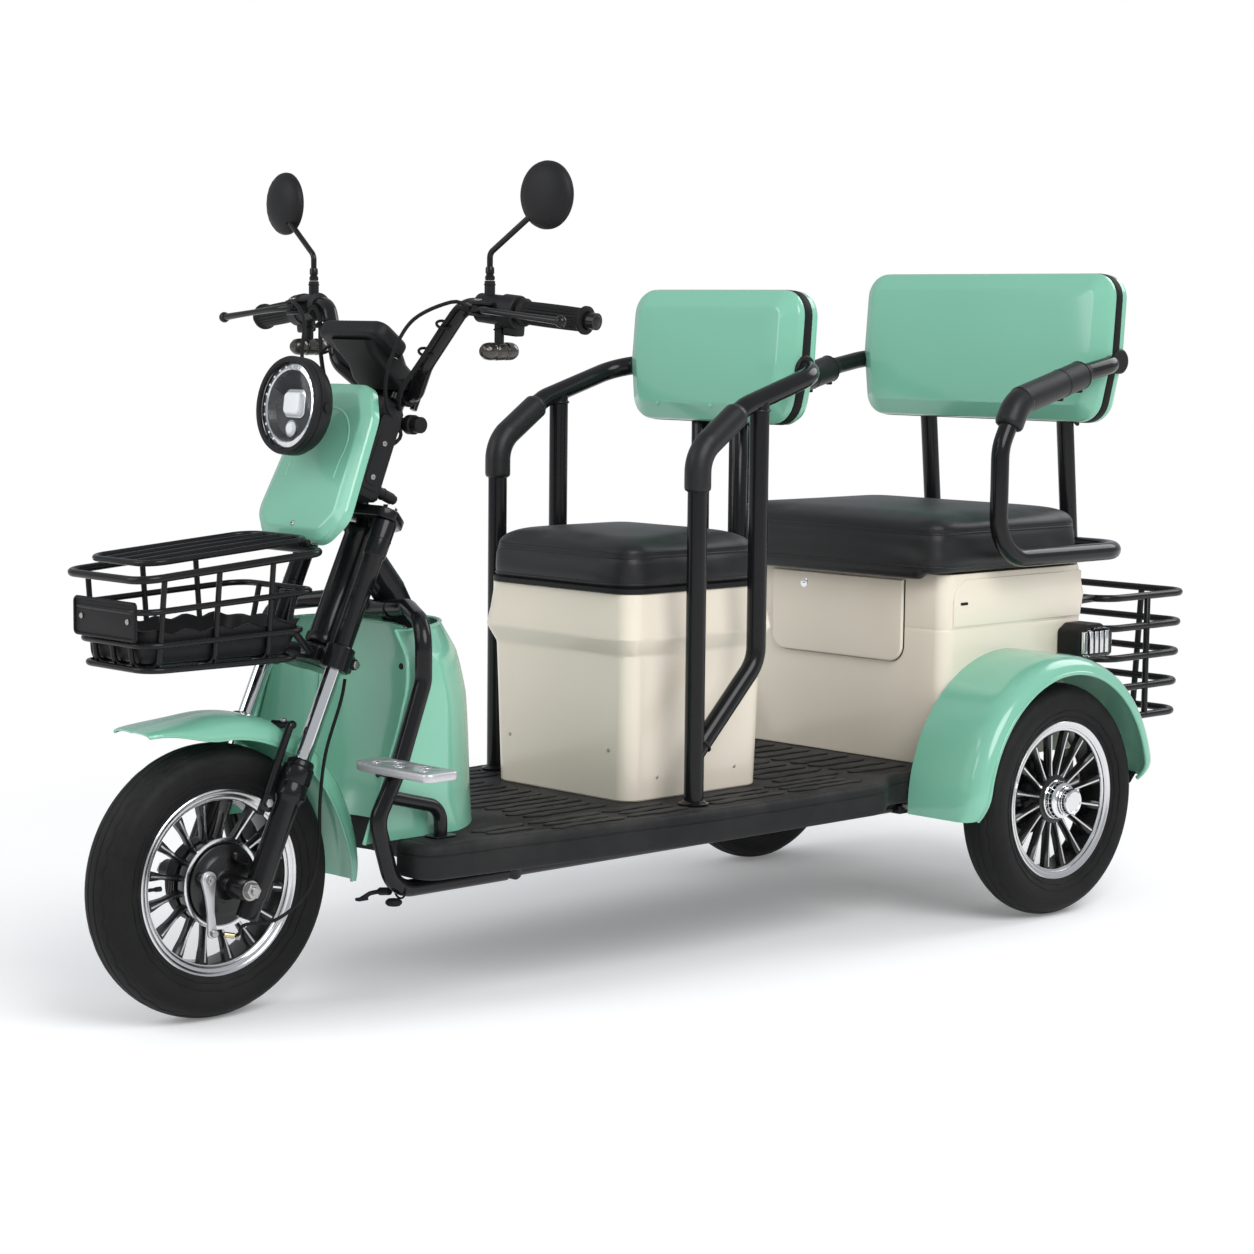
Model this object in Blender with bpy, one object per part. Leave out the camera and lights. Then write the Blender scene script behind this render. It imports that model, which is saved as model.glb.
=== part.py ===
import math

import bmesh
import bpy
from mathutils import Matrix, Vector

# Electric passenger tricycle: one front wheel, two rear wheels, driver seat and rear bench.
# Modelled in metres with x forward from the rear axle, y to the left and z up from the ground.

# clearances
GAP = 0.0003
RUN_GAP = 0.0006
MERGE_DISTANCE = GAP / 100
SLIVER = GAP / 30

# facets of the round pieces
WHEEL_FACETS = 32
HUB_FACETS = 16
TURN_FACETS = 12
LAMP_FACETS = 20
TUBE_FACETS = 8
BAR_FACETS = 8
GRIP_FACETS = 10
SMALL_FACETS = 8
BULB_FACETS = 6
WIRE_FACETS = 4
BEND_STEPS = 3
WIRE_BEND_STEPS = 2
SMOOTH_ANGLE = math.radians(75.0)
EASE_ANGLE = math.radians(30.0)
STRAIGHT_ANGLE = math.radians(89.0)
CORNER_ROOM = 0.499

# layout
WHEELBASE = 1.549
REAR_TRACK = 0.709

# tyres and rims
TYRE_RADIUS = 0.206
TYRE_WIDTH = 0.082
TREAD_FLAT = 0.040
BEAD_WIDTH = 0.052
SIDEWALL = ((0.50, 1.0),)
RIM_SEAT_RADIUS = 0.128
RIM_FLANGE_RADIUS = 0.1395
RIM_FLANGE = 0.0055
RIM_BARREL_RADIUS = 0.120
SPOKE_COUNT = 16
SPOKE_ROOT_WIDTH = 0.010
SPOKE_TIP_WIDTH = 0.007
SPOKE_ROOT_FACE = 0.014
SPOKE_TIP_FACE = 0.024
SPOKE_DEPTH = 0.017
SPOKE_SINK = 0.004
REAR_HUB_RADIUS = 0.044
REAR_HUB_BACK = 0.032
REAR_HUB_FACE = 0.016
HUB_CAP_STEPS = ((0.034, 0.018), (0.032, 0.036), (0.024, 0.039), (0.0225, 0.058))
DRIVE_SHAFT_RADIUS = 0.010
DRIVE_SHAFT_REACH = 0.030
FRONT_HUB_BACK = 0.044
FRONT_HUB_BOSS_RADIUS = 0.022
DRUM_RADIUS = 0.068
DRUM_FLOOR = 0.010
DRUM_BACK = 0.010
DRUM_LIP = 0.036
DRUM_WALL = 0.007

# front axle and drum brake
FRONT_AXLE_RADIUS = 0.0075
AXLE_SPACER_RADIUS = 0.0125
PLATE_RIM = 0.038
PLATE_CONE = ((0.044, 0.046), (0.022, 0.052))
CAM_FORWARD = 0.041
CAM_RISE = 0.014
CAM_RADIUS = 0.011
CAM_FACE = 0.0555
BRAKE_ARM_FORWARD = 0.0354
BRAKE_ARM_DROP = 0.0655
BRAKE_ARM_ROOT = 0.013
BRAKE_ARM_TIP = 0.008
BRAKE_ARM_THICK = 0.005
LINK_STEPS = 6

# raked fork
FORK_RAKE = math.radians(24.5)
FORK_SPAN = 0.168
LEG_POINT_BACK = 0.146
LEG_POINT_Z = 0.463
STEM_SETBACK = 0.030
STANCHION_RADIUS = 0.013
STANCHION_LOW = -0.240
SLIDER_RADIUS = 0.0185
SLIDER_FOOT_RADIUS = 0.0165
SLIDER_COLLAR_RADIUS = 0.0235
SLIDER_TOP = -0.089
SLIDER_COLLAR = 0.056
SLIDER_LOW = -0.335
SLIDER_TAPER = 0.035
SLIDER_STEP = 0.003
AXLE_LUG_RADIUS = 0.017
AXLE_LUG_OUT = 0.021
LOWER_YOKE_LOW = 0.055
LOWER_YOKE_HIGH = 0.092
YOKE_CLAMP_RADIUS = 0.0225
YOKE_PLATE = 0.024
YOKE_FRONT = 0.012
YOKE_BACK = 0.052
STEM_RADIUS = 0.015
TOP_YOKE_LOW = 0.295
TOP_YOKE_HIGH = 0.312
RISER_RADIUS = 0.018
RISER_SINK = 0.003
BAR_ALONG = 0.500

# steering column covers
HOUSING_TOP = 0.470
HOUSING_HALF = 0.080
HOUSING_TAPER = 0.010
HOUSING_ROUND = 0.012
HOOK_ALONG = 0.335
HOOK_RADIUS = 0.009
HOOK_REACH = 0.056
PANEL_BACK = 0.078
PANEL_FACE = 0.100
PANEL_EDGE = 0.013
PANEL_STEPS = ((0.0, 0.0), (0.0, 0.33), (0.4, 0.8), (1.0, 1.0))
PANEL_LOW = 0.222
PANEL_WIDE_LOW = 0.262
PANEL_WIDE_HIGH = 0.425
PANEL_HIGH = 0.478
PANEL_LOW_HALF = 0.072
PANEL_WIDE_LOW_HALF = 0.106
PANEL_WIDE_HIGH_HALF = 0.090
PANEL_HIGH_HALF = 0.058

# headlamp
LAMP_BACK = 0.144
LAMP_Z = 0.905
LAMP_TILT = math.radians(7.3)
LAMP_RADIUS = 0.074
LAMP_DEPTH = 0.072
LAMP_BEZEL = 0.010
LAMP_RECESS = 0.006
LAMP_BACK_RADIUS = 0.040
LAMP_NECK_RADIUS = 0.020
LENS_THICK = 0.004
LAMP_SWELL = ((0.92, 0.62), (1.0, 0.40))
LAMP_NECK_SHARE = 0.8
LENS_DOME = ((0.6, 0.5), (0.0, 0.7))

# handlebar
BAR_RADIUS = 0.0125
BAR_CLAMP_HALF = 0.050
BAR_KNEE_BACK = (0.327, 0.105, 0.965)
BAR_SHOULDER_BACK = (0.353, 0.165, 1.056)
BAR_END_BACK = (0.399, 0.405, 1.033)
BAR_BEND = 0.035
GRIP_RADIUS = 0.0170
GRIP_FLANGE_RADIUS = 0.021
GRIP_START = 0.110
GRIP_END = 0.228
GRIP_FLANGE = 0.006
GRIP_SHOULDER = 0.009
CONTROL_START = 0.030
CONTROL_END = 0.104
CONTROL_RADIUS = 0.021
SWITCH_START = 0.078
SWITCH_RADIUS = 0.024
PERCH_REACH = 0.044
PERCH_HALF = 0.011
PERCH_START = 0.034
PERCH_END = 0.072
LEVER_PIVOT = 0.052
LEVER_RADIUS = 0.0055
LEVER_TIP_ALONG = 0.232
LEVER_TIP_FORWARD = 0.070
LEVER_BALL = 0.0085
LEVER_KNUCKLE = 0.009
LEVER_SLOT = 0.0065
MIRROR_BOSS_ALONG = 0.046
MIRROR_BOSS_RADIUS = 0.008
MIRROR_BOSS_TOP = 0.030
MIRROR_STEM_RADIUS = 0.0045
MIRROR_FERRULE_RADIUS = 0.0065
MIRROR_FERRULE = 0.020
MIRROR_KINK_RISE = 0.040
MIRROR_SETBACK = 0.384
MIRROR_Y = 0.313
MIRROR_Z = 1.216
MIRROR_RADIUS = 0.050
MIRROR_BACK = 0.020
MIRROR_RIM = 0.004
MIRROR_FACE = 0.0485
MIRROR_DOME = (0.72, 0.7)
MIRROR_TOE = 0.12
INDICATOR_ALONG = 0.066
INDICATOR_DROP = 0.062
INDICATOR_RADIUS = 0.013
INDICATOR_HALF = 0.034
INDICATOR_STALK = 0.008
INDICATOR_WAIST = 0.55
INDICATOR_STEPS = ((1.0, 0.12), (1.0, 0.26), (INDICATOR_WAIST, 0.46))

# instrument pod
POD_BACK = 0.292
POD_Z = 1.002
POD_TILT = math.radians(36.0)
POD_HALF_WIDTH = 0.078
POD_LENGTH = 0.072
POD_THICK = 0.026
POD_ROUND = 0.009
POD_NECK_HALF = 0.040
POD_NECK_DEPTH = 0.030
POD_SADDLE_HALF = 0.034
POD_NECK_FLARE = 1.4

# front basket
BASKET_REAR_BACK = 0.145
BASKET_FRONT_AHEAD = 0.181
BASKET_HALF = 0.100
BASKET_BOTTOM_BACK = 0.109
BASKET_BOTTOM_AHEAD = 0.163
BASKET_BOTTOM_HALF = 0.085
BASKET_CORNER = 0.032
BASKET_RIM_Z = 0.666
BASKET_BOTTOM_Z = 0.536
BASKET_RISE = 0.026
BASKET_RAILS = (0.0, 0.27, 0.64, 1.0)
BASKET_RIM_RADIUS = 0.0058
BASKET_WIRE_RADIUS = 0.0046
BASKET_SINK = 0.6
BASKET_HOOPS_BACK = (0.049, -0.141)
BASKET_HOOPS_Y = (-0.045, 0.045)
BASKET_ARM_Y = 0.045
BASKET_PAD_THICK = 0.008
BASKET_PLATE_THICK = 0.003
BASKET_PLATE_LOW = 0.577
BASKET_PLATE_HIGH = 0.634
BASKET_PLATE_HALF = 0.078
LINER_TOP_Z = 0.590
LINER_WALL = 0.0025
LINER_CLEAR = 0.0064
LINER_SEAT = 1.6
LINER_INSETS = (3.2, 1.7)
LID_REAR_INSET = 0.012
LID_FRONT_INSET = 0.026
LID_SIDE_INSET = 0.022
LID_LIFT = 0.019
LID_WIRE_RADIUS = 0.0037
LID_HINGE_SHARE = 0.7
LID_WIRES = (-0.036, 0.0, 0.036)

# front mudguard
GUARD_RADIUS = 0.252
GUARD_THICK = 0.003
GUARD_HALF = 0.056
GUARD_SKIRT = 0.034
GUARD_TIP_SKIRT = 0.006
GUARD_TAIL_SKIRT = 0.018
GUARD_TIP = math.radians(60.0)
GUARD_TAIL = math.radians(186.0)
GUARD_TIP_RISE = 0.020
GUARD_TIP_RUN = math.radians(35.0)
GUARD_TAIL_RUN = math.radians(45.0)
GUARD_TIP_POWER = 0.7
GUARD_SIDE_POWER = 4
GUARD_WALL_POWER = 8
GUARD_STEPS = 10
GUARD_SHARES = (-1.0, -0.88, -0.55, 0.0, 0.55, 0.88, 1.0)
GUARD_STAY_RADIUS = 0.006
GUARD_STAY_ANGLE = math.radians(113.0)
GUARD_STAY_SHOULDER = -0.042
GUARD_STAY_ALONG = -0.165
GUARD_STAY_OUT = 0.072
GUARD_STAY_SHARE = 0.55
GUARD_STAY_CLEAR = 0.0015

# floor deck and leg shield
DECK_TOP = 0.263
DECK_THICK = 0.0537
DECK_REAR = 0.140
DECK_REAR_HALF = 0.247
DECK_STEP_X = 0.300
DECK_HALF = 0.300
DECK_TAPER_X = 0.760
DECK_NOSE_BACK = 0.214
DECK_NOSE_HALF = 0.247
DECK_CORNER = 0.070
DECK_EDGE = 0.014
DECK_FOOT_INSET = 0.007
DECK_TOP_INSET = 0.0098
FOOT_PAD_RISE = 0.002
FOOT_PAD_SINK = 0.001
FOOT_PAD_DRAFT = 0.002
FOOT_PAD_POINT = 0.018
FOOT_PAD_POINT_SHARE = 0.3
WELL_PAD_REAR_CLEAR = 0.030
WELL_PAD_FRONT_CLEAR = 0.025
WELL_PAD_HALF = 0.024
WELL_PAD_PITCH = 0.062
WELL_PAD_PAIRS = 2
SIDE_PAD_REAR_SPAN = (0.400, 0.735)
SIDE_PAD_MIDDLE = 0.810
SIDE_PAD_BACK = 0.459
SIDE_PAD_Y = 0.230
SIDE_PAD_HALF = 0.022
ARCH_LIP_Z = (0.2633, 0.310, 0.460, 0.530, 0.570)
ARCH_LIP_BACK = (0.157, 0.179, 0.231, 0.244, 0.253)
ARCH_DEPTH = (0.152, 0.142, 0.098, 0.078, 0.064)
SHIELD_HALF = (0.172, 0.172, 0.172, 0.166, 0.128)
SHIELD_SIDE_BACK = (0.335, 0.314, 0.311, 0.297, 0.287)
SHIELD_REAR_BACK = (0.464, 0.467, 0.456, 0.437, 0.421)
SHIELD_WALL = 0.004
SHIELD_POINTS = 7
SHIELD_SIDE_POWER = 0.8
ARCH_MARGIN = 0.006

# frame
RAIL_RADIUS = 0.016
RAIL_HALF_SPAN = 0.170
RAIL_KICK_X = 0.105
RAIL_KICK_RUN = 0.070
RAIL_HIGH_Z = 0.300
RAIL_REAR = -0.300
RAIL_BEND = 0.050
CROSS_FRONT_BACK = 0.429
CROSS_MIDDLE = 0.560
CROSS_RADIUS = 0.0135
NECK_RADIUS = 0.027
NECK_TOP = 0.262
NECK_BACK = ((0.341, 0.617), (0.379, 0.550), (0.404, 0.450), (0.414, 0.320))
HEAD_LOW = 0.097
HEAD_HIGH = 0.290
HEAD_RADIUS = 0.026
HANGER_FRONT = 0.195
HANGER_REAR = -0.270
HANGER_HALF = 0.016

# crash bar
CRASH_RADIUS = 0.013
CRASH_TOP_BACK = ((0.317, 0.0, 0.589), (0.303, 0.095, 0.600), (0.253, 0.192, 0.585))
CRASH_SIDE_BACK = ((0.253, 0.192, 0.500), (0.206, 0.192, 0.375), (0.164, 0.192, 0.300))
CRASH_FOOT_BACK = 0.197
CRASH_BEND = 0.045
CRASH_FOOT_DROP = 0.0018
CRASH_BRANCH_BACK = 0.287
CRASH_BRANCH_RADIUS = 0.0104
CRASH_BRANCH_TOP_BACK = (0.183, 0.192, 0.335)

# foot brake pedal
PEDAL_PIVOT_BACK = 0.1954
PEDAL_PIVOT_Z = 0.377
PEDAL_LENGTH = 0.062
PEDAL_INNER = 0.176
PEDAL_OUTER = 0.345
PEDAL_THICK = 0.014
PEDAL_ROUND = 0.006
PEDAL_HOLES = ((0.36, 0.30), (0.36, 0.70), (0.72, 0.18), (0.72, 0.50), (0.72, 0.82))
PEDAL_HOLE_RADIUS = 0.006
PEDAL_HOLE_FACETS = 6

# front seat
SEAT_BOX_REAR = 0.525
SEAT_BOX_FRONT = 0.855
SEAT_BOX_HALF = 0.173
SEAT_BOX_TOP = 0.600
SEAT_BOX_WALL = 0.005
SEAT_BOX_ROUND = 0.030
SEAT_BAND_LOW = 0.500
SEAT_BAND_HIGH = 0.528
SEAT_BAND_BULGE = 0.008
SEAT_FOOT_TAPER = 0.010
FRONT_CUSHION_REAR = 0.535
FRONT_CUSHION_FRONT = 0.865
FRONT_CUSHION_HALF = 0.180
FRONT_CUSHION_TOP = 0.682
FRONT_CUSHION_CROWN = 0.014
CUSHION_DRAW = 0.004
CUSHION_ROUND = 0.045
CUSHION_EDGE = 0.022
CUSHION_FOOT = (0.45, 0.5)
CUSHION_LIP = (0.4, 0.25)
CUSHION_RINGS = (0.88, 0.45)

# front arm frame and backrest
ARM_RADIUS = 0.016
FRONT_ARM_HALF = 0.240
FRONT_POST_X = 0.772
FRONT_ARM_KNEE = (0.772, 0.826)
FRONT_ARM_MID = (0.668, 0.899)
FRONT_ARM_REAR = (0.478, 0.958)
FRONT_BRACE_X = 0.632
FRONT_BRACE_LOW = 0.345
FRONT_BRACE_TOP = 0.900
FRONT_BACK_POST_HALF = 0.045
ARM_BEND = 0.060
PAD_WALL = 0.0055
FRONT_PAD_SHARE = 0.9
FRONT_BACKREST_X = 0.486
FRONT_BACKREST_LOW = 0.864
FRONT_BACKREST_HIGH = 1.088
FRONT_BACKREST_LOW_HALF = 0.180
FRONT_BACKREST_HALF = 0.197
BACKREST_LEAN = math.radians(4.0)
BACKREST_HALF_THICK = 0.034
BACKREST_ROUND = 0.045
BACKREST_EDGE = 0.014
BACKREST_CROWN = 0.010
BACKREST_CROWN_WIDE = 0.72
BACKREST_CROWN_TALL = 0.66
BACKREST_WAIST = 0.45
BACKREST_STEPS = ((2.2, -1, 0), (0.4, -1, 1), (0.0, 0, 0), (0.4, 1, -1), (1.6, 1, 0))

# rear body and bench
BODY_REAR = -0.232
BODY_FRONT = 0.165
BODY_HALF = 0.250
BODY_TOP = 0.600
BODY_WALL = 0.005
BODY_ROUND = 0.028
BODY_BAND_LOW = 0.500
BODY_BAND_HIGH = 0.545
BODY_BULGE = 0.012
RAIL_SLOT_GAP = 0.003
HATCH_HALF = 0.156
HATCH_LOW = 0.440
HATCH_HIGH = 0.586
HATCH_THICK = 0.008
HATCH_CORNER = 0.030
HATCH_LAP = 0.010
BENCH_REAR = -0.220
BENCH_FRONT = 0.214
BENCH_HALF = 0.268
BENCH_BOTTOM = 0.6003
BENCH_TOP = 0.700
BENCH_CROWN = 0.012
BENCH_DROOP = 0.010
BENCH_ROLL = 0.017
BATTERY_REAR = -0.190
BATTERY_FRONT = 0.070
BATTERY_HALF = 0.185
BATTERY_HEIGHT = 0.180
BATTERY_ROUND = 0.008

# rear arm frame and backrest
REAR_ARM_HALF = 0.300
REAR_ARM_LOW_Z = 0.627
REAR_ARM_FRONT_X = 0.088
REAR_ARM_KNEE_Z = 0.822
REAR_ARM_MID = (0.045, 0.900)
REAR_ARM_TOP = (-0.150, 0.951)
REAR_ARM_REAR = (-0.258, 0.970)
REAR_CROSS_X = -0.292
REAR_POST_HALF = 0.164
REAR_ARM_CORNER = 0.075
REAR_LUG_HALF = 0.020
REAR_LUG_THICK = 0.016
REAR_LUG_X = -0.2235
REAR_PAD_SHARE = 0.45
REAR_BACKREST_X = -0.235
REAR_BACKREST_LOW = 0.858
REAR_BACKREST_HIGH = 1.128
REAR_BACKREST_LOW_HALF = 0.272
REAR_BACKREST_HALF = 0.293

# rear fenders and lamps
FENDER_RADIUS = 0.256
FENDER_THICK = 0.003
FENDER_OUTER = 0.052
FENDER_LIP = 0.024
FENDER_STEPS_OUT = ((0.35, 0.06), (0.75, 0.35))
FENDER_START = math.radians(-3.0)
FENDER_END = math.radians(176.0)
FENDER_STEPS = 10
LAMP_BLOCK_FRONT = -0.150
LAMP_BLOCK_REAR = -0.236
LAMP_BLOCK_OUT = 0.066
LAMP_BLOCK_LOW = 0.432
LAMP_BLOCK_HIGH = 0.497
LAMP_BLOCK_ROUND = 0.010

# rear basket
RACK_FRONT = -0.335
RACK_REAR = -0.598
RACK_HALF = 0.220
RACK_LOW = 0.298
RACK_HIGH = 0.526
RACK_LOOPS = 5
RACK_TAPER = 0.018
RACK_CORNER = 0.045
RACK_RADIUS = 0.0075
RACK_WIRE_RADIUS = 0.00675
RACK_MOUNT_HALF = 0.190
RACK_POSTS_X = (-0.465,)
RACK_POSTS_Y = (-0.110, 0.110)

# rear axle and suspension
AXLE_TUBE_RADIUS = 0.028
AXLE_DRUM_RADIUS = 0.076
AXLE_DRUM_DEPTH = 0.026
AXLE_DRUM_FACE = 0.068
AXLE_BORE_OVER = 0.003
DIFF_RADIUS = 0.074
DIFF_HALF = 0.075
DIFF_OFFSET = -0.030
DIFF_SHOULDER_RADIUS = 0.059
DIFF_SLOPE = 0.030
MOTOR_X = 0.080
MOTOR_Z = 0.196
MOTOR_RADIUS = 0.050
MOTOR_HALF = 0.082
SPRING_Y = 0.212
SPRING_WIDTH = 0.036
SPRING_LEAF = 0.006
SPRING_LEAVES = 3
SPRING_EYE = 0.011
SPRING_CAMBER = 0.030
SPRING_SEAT = 0.012
SPRING_SEAT_LENGTH = 0.064
SPRING_STEPS = 4
SPRING_STEP = 0.28
SPRING_EYE_SHARE = 0.2
SPRING_CURVE = 1.5

# front brake cable
CABLE_RADIUS = 0.0026
CABLE_FACETS = 5
CABLE_STEP = 0.034
CABLE_TOP = (0.060, -0.045)
CABLE_ROUTE = ((0.020, 0.062, -0.050), (-0.060, 0.066, -0.052), (-0.130, 0.078, -0.062))
CABLE_ROUTE += ((-0.200, 0.100, -0.072), (-0.265, 0.117, -0.066), (-0.320, 0.116, -0.030))
CABLE_ROUTE += ((-0.345, 0.108, 0.018),)
CABLE_RUN_IN = (-0.030, 0.080, -0.004)

# colours: base colour, roughness, metallic
MINT = ((0.19, 0.52, 0.38, 1.0), 0.22, 0.0)
CREAM = ((0.78, 0.70, 0.57, 1.0), 0.26, 0.0)
GLOSS_BLACK = ((0.012, 0.012, 0.013, 1.0), 0.20, 0.0)
MATT_BLACK = ((0.020, 0.020, 0.021, 1.0), 0.55, 0.0)
RUBBER = ((0.016, 0.016, 0.017, 1.0), 0.80, 0.0)
LEATHERETTE = ((0.014, 0.014, 0.015, 1.0), 0.48, 0.0)
CHARCOAL = ((0.030, 0.031, 0.033, 1.0), 0.62, 0.0)
CHROME = ((0.82, 0.83, 0.84, 1.0), 0.10, 1.0)
ALLOY = ((0.66, 0.67, 0.68, 1.0), 0.35, 1.0)
CLEAR = ((0.80, 0.82, 0.84, 1.0), 0.08, 0.0)

# worked-out sizes
AXLE_HEIGHT = TYRE_RADIUS * math.cos(math.pi / WHEEL_FACETS)
DECK_BOTTOM = DECK_TOP - DECK_THICK
HOUSING_BACK = RISER_RADIUS * math.cos(math.pi / TURN_FACETS) + GAP
RAIL_LOW_Z = DECK_BOTTOM - GAP - RAIL_RADIUS * math.cos(math.pi / TUBE_FACETS)
FLANGE_FACE = BEAD_WIDTH / 2 + GAP + RIM_FLANGE
LEG_HALF = FORK_SPAN / 2
RAKE_UP = Vector((-math.sin(FORK_RAKE), 0.0, math.cos(FORK_RAKE)))
RAKE_FORWARD = Vector((math.cos(FORK_RAKE), 0.0, math.sin(FORK_RAKE)))
FRONT_AXLE = Vector((WHEELBASE, 0.0, AXLE_HEIGHT))
ORIGIN_X = (WHEELBASE + AXLE_HEIGHT + RACK_REAR - RACK_RADIUS) / 2


def from_axle(point):
    # front-end point whose first value is its distance behind the front axle
    return (WHEELBASE - point[0], *point[1:])


# front end placed from the front axle
LEG_POINT_X = WHEELBASE - LEG_POINT_BACK
LAMP_X = WHEELBASE - LAMP_BACK
MIRROR_X = WHEELBASE - MIRROR_SETBACK
POD_X = WHEELBASE - POD_BACK
BASKET_REAR = WHEELBASE - BASKET_REAR_BACK
BASKET_FRONT = WHEELBASE + BASKET_FRONT_AHEAD
BASKET_BOTTOM_REAR = WHEELBASE - BASKET_BOTTOM_BACK
BASKET_BOTTOM_FRONT = WHEELBASE + BASKET_BOTTOM_AHEAD
DECK_NOSE_X = WHEELBASE - DECK_NOSE_BACK
CRASH_FOOT_X = WHEELBASE - CRASH_FOOT_BACK
CRASH_BRANCH_X = WHEELBASE - CRASH_BRANCH_BACK
PEDAL_PIVOT_X = WHEELBASE - PEDAL_PIVOT_BACK
BASKET_HOOPS_X = tuple(WHEELBASE - back for back in BASKET_HOOPS_BACK)
ARCH_LIP_X = tuple(WHEELBASE - back for back in ARCH_LIP_BACK)
SHIELD_SIDE_X = tuple(WHEELBASE - back for back in SHIELD_SIDE_BACK)
SHIELD_BACK_X = tuple(WHEELBASE - back for back in SHIELD_REAR_BACK)
BAR_KNEE = from_axle(BAR_KNEE_BACK)
BAR_SHOULDER = from_axle(BAR_SHOULDER_BACK)
BAR_END = from_axle(BAR_END_BACK)
CRASH_BRANCH_TOP = from_axle(CRASH_BRANCH_TOP_BACK)
NECK_POINTS = tuple(from_axle(point) for point in NECK_BACK)
CRASH_TOP = tuple(from_axle(point) for point in CRASH_TOP_BACK)
CRASH_SIDE = tuple(from_axle(point) for point in CRASH_SIDE_BACK)
CROSS_X = (WHEELBASE - CROSS_FRONT_BACK, CROSS_MIDDLE)
WELL_PAD_SPAN = (SEAT_BOX_FRONT + WELL_PAD_REAR_CLEAR, SHIELD_BACK_X[0] - WELL_PAD_FRONT_CLEAR)
SIDE_PAD_SPANS = (SIDE_PAD_REAR_SPAN, (SIDE_PAD_MIDDLE, WHEELBASE - SIDE_PAD_BACK))


def cleared(radius, facets, gap=RUN_GAP):
    # bore radius that leaves the gap round a piece that turns in it
    return (radius + gap) / math.cos(math.pi / facets)


def slid(radius, facets):
    # bore radius that leaves the running gap round a piece that only slides in it
    return radius + RUN_GAP / math.cos(math.pi / facets)


def flat(radius, facets=TUBE_FACETS):
    # distance from the axis to a flat of a faceted bar
    return radius * math.cos(math.pi / facets)


def raked(along, side=0.0, forward=0.0):
    # point given along the fork, to the left and square to the fork
    leg = Vector((LEG_POINT_X, side, LEG_POINT_Z))
    return leg + RAKE_UP * along + RAKE_FORWARD * forward


def rake_frame(along, side, forward):
    # matrix whose z runs up the fork and whose x looks forward
    turn = Matrix.Rotation(-FORK_RAKE, 4, "Y")
    return Matrix.Translation(raked(along, side, forward)) @ turn


def frame_on(origin, direction, up=Vector((0.0, 0.0, 1.0))):
    # matrix whose z runs along a direction
    axis = direction.normalized()
    across = up.cross(axis)
    if across.length < GAP:
        across = Vector((0.0, 1.0, 0.0)).cross(axis)
    across.normalize()
    third = axis.cross(across)
    turn = Matrix((across, third, axis)).transposed().to_4x4()
    return Matrix.Translation(origin) @ turn


ACROSS = Matrix.Rotation(-math.pi / 2, 4, "X")


def flipped(side):
    # mirror matrix for the right-hand copy of a left-hand piece
    return Matrix.Diagonal((1.0, float(side), 1.0, 1.0))


def finished(bm):
    # faces outward, ready for a mesh
    bmesh.ops.remove_doubles(bm, verts=bm.verts, dist=MERGE_DISTANCE)
    bmesh.ops.recalc_face_normals(bm, faces=bm.faces)
    return bm


def moved(bm, matrix):
    bm.transform(matrix)
    return finished(bm)


def bridge(bm, first, second):
    # quads between two rings of equal count, or a fan where one ring is a point
    count = max(len(first), len(second))
    for i in range(count):
        j = (i + 1) % count
        if len(first) == 1:
            bm.faces.new((first[0], second[j], second[i]))
        elif len(second) == 1:
            bm.faces.new((first[i], first[j], second[0]))
        else:
            bm.faces.new((first[i], first[j], second[j], second[i]))


def turned(profile, facets, matrix=Matrix(), ring=False):
    # turn a profile of (radius, height) about z, closed on the axis or as a ring
    bm = bmesh.new()
    rings = []
    for radius, height in profile:
        if radius == 0.0:
            rings.append([bm.verts.new((0.0, 0.0, height))])
            continue
        loop = []
        for i in range(facets):
            angle = math.pi * (2 * i + 1) / facets
            loop.append(bm.verts.new((radius * math.cos(angle), radius * math.sin(angle), height)))
        rings.append(loop)
    for first, second in zip(rings, rings[1:]):
        bridge(bm, first, second)
    if ring:
        bridge(bm, rings[-1], rings[0])
    return moved(bm, matrix)


def rod(start, end, radius, facets=TUBE_FACETS):
    # solid round bar between two points
    start = Vector(start)
    run = Vector(end) - start
    profile = ((0.0, 0.0), (radius, 0.0), (radius, run.length), (0.0, run.length))
    return turned(profile, facets, frame_on(start, run))


def stacked(loops, ring=False):
    # closed solid through loops of equal count
    bm = bmesh.new()
    rings = [[bm.verts.new(point) for point in loop] for loop in loops]
    for first, second in zip(rings, rings[1:]):
        bridge(bm, first, second)
    if ring:
        bridge(bm, rings[-1], rings[0])
    else:
        bm.faces.new(rings[0])
        bm.faces.new(rings[-1])
    return finished(bm)


def prism(outline, low, high):
    # plain extrusion of an outline in x and y
    return stacked([[(x, y, z) for x, y in outline] for z in (low, high)])


def block(low, high):
    outline = ((low[0], low[1]), (high[0], low[1]), (high[0], high[1]), (low[0], high[1]))
    return prism(outline, low[2], high[2])


def eased(bm, width, steps=1):
    # round every sharp edge
    edges = [edge for edge in bm.edges if edge.calc_face_angle(0.0) > EASE_ANGLE]
    bmesh.ops.bevel(bm, geom=edges, offset=width, segments=steps, affect="EDGES")
    return finished(bm)


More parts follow.
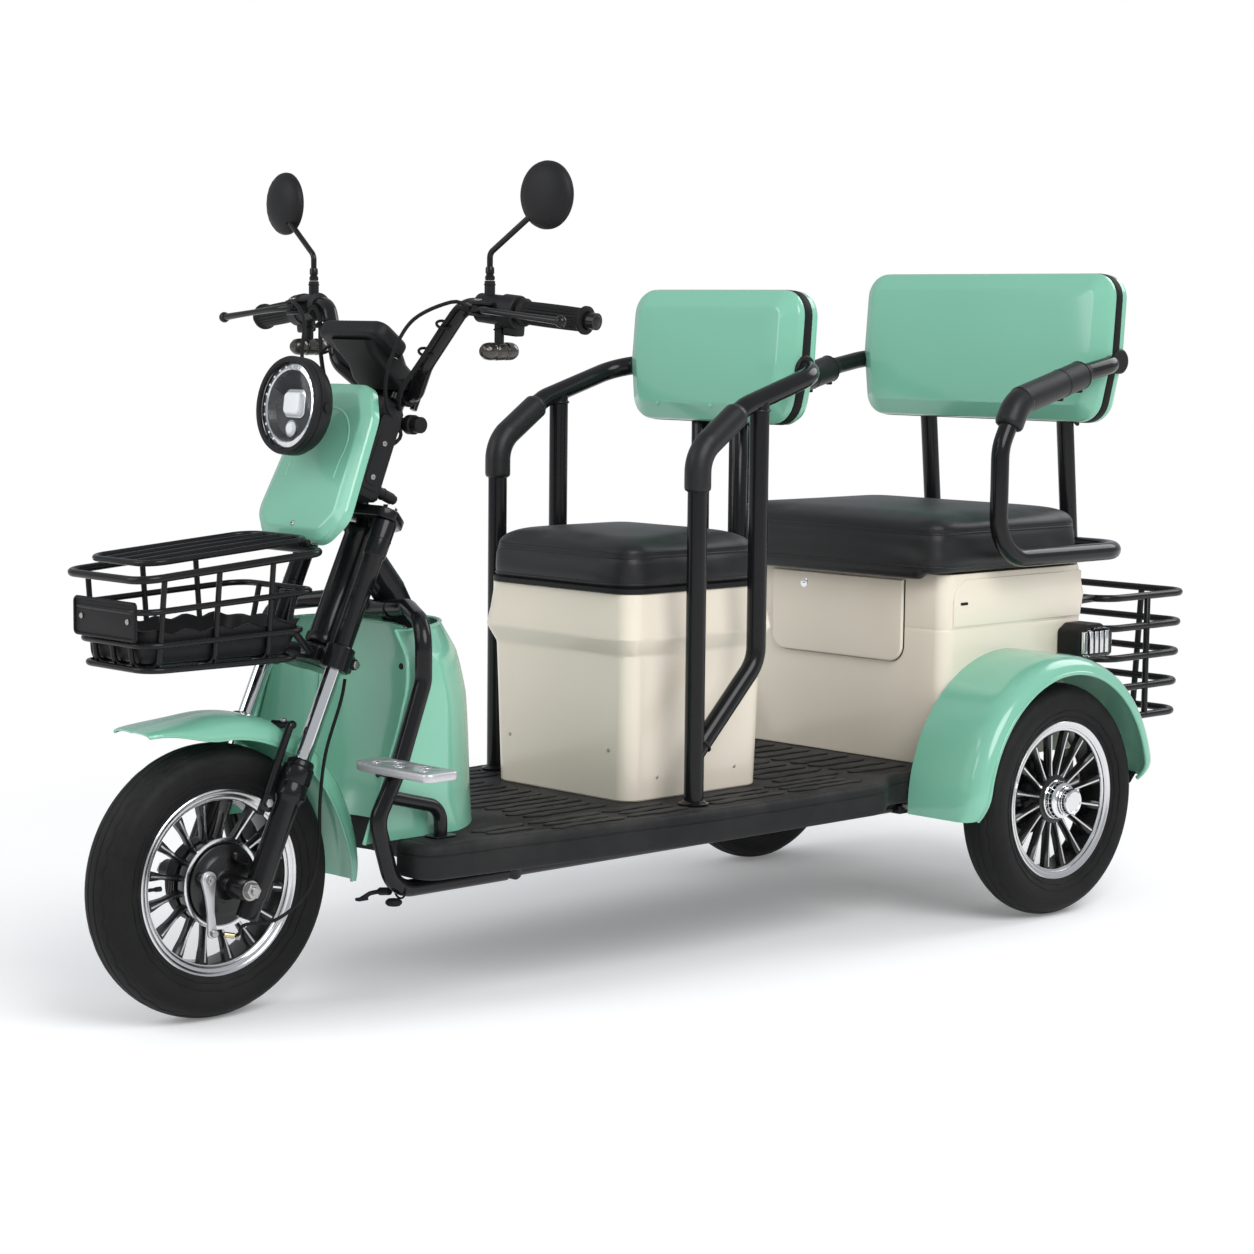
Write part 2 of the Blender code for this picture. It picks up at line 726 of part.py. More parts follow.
def arc_corner(before, corner, after, radius, steps):
    # points of a fillet at a corner, with the given steps for a quarter turn
    back = (before - corner).normalized()
    ahead = (after - corner).normalized()
    half = back.angle(ahead) / 2
    room = min((before - corner).length, (after - corner).length) * CORNER_ROOM
    reach = min(radius / math.tan(half), room)
    if reach < GAP or half > STRAIGHT_ANGLE:
        return [corner]
    true_radius = reach * math.tan(half)
    centre = corner + (back + ahead).normalized() * (true_radius / math.sin(half))
    start = corner + back * reach - centre
    finish = corner + ahead * reach - centre
    sweep = start.angle(finish)
    points = []
    count = max(1, round(steps * sweep / (math.pi / 2)))
    for i in range(count + 1):
        share = i / count
        first = start * (math.sin((1 - share) * sweep) / math.sin(sweep))
        second = finish * (math.sin(share * sweep) / math.sin(sweep))
        points.append(centre + first + second)
    return points


def rounded(corners, radius, steps=BEND_STEPS, closed=False):
    # path with filleted corners
    points = [Vector(corner) for corner in corners]
    count = len(points)
    path = []
    for i, corner in enumerate(points):
        if not closed and i in (0, count - 1):
            path.append(corner)
            continue
        path += arc_corner(points[i - 1], corner, points[(i + 1) % count], radius, steps)
    return path


def tangents(path, closed):
    count = len(path)
    result = []
    for i in range(count):
        before = path[i - 1] if closed or i > 0 else path[0]
        after = path[(i + 1) % count] if closed or i < count - 1 else path[-1]
        result.append((after - before).normalized())
    return result


def tube(path, radius, facets=TUBE_FACETS, closed=False):
    # round tube swept along a path without twist
    along = tangents(path, closed)
    side = along[0].orthogonal().normalized()
    sides = [side]
    for first, second in zip(along, along[1:]):
        side = first.rotation_difference(second) @ side
        side = (side - second * side.dot(second)).normalized()
        sides.append(side)
    twist = 0.0
    if closed:
        last = along[-1].rotation_difference(along[0]) @ sides[-1]
        twist = math.atan2(last.cross(sides[0]).dot(along[0]), last.dot(sides[0]))
    bm = bmesh.new()
    rings = []
    for i, (point, axis, side) in enumerate(zip(path, along, sides)):
        other = axis.cross(side)
        ring = []
        for k in range(facets):
            angle = math.pi * (2 * k + 1) / facets + twist * i / len(path)
            ring.append(bm.verts.new(point + (side * math.cos(angle) + other * math.sin(angle)) * radius))
        rings.append(ring)
    for first, second in zip(rings, rings[1:]):
        bridge(bm, first, second)
    if closed:
        bridge(bm, rings[-1], rings[0])
    else:
        bm.faces.new(rings[0])
        bm.faces.new(rings[-1])
    return finished(bm)


def mesh_from(bm, name):
    mesh = bpy.data.meshes.new(name)
    bm.to_mesh(mesh)
    bm.free()
    return mesh


def combined(bodies, operation="UNION"):
    # first body joined with, or cut by, all the others
    scene = bpy.context.scene
    others = bpy.data.collections.new("boolean_set")
    scene.collection.children.link(others)
    base = bpy.data.objects.new("boolean_base", mesh_from(bodies[0], "boolean_base"))
    scene.collection.objects.link(base)
    helpers = []
    for body in bodies[1:]:
        helper = bpy.data.objects.new("boolean_piece", mesh_from(body, "boolean_piece"))
        others.objects.link(helper)
        helpers.append(helper)
    modifier = base.modifiers.new("join", "BOOLEAN")
    modifier.operation = operation
    modifier.solver = "EXACT"
    modifier.operand_type = "COLLECTION"
    modifier.collection = others
    graph = bpy.context.evaluated_depsgraph_get()
    result = bmesh.new()
    evaluated = base.evaluated_get(graph)
    result.from_mesh(evaluated.to_mesh())
    evaluated.to_mesh_clear()
    for helper in helpers + [base]:
        mesh = helper.data
        bpy.data.objects.remove(helper)
        bpy.data.meshes.remove(mesh)
    bpy.data.collections.remove(others)
    bmesh.ops.dissolve_degenerate(result, dist=SLIVER, edges=result.edges)
    return finished(result)


def joined(*bodies):
    return combined(list(bodies), "UNION")


def cut(body, *cutters):
    # differences run one after another, so cutters may overlap each other
    for cutter in cutters:
        body = combined([body, cutter], "DIFFERENCE")
    return body


def finish_of(name, finish):
    colour, roughness, metallic = finish
    material = bpy.data.materials.new(name)
    material.use_nodes = True
    shader = material.node_tree.nodes["Principled BSDF"]
    shader.inputs["Base Color"].default_value = colour
    shader.inputs["Roughness"].default_value = roughness
    shader.inputs["Metallic"].default_value = metallic
    material.diffuse_color = colour
    return material


def empty(name, place, parent=None):
    holder = bpy.data.objects.new(name, None)
    bpy.context.scene.collection.objects.link(holder)
    holder.parent = parent
    holder.location = Vector(place)
    return holder


class Assembly:
    # keeps the holders of the moving groups and adds named pieces to them
    def __init__(self):
        self.root = empty("tricycle", (-ORIGIN_X, 0.0, 0.0))
        self.places = {"chassis": Vector()}
        self.holders = {"chassis": empty("chassis", (0.0, 0.0, 0.0), self.root)}

    def group(self, name, place, parent="chassis"):
        offset = Vector(place) - self.places[parent]
        self.holders[name] = empty(name + "_pivot", offset, self.holders[parent])
        self.places[name] = Vector(place)

    def add(self, name, bm, finish, group="chassis"):
        bm.transform(Matrix.Translation(-self.places[group]))
        mesh = mesh_from(bm, name)
        mesh.shade_smooth()
        mesh.set_sharp_from_angle(angle=SMOOTH_ANGLE)
        piece = bpy.data.objects.new(name, mesh)
        piece.data.materials.append(finish_of(name, finish))
        piece.parent = self.holders[group]
        bpy.context.scene.collection.objects.link(piece)
        return piece


SIDES = (("left", 1), ("right", -1))


# wheels
def tyre(centre):
    height = TYRE_RADIUS - RIM_FLANGE_RADIUS
    half = TYRE_WIDTH / 2
    bead = BEAD_WIDTH / 2
    wall = [(RIM_SEAT_RADIUS + GAP, bead), (RIM_FLANGE_RADIUS + GAP, FLANGE_FACE - GAP)]
    for rise, width in SIDEWALL:
        wall.append((RIM_FLANGE_RADIUS + rise * height, width * half))
    wall.append((TYRE_RADIUS, TREAD_FLAT / 2))
    profile = wall + [(radius, -y) for radius, y in reversed(wall)]
    return turned(profile, WHEEL_FACETS, Matrix.Translation(centre) @ ACROSS, ring=True)


def rim_ring():
    bead = BEAD_WIDTH / 2 + GAP
    face = FLANGE_FACE
    half = [(RIM_SEAT_RADIUS, bead), (RIM_FLANGE_RADIUS, face), (RIM_BARREL_RADIUS, face)]
    profile = half + [(radius, -y) for radius, y in reversed(half)]
    return turned(profile, WHEEL_FACETS, ACROSS, ring=True)


def spoke(angle, root_radius):
    low = root_radius - SPOKE_SINK
    high = RIM_BARREL_RADIUS + SPOKE_SINK
    loops = []
    root = (low, SPOKE_ROOT_WIDTH, SPOKE_ROOT_FACE)
    tip = (high, SPOKE_TIP_WIDTH, SPOKE_TIP_FACE)
    for radius, width, face in (root, tip):
        half = width / 2
        back = face - SPOKE_DEPTH
        section = ((-half, back), (half, back), (half, face), (-half, face))
        loops.append([(x, y, radius) for x, y in section])
    bm = stacked(loops)
    return moved(bm, Matrix.Rotation(angle, 4, "Y"))


def wheel_rim(hub, root_radius, centre, side):
    spokes = []
    for i in range(SPOKE_COUNT):
        spokes.append(spoke(2 * math.pi * i / SPOKE_COUNT, root_radius))
    bm = joined(rim_ring(), hub, *spokes)
    return moved(bm, Matrix.Translation(centre) @ flipped(side))


def rear_hub():
    shaft = -REAR_HUB_BACK - DRIVE_SHAFT_REACH
    profile = [(0.0, shaft), (DRIVE_SHAFT_RADIUS, shaft), (DRIVE_SHAFT_RADIUS, -REAR_HUB_BACK)]
    profile += [(REAR_HUB_RADIUS, -REAR_HUB_BACK), (REAR_HUB_RADIUS, REAR_HUB_FACE)]
    profile += list(HUB_CAP_STEPS)
    profile.append((0.0, HUB_CAP_STEPS[-1][1]))
    return turned(profile, HUB_FACETS, ACROSS)


def front_hub():
    bore = cleared(FRONT_AXLE_RADIUS, HUB_FACETS)
    inner = DRUM_RADIUS - DRUM_WALL
    profile = [(bore, -FRONT_HUB_BACK), (FRONT_HUB_BOSS_RADIUS, -FRONT_HUB_BACK)]
    profile += [(FRONT_HUB_BOSS_RADIUS, -DRUM_BACK * 2), (DRUM_RADIUS, -DRUM_BACK)]
    profile += [(DRUM_RADIUS, DRUM_LIP)]
    profile += [(inner, DRUM_LIP), (inner, DRUM_FLOOR), (bore, DRUM_FLOOR)]
    return turned(profile, HUB_FACETS, ACROSS, ring=True)


def add_wheels(trike):
    for name, side in SIDES:
        centre = Vector((0.0, side * REAR_TRACK / 2, AXLE_HEIGHT))
        group = "rear_wheel_" + name
        trike.group(group, centre, "rear_axle_group")
        trike.add("rear_tyre_" + name, tyre(centre), RUBBER, group)
        rim = wheel_rim(rear_hub(), REAR_HUB_RADIUS, centre, side)
        trike.add("rear_rim_" + name, rim, GLOSS_BLACK, group)
    trike.group("front_wheel", FRONT_AXLE, "fork_lowers")
    trike.add("front_tyre", tyre(FRONT_AXLE), RUBBER, "front_wheel")
    rim = wheel_rim(front_hub(), DRUM_RADIUS, FRONT_AXLE, 1)
    trike.add("front_rim", rim, GLOSS_BLACK, "front_wheel")


# front fork
def leg_lug_inner():
    return LEG_HALF - SLIDER_RADIUS


def fork_lower(side):
    bore = slid(STANCHION_RADIUS, TURN_FACETS)
    floor = SLIDER_LOW + SLIDER_TAPER
    profile = [(0.0, SLIDER_LOW), (SLIDER_FOOT_RADIUS, SLIDER_LOW), (SLIDER_RADIUS, floor)]
    profile += [(SLIDER_RADIUS, SLIDER_TOP - SLIDER_COLLAR - SLIDER_STEP)]
    profile += [(SLIDER_COLLAR_RADIUS, SLIDER_TOP - SLIDER_COLLAR), (SLIDER_COLLAR_RADIUS, SLIDER_TOP)]
    profile += [(bore, SLIDER_TOP), (bore, floor), (0.0, floor)]
    slider = turned(profile, TURN_FACETS, rake_frame(0.0, LEG_HALF, 0.0))
    inner = FRONT_AXLE + Vector((0.0, leg_lug_inner(), 0.0))
    outer = FRONT_AXLE + Vector((0.0, LEG_HALF + AXLE_LUG_OUT, 0.0))
    bm = joined(slider, rod(inner, outer, AXLE_LUG_RADIUS, TURN_FACETS))
    return moved(bm, flipped(side))


def stanchion(side):
    profile = ((0.0, STANCHION_LOW), (STANCHION_RADIUS, STANCHION_LOW))
    profile += ((STANCHION_RADIUS, TOP_YOKE_LOW - GAP), (0.0, TOP_YOKE_LOW - GAP))
    return turned(profile, TURN_FACETS, rake_frame(0.0, side * LEG_HALF, 0.0))


def raked_block(low, high):
    # box given in fork coordinates: forward, side and along
    return moved(block(low, high), rake_frame(0.0, 0.0, 0.0))


def lower_yoke():
    middle = (LOWER_YOKE_LOW + LOWER_YOKE_HIGH) / 2
    low = (-YOKE_BACK, -LEG_HALF, middle - YOKE_PLATE / 2)
    high = (YOKE_FRONT, LEG_HALF, middle + YOKE_PLATE / 2)
    plate = raked_block(low, high)
    stem_low = raked(middle, 0.0, -STEM_SETBACK)
    stem_high = raked(TOP_YOKE_LOW - GAP, 0.0, -STEM_SETBACK)
    stem = rod(stem_low, stem_high, STEM_RADIUS, TURN_FACETS)
    bodies = [plate, stem]
    holes = []
    for name, side in SIDES:
        foot = raked(LOWER_YOKE_LOW, side * LEG_HALF)
        head = raked(LOWER_YOKE_HIGH, side * LEG_HALF)
        bodies.append(rod(foot, head, YOKE_CLAMP_RADIUS, TURN_FACETS))
        over = RAKE_UP * YOKE_PLATE
        bore = slid(STANCHION_RADIUS, TURN_FACETS)
        holes.append(rod(foot - over, head + over, bore, TURN_FACETS))
    return cut(joined(*bodies), *holes)


def bar_centre():
    return raked(BAR_ALONG)


def top_yoke():
    half = LEG_HALF + YOKE_CLAMP_RADIUS
    back = -YOKE_BACK
    plate = raked_block((back, -half, TOP_YOKE_LOW), (YOKE_CLAMP_RADIUS, half, TOP_YOKE_HIGH))
    plate = eased(plate, YOKE_FRONT / 2)
    riser = rod(raked(TOP_YOKE_LOW + RISER_SINK), raked(BAR_ALONG), RISER_RADIUS, TURN_FACETS)
    return cut(joined(plate, riser), bar_tube(BAR_RADIUS + GAP))


def brake_plate():
    lug = leg_lug_inner() - GAP
    inner = (DRUM_RADIUS - DRUM_WALL) * math.cos(math.pi / HUB_FACETS) - RUN_GAP
    spacer = -FRONT_HUB_BACK - RUN_GAP
    face = DRUM_FLOOR + RUN_GAP
    profile = [(0.0, -lug), (AXLE_SPACER_RADIUS, -lug), (AXLE_SPACER_RADIUS, spacer)]
    profile += [(FRONT_AXLE_RADIUS, spacer), (FRONT_AXLE_RADIUS, face)]
    profile += [(inner, face), (inner, PLATE_RIM)]
    profile += list(PLATE_CONE)
    profile += [(AXLE_SPACER_RADIUS, PLATE_CONE[-1][1]), (AXLE_SPACER_RADIUS, lug), (0.0, lug)]
    plate = turned(profile, TURN_FACETS, Matrix.Translation(FRONT_AXLE) @ ACROSS)
    cam = FRONT_AXLE + Vector((CAM_FORWARD, 0.0, CAM_RISE))
    inside = cam + Vector((0.0, DRUM_LIP / 2, 0.0))
    boss = rod(inside, cam + Vector((0.0, CAM_FACE, 0.0)), CAM_RADIUS)
    return joined(plate, boss)


def link_outline(end, start_radius, end_radius):
    # outline of a flat arm with round ends, from the origin to the end point
    heading = math.atan2(end[1], end[0])
    points = []
    for share, radius, first in ((1.0, end_radius, -math.pi / 2), (0.0, start_radius, math.pi / 2)):
        for i in range(LINK_STEPS + 1):
            angle = heading + first + math.pi * i / LINK_STEPS
            x = end[0] * share + radius * math.cos(angle)
            points.append((x, end[1] * share + radius * math.sin(angle)))
    return points


def brake_arm():
    cam = FRONT_AXLE + Vector((CAM_FORWARD, 0.0, CAM_RISE))
    outline = link_outline((BRAKE_ARM_FORWARD, -BRAKE_ARM_DROP), BRAKE_ARM_ROOT, BRAKE_ARM_TIP)
    low = CAM_FACE + GAP
    loops = []
    for y in (low, low + BRAKE_ARM_THICK):
        loops.append([(cam.x + x, y, cam.z + z) for x, z in outline])
    return stacked(loops)


def guard_section(angle):
    # cross-section of the front mudguard at one angle about the front axle
    tip = max(0.0, 1.0 - (angle - GUARD_TIP) / GUARD_TIP_RUN)
    tail = max(0.0, 1.0 - (GUARD_TAIL - angle) / GUARD_TAIL_RUN)
    skirt = GUARD_SKIRT + (GUARD_TIP_SKIRT - GUARD_SKIRT) * tip ** GUARD_TIP_POWER
    skirt += (GUARD_TAIL_SKIRT - GUARD_SKIRT) * tail
    crown = GUARD_RADIUS + GUARD_TIP_RISE * tip ** 2
    outside = []
    for share in GUARD_SHARES:
        drop = skirt * abs(share) ** GUARD_SIDE_POWER
        outside.append((GUARD_HALF * share, crown - drop))
    inside = []
    inner_half = GUARD_HALF - GUARD_THICK
    for y, radius in reversed(outside):
        share = y / GUARD_HALF
        wall = GUARD_THICK * (1.0 - abs(share) ** GUARD_WALL_POWER)
        inside.append((share * inner_half, radius - wall))
    loop = []
    for y, radius in outside + inside:
        place = Vector((radius * math.cos(angle), y, radius * math.sin(angle)))
        loop.append(FRONT_AXLE + place)
    return loop


def front_mudguard():
    span = GUARD_TAIL - GUARD_TIP
    angles = [GUARD_TIP + span * i / GUARD_STEPS for i in range(GUARD_STEPS + 1)]
    bodies = [stacked([guard_section(angle) for angle in angles])]
    crown = GUARD_RADIUS - GUARD_THICK / 2
    stand = SLIDER_COLLAR_RADIUS + GUARD_STAY_RADIUS + GUARD_STAY_CLEAR
    reach = GUARD_STAY_RADIUS
    for name, side in SIDES:
        root = Vector((crown, side * GUARD_HALF * GUARD_STAY_SHARE, 0.0))
        root = FRONT_AXLE + Matrix.Rotation(-GUARD_STAY_ANGLE, 3, "Y") @ root
        foot = raked(GUARD_STAY_ALONG, side * GUARD_STAY_OUT, stand)
        shoulder = raked(GUARD_STAY_SHOULDER, side * GUARD_STAY_OUT, stand)
        path = rounded([root, shoulder, foot], GUARD_STAY_OUT / 4)
        bodies.append(tube(path, GUARD_STAY_RADIUS, WIRE_FACETS))
        face = flat(SLIDER_RADIUS, TURN_FACETS) + GAP
        y = side * LEG_HALF
        pad_low = (face, y - SLIDER_RADIUS, GUARD_STAY_ALONG - reach)
        pad_high = (stand + reach, y + SLIDER_RADIUS, GUARD_STAY_ALONG + reach)
        bodies.append(raked_block(pad_low, pad_high))
    return joined(*bodies)


def cable_route():
    # hangs beside the left leg from the lower yoke to the brake arm
    tip = FRONT_AXLE + Vector((CAM_FORWARD + BRAKE_ARM_FORWARD, 0.0, CAM_RISE - BRAKE_ARM_DROP))
    points = [raked(LOWER_YOKE_LOW - GAP, CABLE_TOP[0], CABLE_TOP[1])]
    points += [raked(along, side, forward) for along, side, forward in CABLE_ROUTE]
    points.append(tip + Vector(CABLE_RUN_IN))
    face = CAM_FACE + BRAKE_ARM_THICK + CABLE_RADIUS + GAP * 3
    points.append(tip + Vector((0.0, face, 0.0)))
    return points


def smooth_path(points, step):
    # even points on a smooth curve through the route's own points
    path = []
    last = len(points) - 1
    for i in range(last):
        p0 = points[max(i - 1, 0)]
        p1 = points[i]
        p2 = points[i + 1]
        p3 = points[min(i + 2, last)]
        count = max(2, round((p2 - p1).length / step))
        for k in range(count):
            t = k / count
            a = p1 * 2
            b = (p2 - p0) * t
            c = (p0 * 2 - p1 * 5 + p2 * 4 - p3) * t * t
            d = (p1 * 3 - p0 - p2 * 3 + p3) * t ** 3
            path.append((a + b + c + d) / 2)
    path.append(points[last])
    return path


def add_fork(trike):
    trike.group("steering", raked(0.0, 0.0, -STEM_SETBACK))
    trike.group("fork_lowers", FRONT_AXLE, "steering")
    trike.add("lower_yoke", lower_yoke(), GLOSS_BLACK, "steering")
    trike.add("top_yoke", top_yoke(), GLOSS_BLACK, "steering")
    for name, side in SIDES:
        trike.add("stanchion_" + name, stanchion(side), CHROME, "steering")
        trike.add("fork_lower_" + name, fork_lower(side), GLOSS_BLACK, "fork_lowers")
    trike.add("front_brake_plate", brake_plate(), GLOSS_BLACK, "fork_lowers")
    trike.add("front_mudguard", front_mudguard(), MINT, "fork_lowers")
    cable = tube(smooth_path(cable_route(), CABLE_STEP), CABLE_RADIUS, CABLE_FACETS)
    trike.add("front_brake_cable", cable, RUBBER, "fork_lowers")
    trike.group("front_brake", FRONT_AXLE + Vector((CAM_FORWARD, CAM_FACE, CAM_RISE)), "fork_lowers")
    trike.add("front_brake_arm", brake_arm(), ALLOY, "front_brake")


# steering column, lamp and panel
def column_housing():
    loops = []
    low = TOP_YOKE_HIGH + GAP
    for along, half in ((low, HOUSING_HALF), (HOUSING_TOP, HOUSING_HALF - HOUSING_TAPER)):
        face = PANEL_BACK - GAP
        corners = ((HOUSING_BACK, -half), (face, -half), (face, half), (HOUSING_BACK, half))
        loops.append([(forward, side, along) for forward, side in corners])
    body = eased(stacked(loops), HOUSING_ROUND)
    body = moved(body, rake_frame(0.0, 0.0, 0.0))
    side = HOUSING_HALF - HOOK_RADIUS * 2
    root = raked(HOOK_ALONG, side, HOUSING_BACK + HOOK_RADIUS * 2)
    hook = rod(root, root - RAKE_FORWARD * HOOK_REACH, HOOK_RADIUS)
    return joined(body, hook)


def front_panel():
    half = ((PANEL_LOW, PANEL_LOW_HALF), (PANEL_WIDE_LOW, PANEL_WIDE_LOW_HALF))
    half += ((PANEL_WIDE_HIGH, PANEL_WIDE_HIGH_HALF), (PANEL_HIGH, PANEL_HIGH_HALF))
    corners = [Vector((along, side, 0.0)) for along, side in half]
    corners += [Vector((along, -side, 0.0)) for along, side in reversed(half)]
    outline = rounded(corners, PANEL_LOW_HALF / 2, closed=True)
    centre = Vector(((PANEL_LOW + PANEL_HIGH) / 2, 0.0, 0.0))
    depth = PANEL_FACE - PANEL_BACK
    loops = []
    for share, rise in PANEL_STEPS:
        loop = []
        for point in outline:
            spot = point + (centre - point).normalized() * PANEL_EDGE * share
            loop.append(raked(spot.x, spot.y, PANEL_BACK + depth * rise))
        loops.append(loop)
    return stacked(loops)


def lamp_frame():
    # z looks out of the lamp
    direction = Vector((math.cos(LAMP_TILT), 0.0, math.sin(LAMP_TILT)))
    return frame_on(Vector((LAMP_X, 0.0, LAMP_Z)), direction)


def headlamp_housing():
    inner = LAMP_RADIUS - LAMP_BEZEL
    profile = [(0.0, -LAMP_DEPTH), (LAMP_BACK_RADIUS, -LAMP_DEPTH)]
    profile += [(LAMP_RADIUS * wide, -LAMP_DEPTH * deep) for wide, deep in LAMP_SWELL]
    profile += [(LAMP_RADIUS, -LAMP_BEZEL / 2), (LAMP_RADIUS - LAMP_BEZEL / 2, 0.0)]
    profile += [(inner, 0.0), (inner, -LAMP_RECESS * 2), (0.0, -LAMP_RECESS * 2)]
    shell = turned(profile, LAMP_FACETS, lamp_frame())
    back = lamp_frame() @ Vector((0.0, 0.0, -LAMP_DEPTH * LAMP_NECK_SHARE))
    neck = rod(back, back - RAKE_FORWARD * LAMP_DEPTH, LAMP_NECK_RADIUS, TURN_FACETS)
    reach = PANEL_WIDE_LOW_HALF * 2
    behind = raked_block((-reach, -reach, 0.0), (PANEL_FACE + GAP, reach, 1.0))
    return cut(joined(shell, neck), behind)


def headlamp_lens():
    radius = LAMP_RADIUS - LAMP_BEZEL - GAP * 2
    back = -LAMP_RECESS * 2 + GAP
    front = back + LENS_THICK
    profile = [(0.0, back), (radius, back), (radius, front)]
    profile += [(radius * wide, front + LENS_THICK * rise) for wide, rise in LENS_DOME]
    return turned(profile, LAMP_FACETS, lamp_frame())


def add_column(trike):
    trike.add("column_housing", column_housing(), MATT_BLACK, "steering")
    trike.add("front_panel", front_panel(), MINT, "steering")
    trike.add("headlamp_housing", headlamp_housing(), MATT_BLACK, "steering")
    trike.add("headlamp_lens", headlamp_lens(), CLEAR, "steering")


# handlebar and controls
def bar_side_points(side):
    points = [bar_centre() + Vector((0.0, BAR_CLAMP_HALF, 0.0))]
    points += [Vector(BAR_KNEE), Vector(BAR_SHOULDER), Vector(BAR_END)]
    return [Vector((point.x, side * point.y, point.z)) for point in points]


def bar_tube(radius):
    left = bar_side_points(1)
    right = bar_side_points(-1)
    path = rounded(list(reversed(right)) + left, BAR_BEND)
    return tube(path, radius, BAR_FACETS)


def grip_frame(side):
    # z runs out along the straight end of the bar, x up, y forward or back
    start = Vector((BAR_SHOULDER[0], side * BAR_SHOULDER[1], BAR_SHOULDER[2]))
    end = Vector((BAR_END[0], side * BAR_END[1], BAR_END[2]))
    axis = (end - start).normalized()
    ahead = Vector((1.0, 0.0, 0.0))
    ahead = (ahead - axis * ahead.dot(axis)).normalized()
    rise = ahead.cross(axis) * side
    turn = Matrix((rise, ahead, axis)).transposed().to_4x4()
    return Matrix.Translation(start) @ turn


def on_grip(side, along, forward=0.0, rise=0.0):
    return grip_frame(side) @ Vector((rise, forward, along))


def grip_turned(side, profile, ring=True):
    return turned(profile, GRIP_FACETS, grip_frame(side), ring)


def bar_bore():
    return cleared(BAR_RADIUS, GRIP_FACETS)


def grip(side):
    bore = bar_bore()
    wide = GRIP_FLANGE_RADIUS
    profile = [(bore, GRIP_START), (wide, GRIP_START), (wide, GRIP_START + GRIP_FLANGE)]
    profile += [(GRIP_RADIUS, GRIP_START + GRIP_SHOULDER), (GRIP_RADIUS, GRIP_END - GRIP_SHOULDER)]
    profile += [(wide, GRIP_END - GRIP_FLANGE), (wide, GRIP_END), (bore, GRIP_END)]
    return grip_turned(side, profile)


def mirror_base(side):
    return on_grip(side, MIRROR_BOSS_ALONG, 0.0, CONTROL_RADIUS)


def mirror_seat(side):
    base = mirror_base(side)
    return Vector((base.x, base.y, base.z + MIRROR_BOSS_TOP - CONTROL_RADIUS / 2))


def control(side):
    collar = [(0.0, CONTROL_START), (CONTROL_RADIUS, CONTROL_START), (CONTROL_RADIUS, SWITCH_START)]
    collar += [(SWITCH_RADIUS, SWITCH_START), (SWITCH_RADIUS, CONTROL_END), (0.0, CONTROL_END)]
    body = grip_turned(side, collar, ring=False)
    low = (-PERCH_HALF, 0.0, PERCH_START)
    high = (PERCH_HALF, PERCH_REACH, PERCH_END)
    perch = moved(block(low, high), grip_frame(side))
    base = mirror_base(side) - Vector((0.0, 0.0, CONTROL_RADIUS / 2))
    boss = rod(base, mirror_seat(side) - Vector((0.0, 0.0, GAP)), MIRROR_BOSS_RADIUS)
    lamp = on_grip(side, INDICATOR_ALONG)
    bulb = lamp - Vector((0.0, 0.0, INDICATOR_DROP))
    stalk = rod(lamp - Vector((0.0, 0.0, CONTROL_RADIUS / 2)), bulb, INDICATOR_STALK, BULB_FACETS)
    reach = Vector((INDICATOR_HALF, 0.0, 0.0))
    length = INDICATOR_HALF * 2
    rear = [(INDICATOR_RADIUS * wide, length * share) for wide, share in INDICATOR_STEPS]
    front = [(radius, length - height) for radius, height in reversed(rear)]
    profile = [(0.0, 0.0)] + rear + front + [(0.0, length)]
    bullet = turned(profile, BULB_FACETS, frame_on(bulb - reach, reach))
    hole = [(0.0, 0.0), (bar_bore(), 0.0), (bar_bore(), GRIP_END), (0.0, GRIP_END)]
    bore = grip_turned(side, hole, ring=False)
    slot_low = (-LEVER_SLOT, LEVER_SLOT * 3, PERCH_START + LEVER_SLOT)
    slot_high = (LEVER_SLOT, PERCH_REACH * 2, GRIP_START)
    slot = moved(block(slot_low, slot_high), grip_frame(side))
    return cut(joined(body, perch, boss, stalk, bullet), bore, slot)


def lever_pivot(side):
    return on_grip(side, LEVER_PIVOT, PERCH_REACH - LEVER_KNUCKLE)


def brake_lever(side):
    pivot = (PERCH_REACH - LEVER_KNUCKLE, LEVER_PIVOT)
    tip = (LEVER_TIP_FORWARD, LEVER_TIP_ALONG)
    half = LEVER_SLOT - RUN_GAP
    elbow = Vector((0.0, PERCH_REACH + LEVER_KNUCKLE / 2, SWITCH_START))
    root = Vector((0.0, pivot[0], pivot[1]))
    end = Vector((0.0, tip[0], tip[1]))
    blade = tube(rounded([root, elbow, end], LEVER_KNUCKLE * 3), LEVER_RADIUS, SMALL_FACETS)
    knuckle = rod((-half, pivot[0], pivot[1]), (half, pivot[0], pivot[1]), LEVER_KNUCKLE)
    ball = bmesh.new()
    place = Matrix.Translation(end)
    bmesh.ops.create_icosphere(ball, subdivisions=1, radius=LEVER_BALL, matrix=place)
    return moved(joined(blade, knuckle, ball), grip_frame(side))


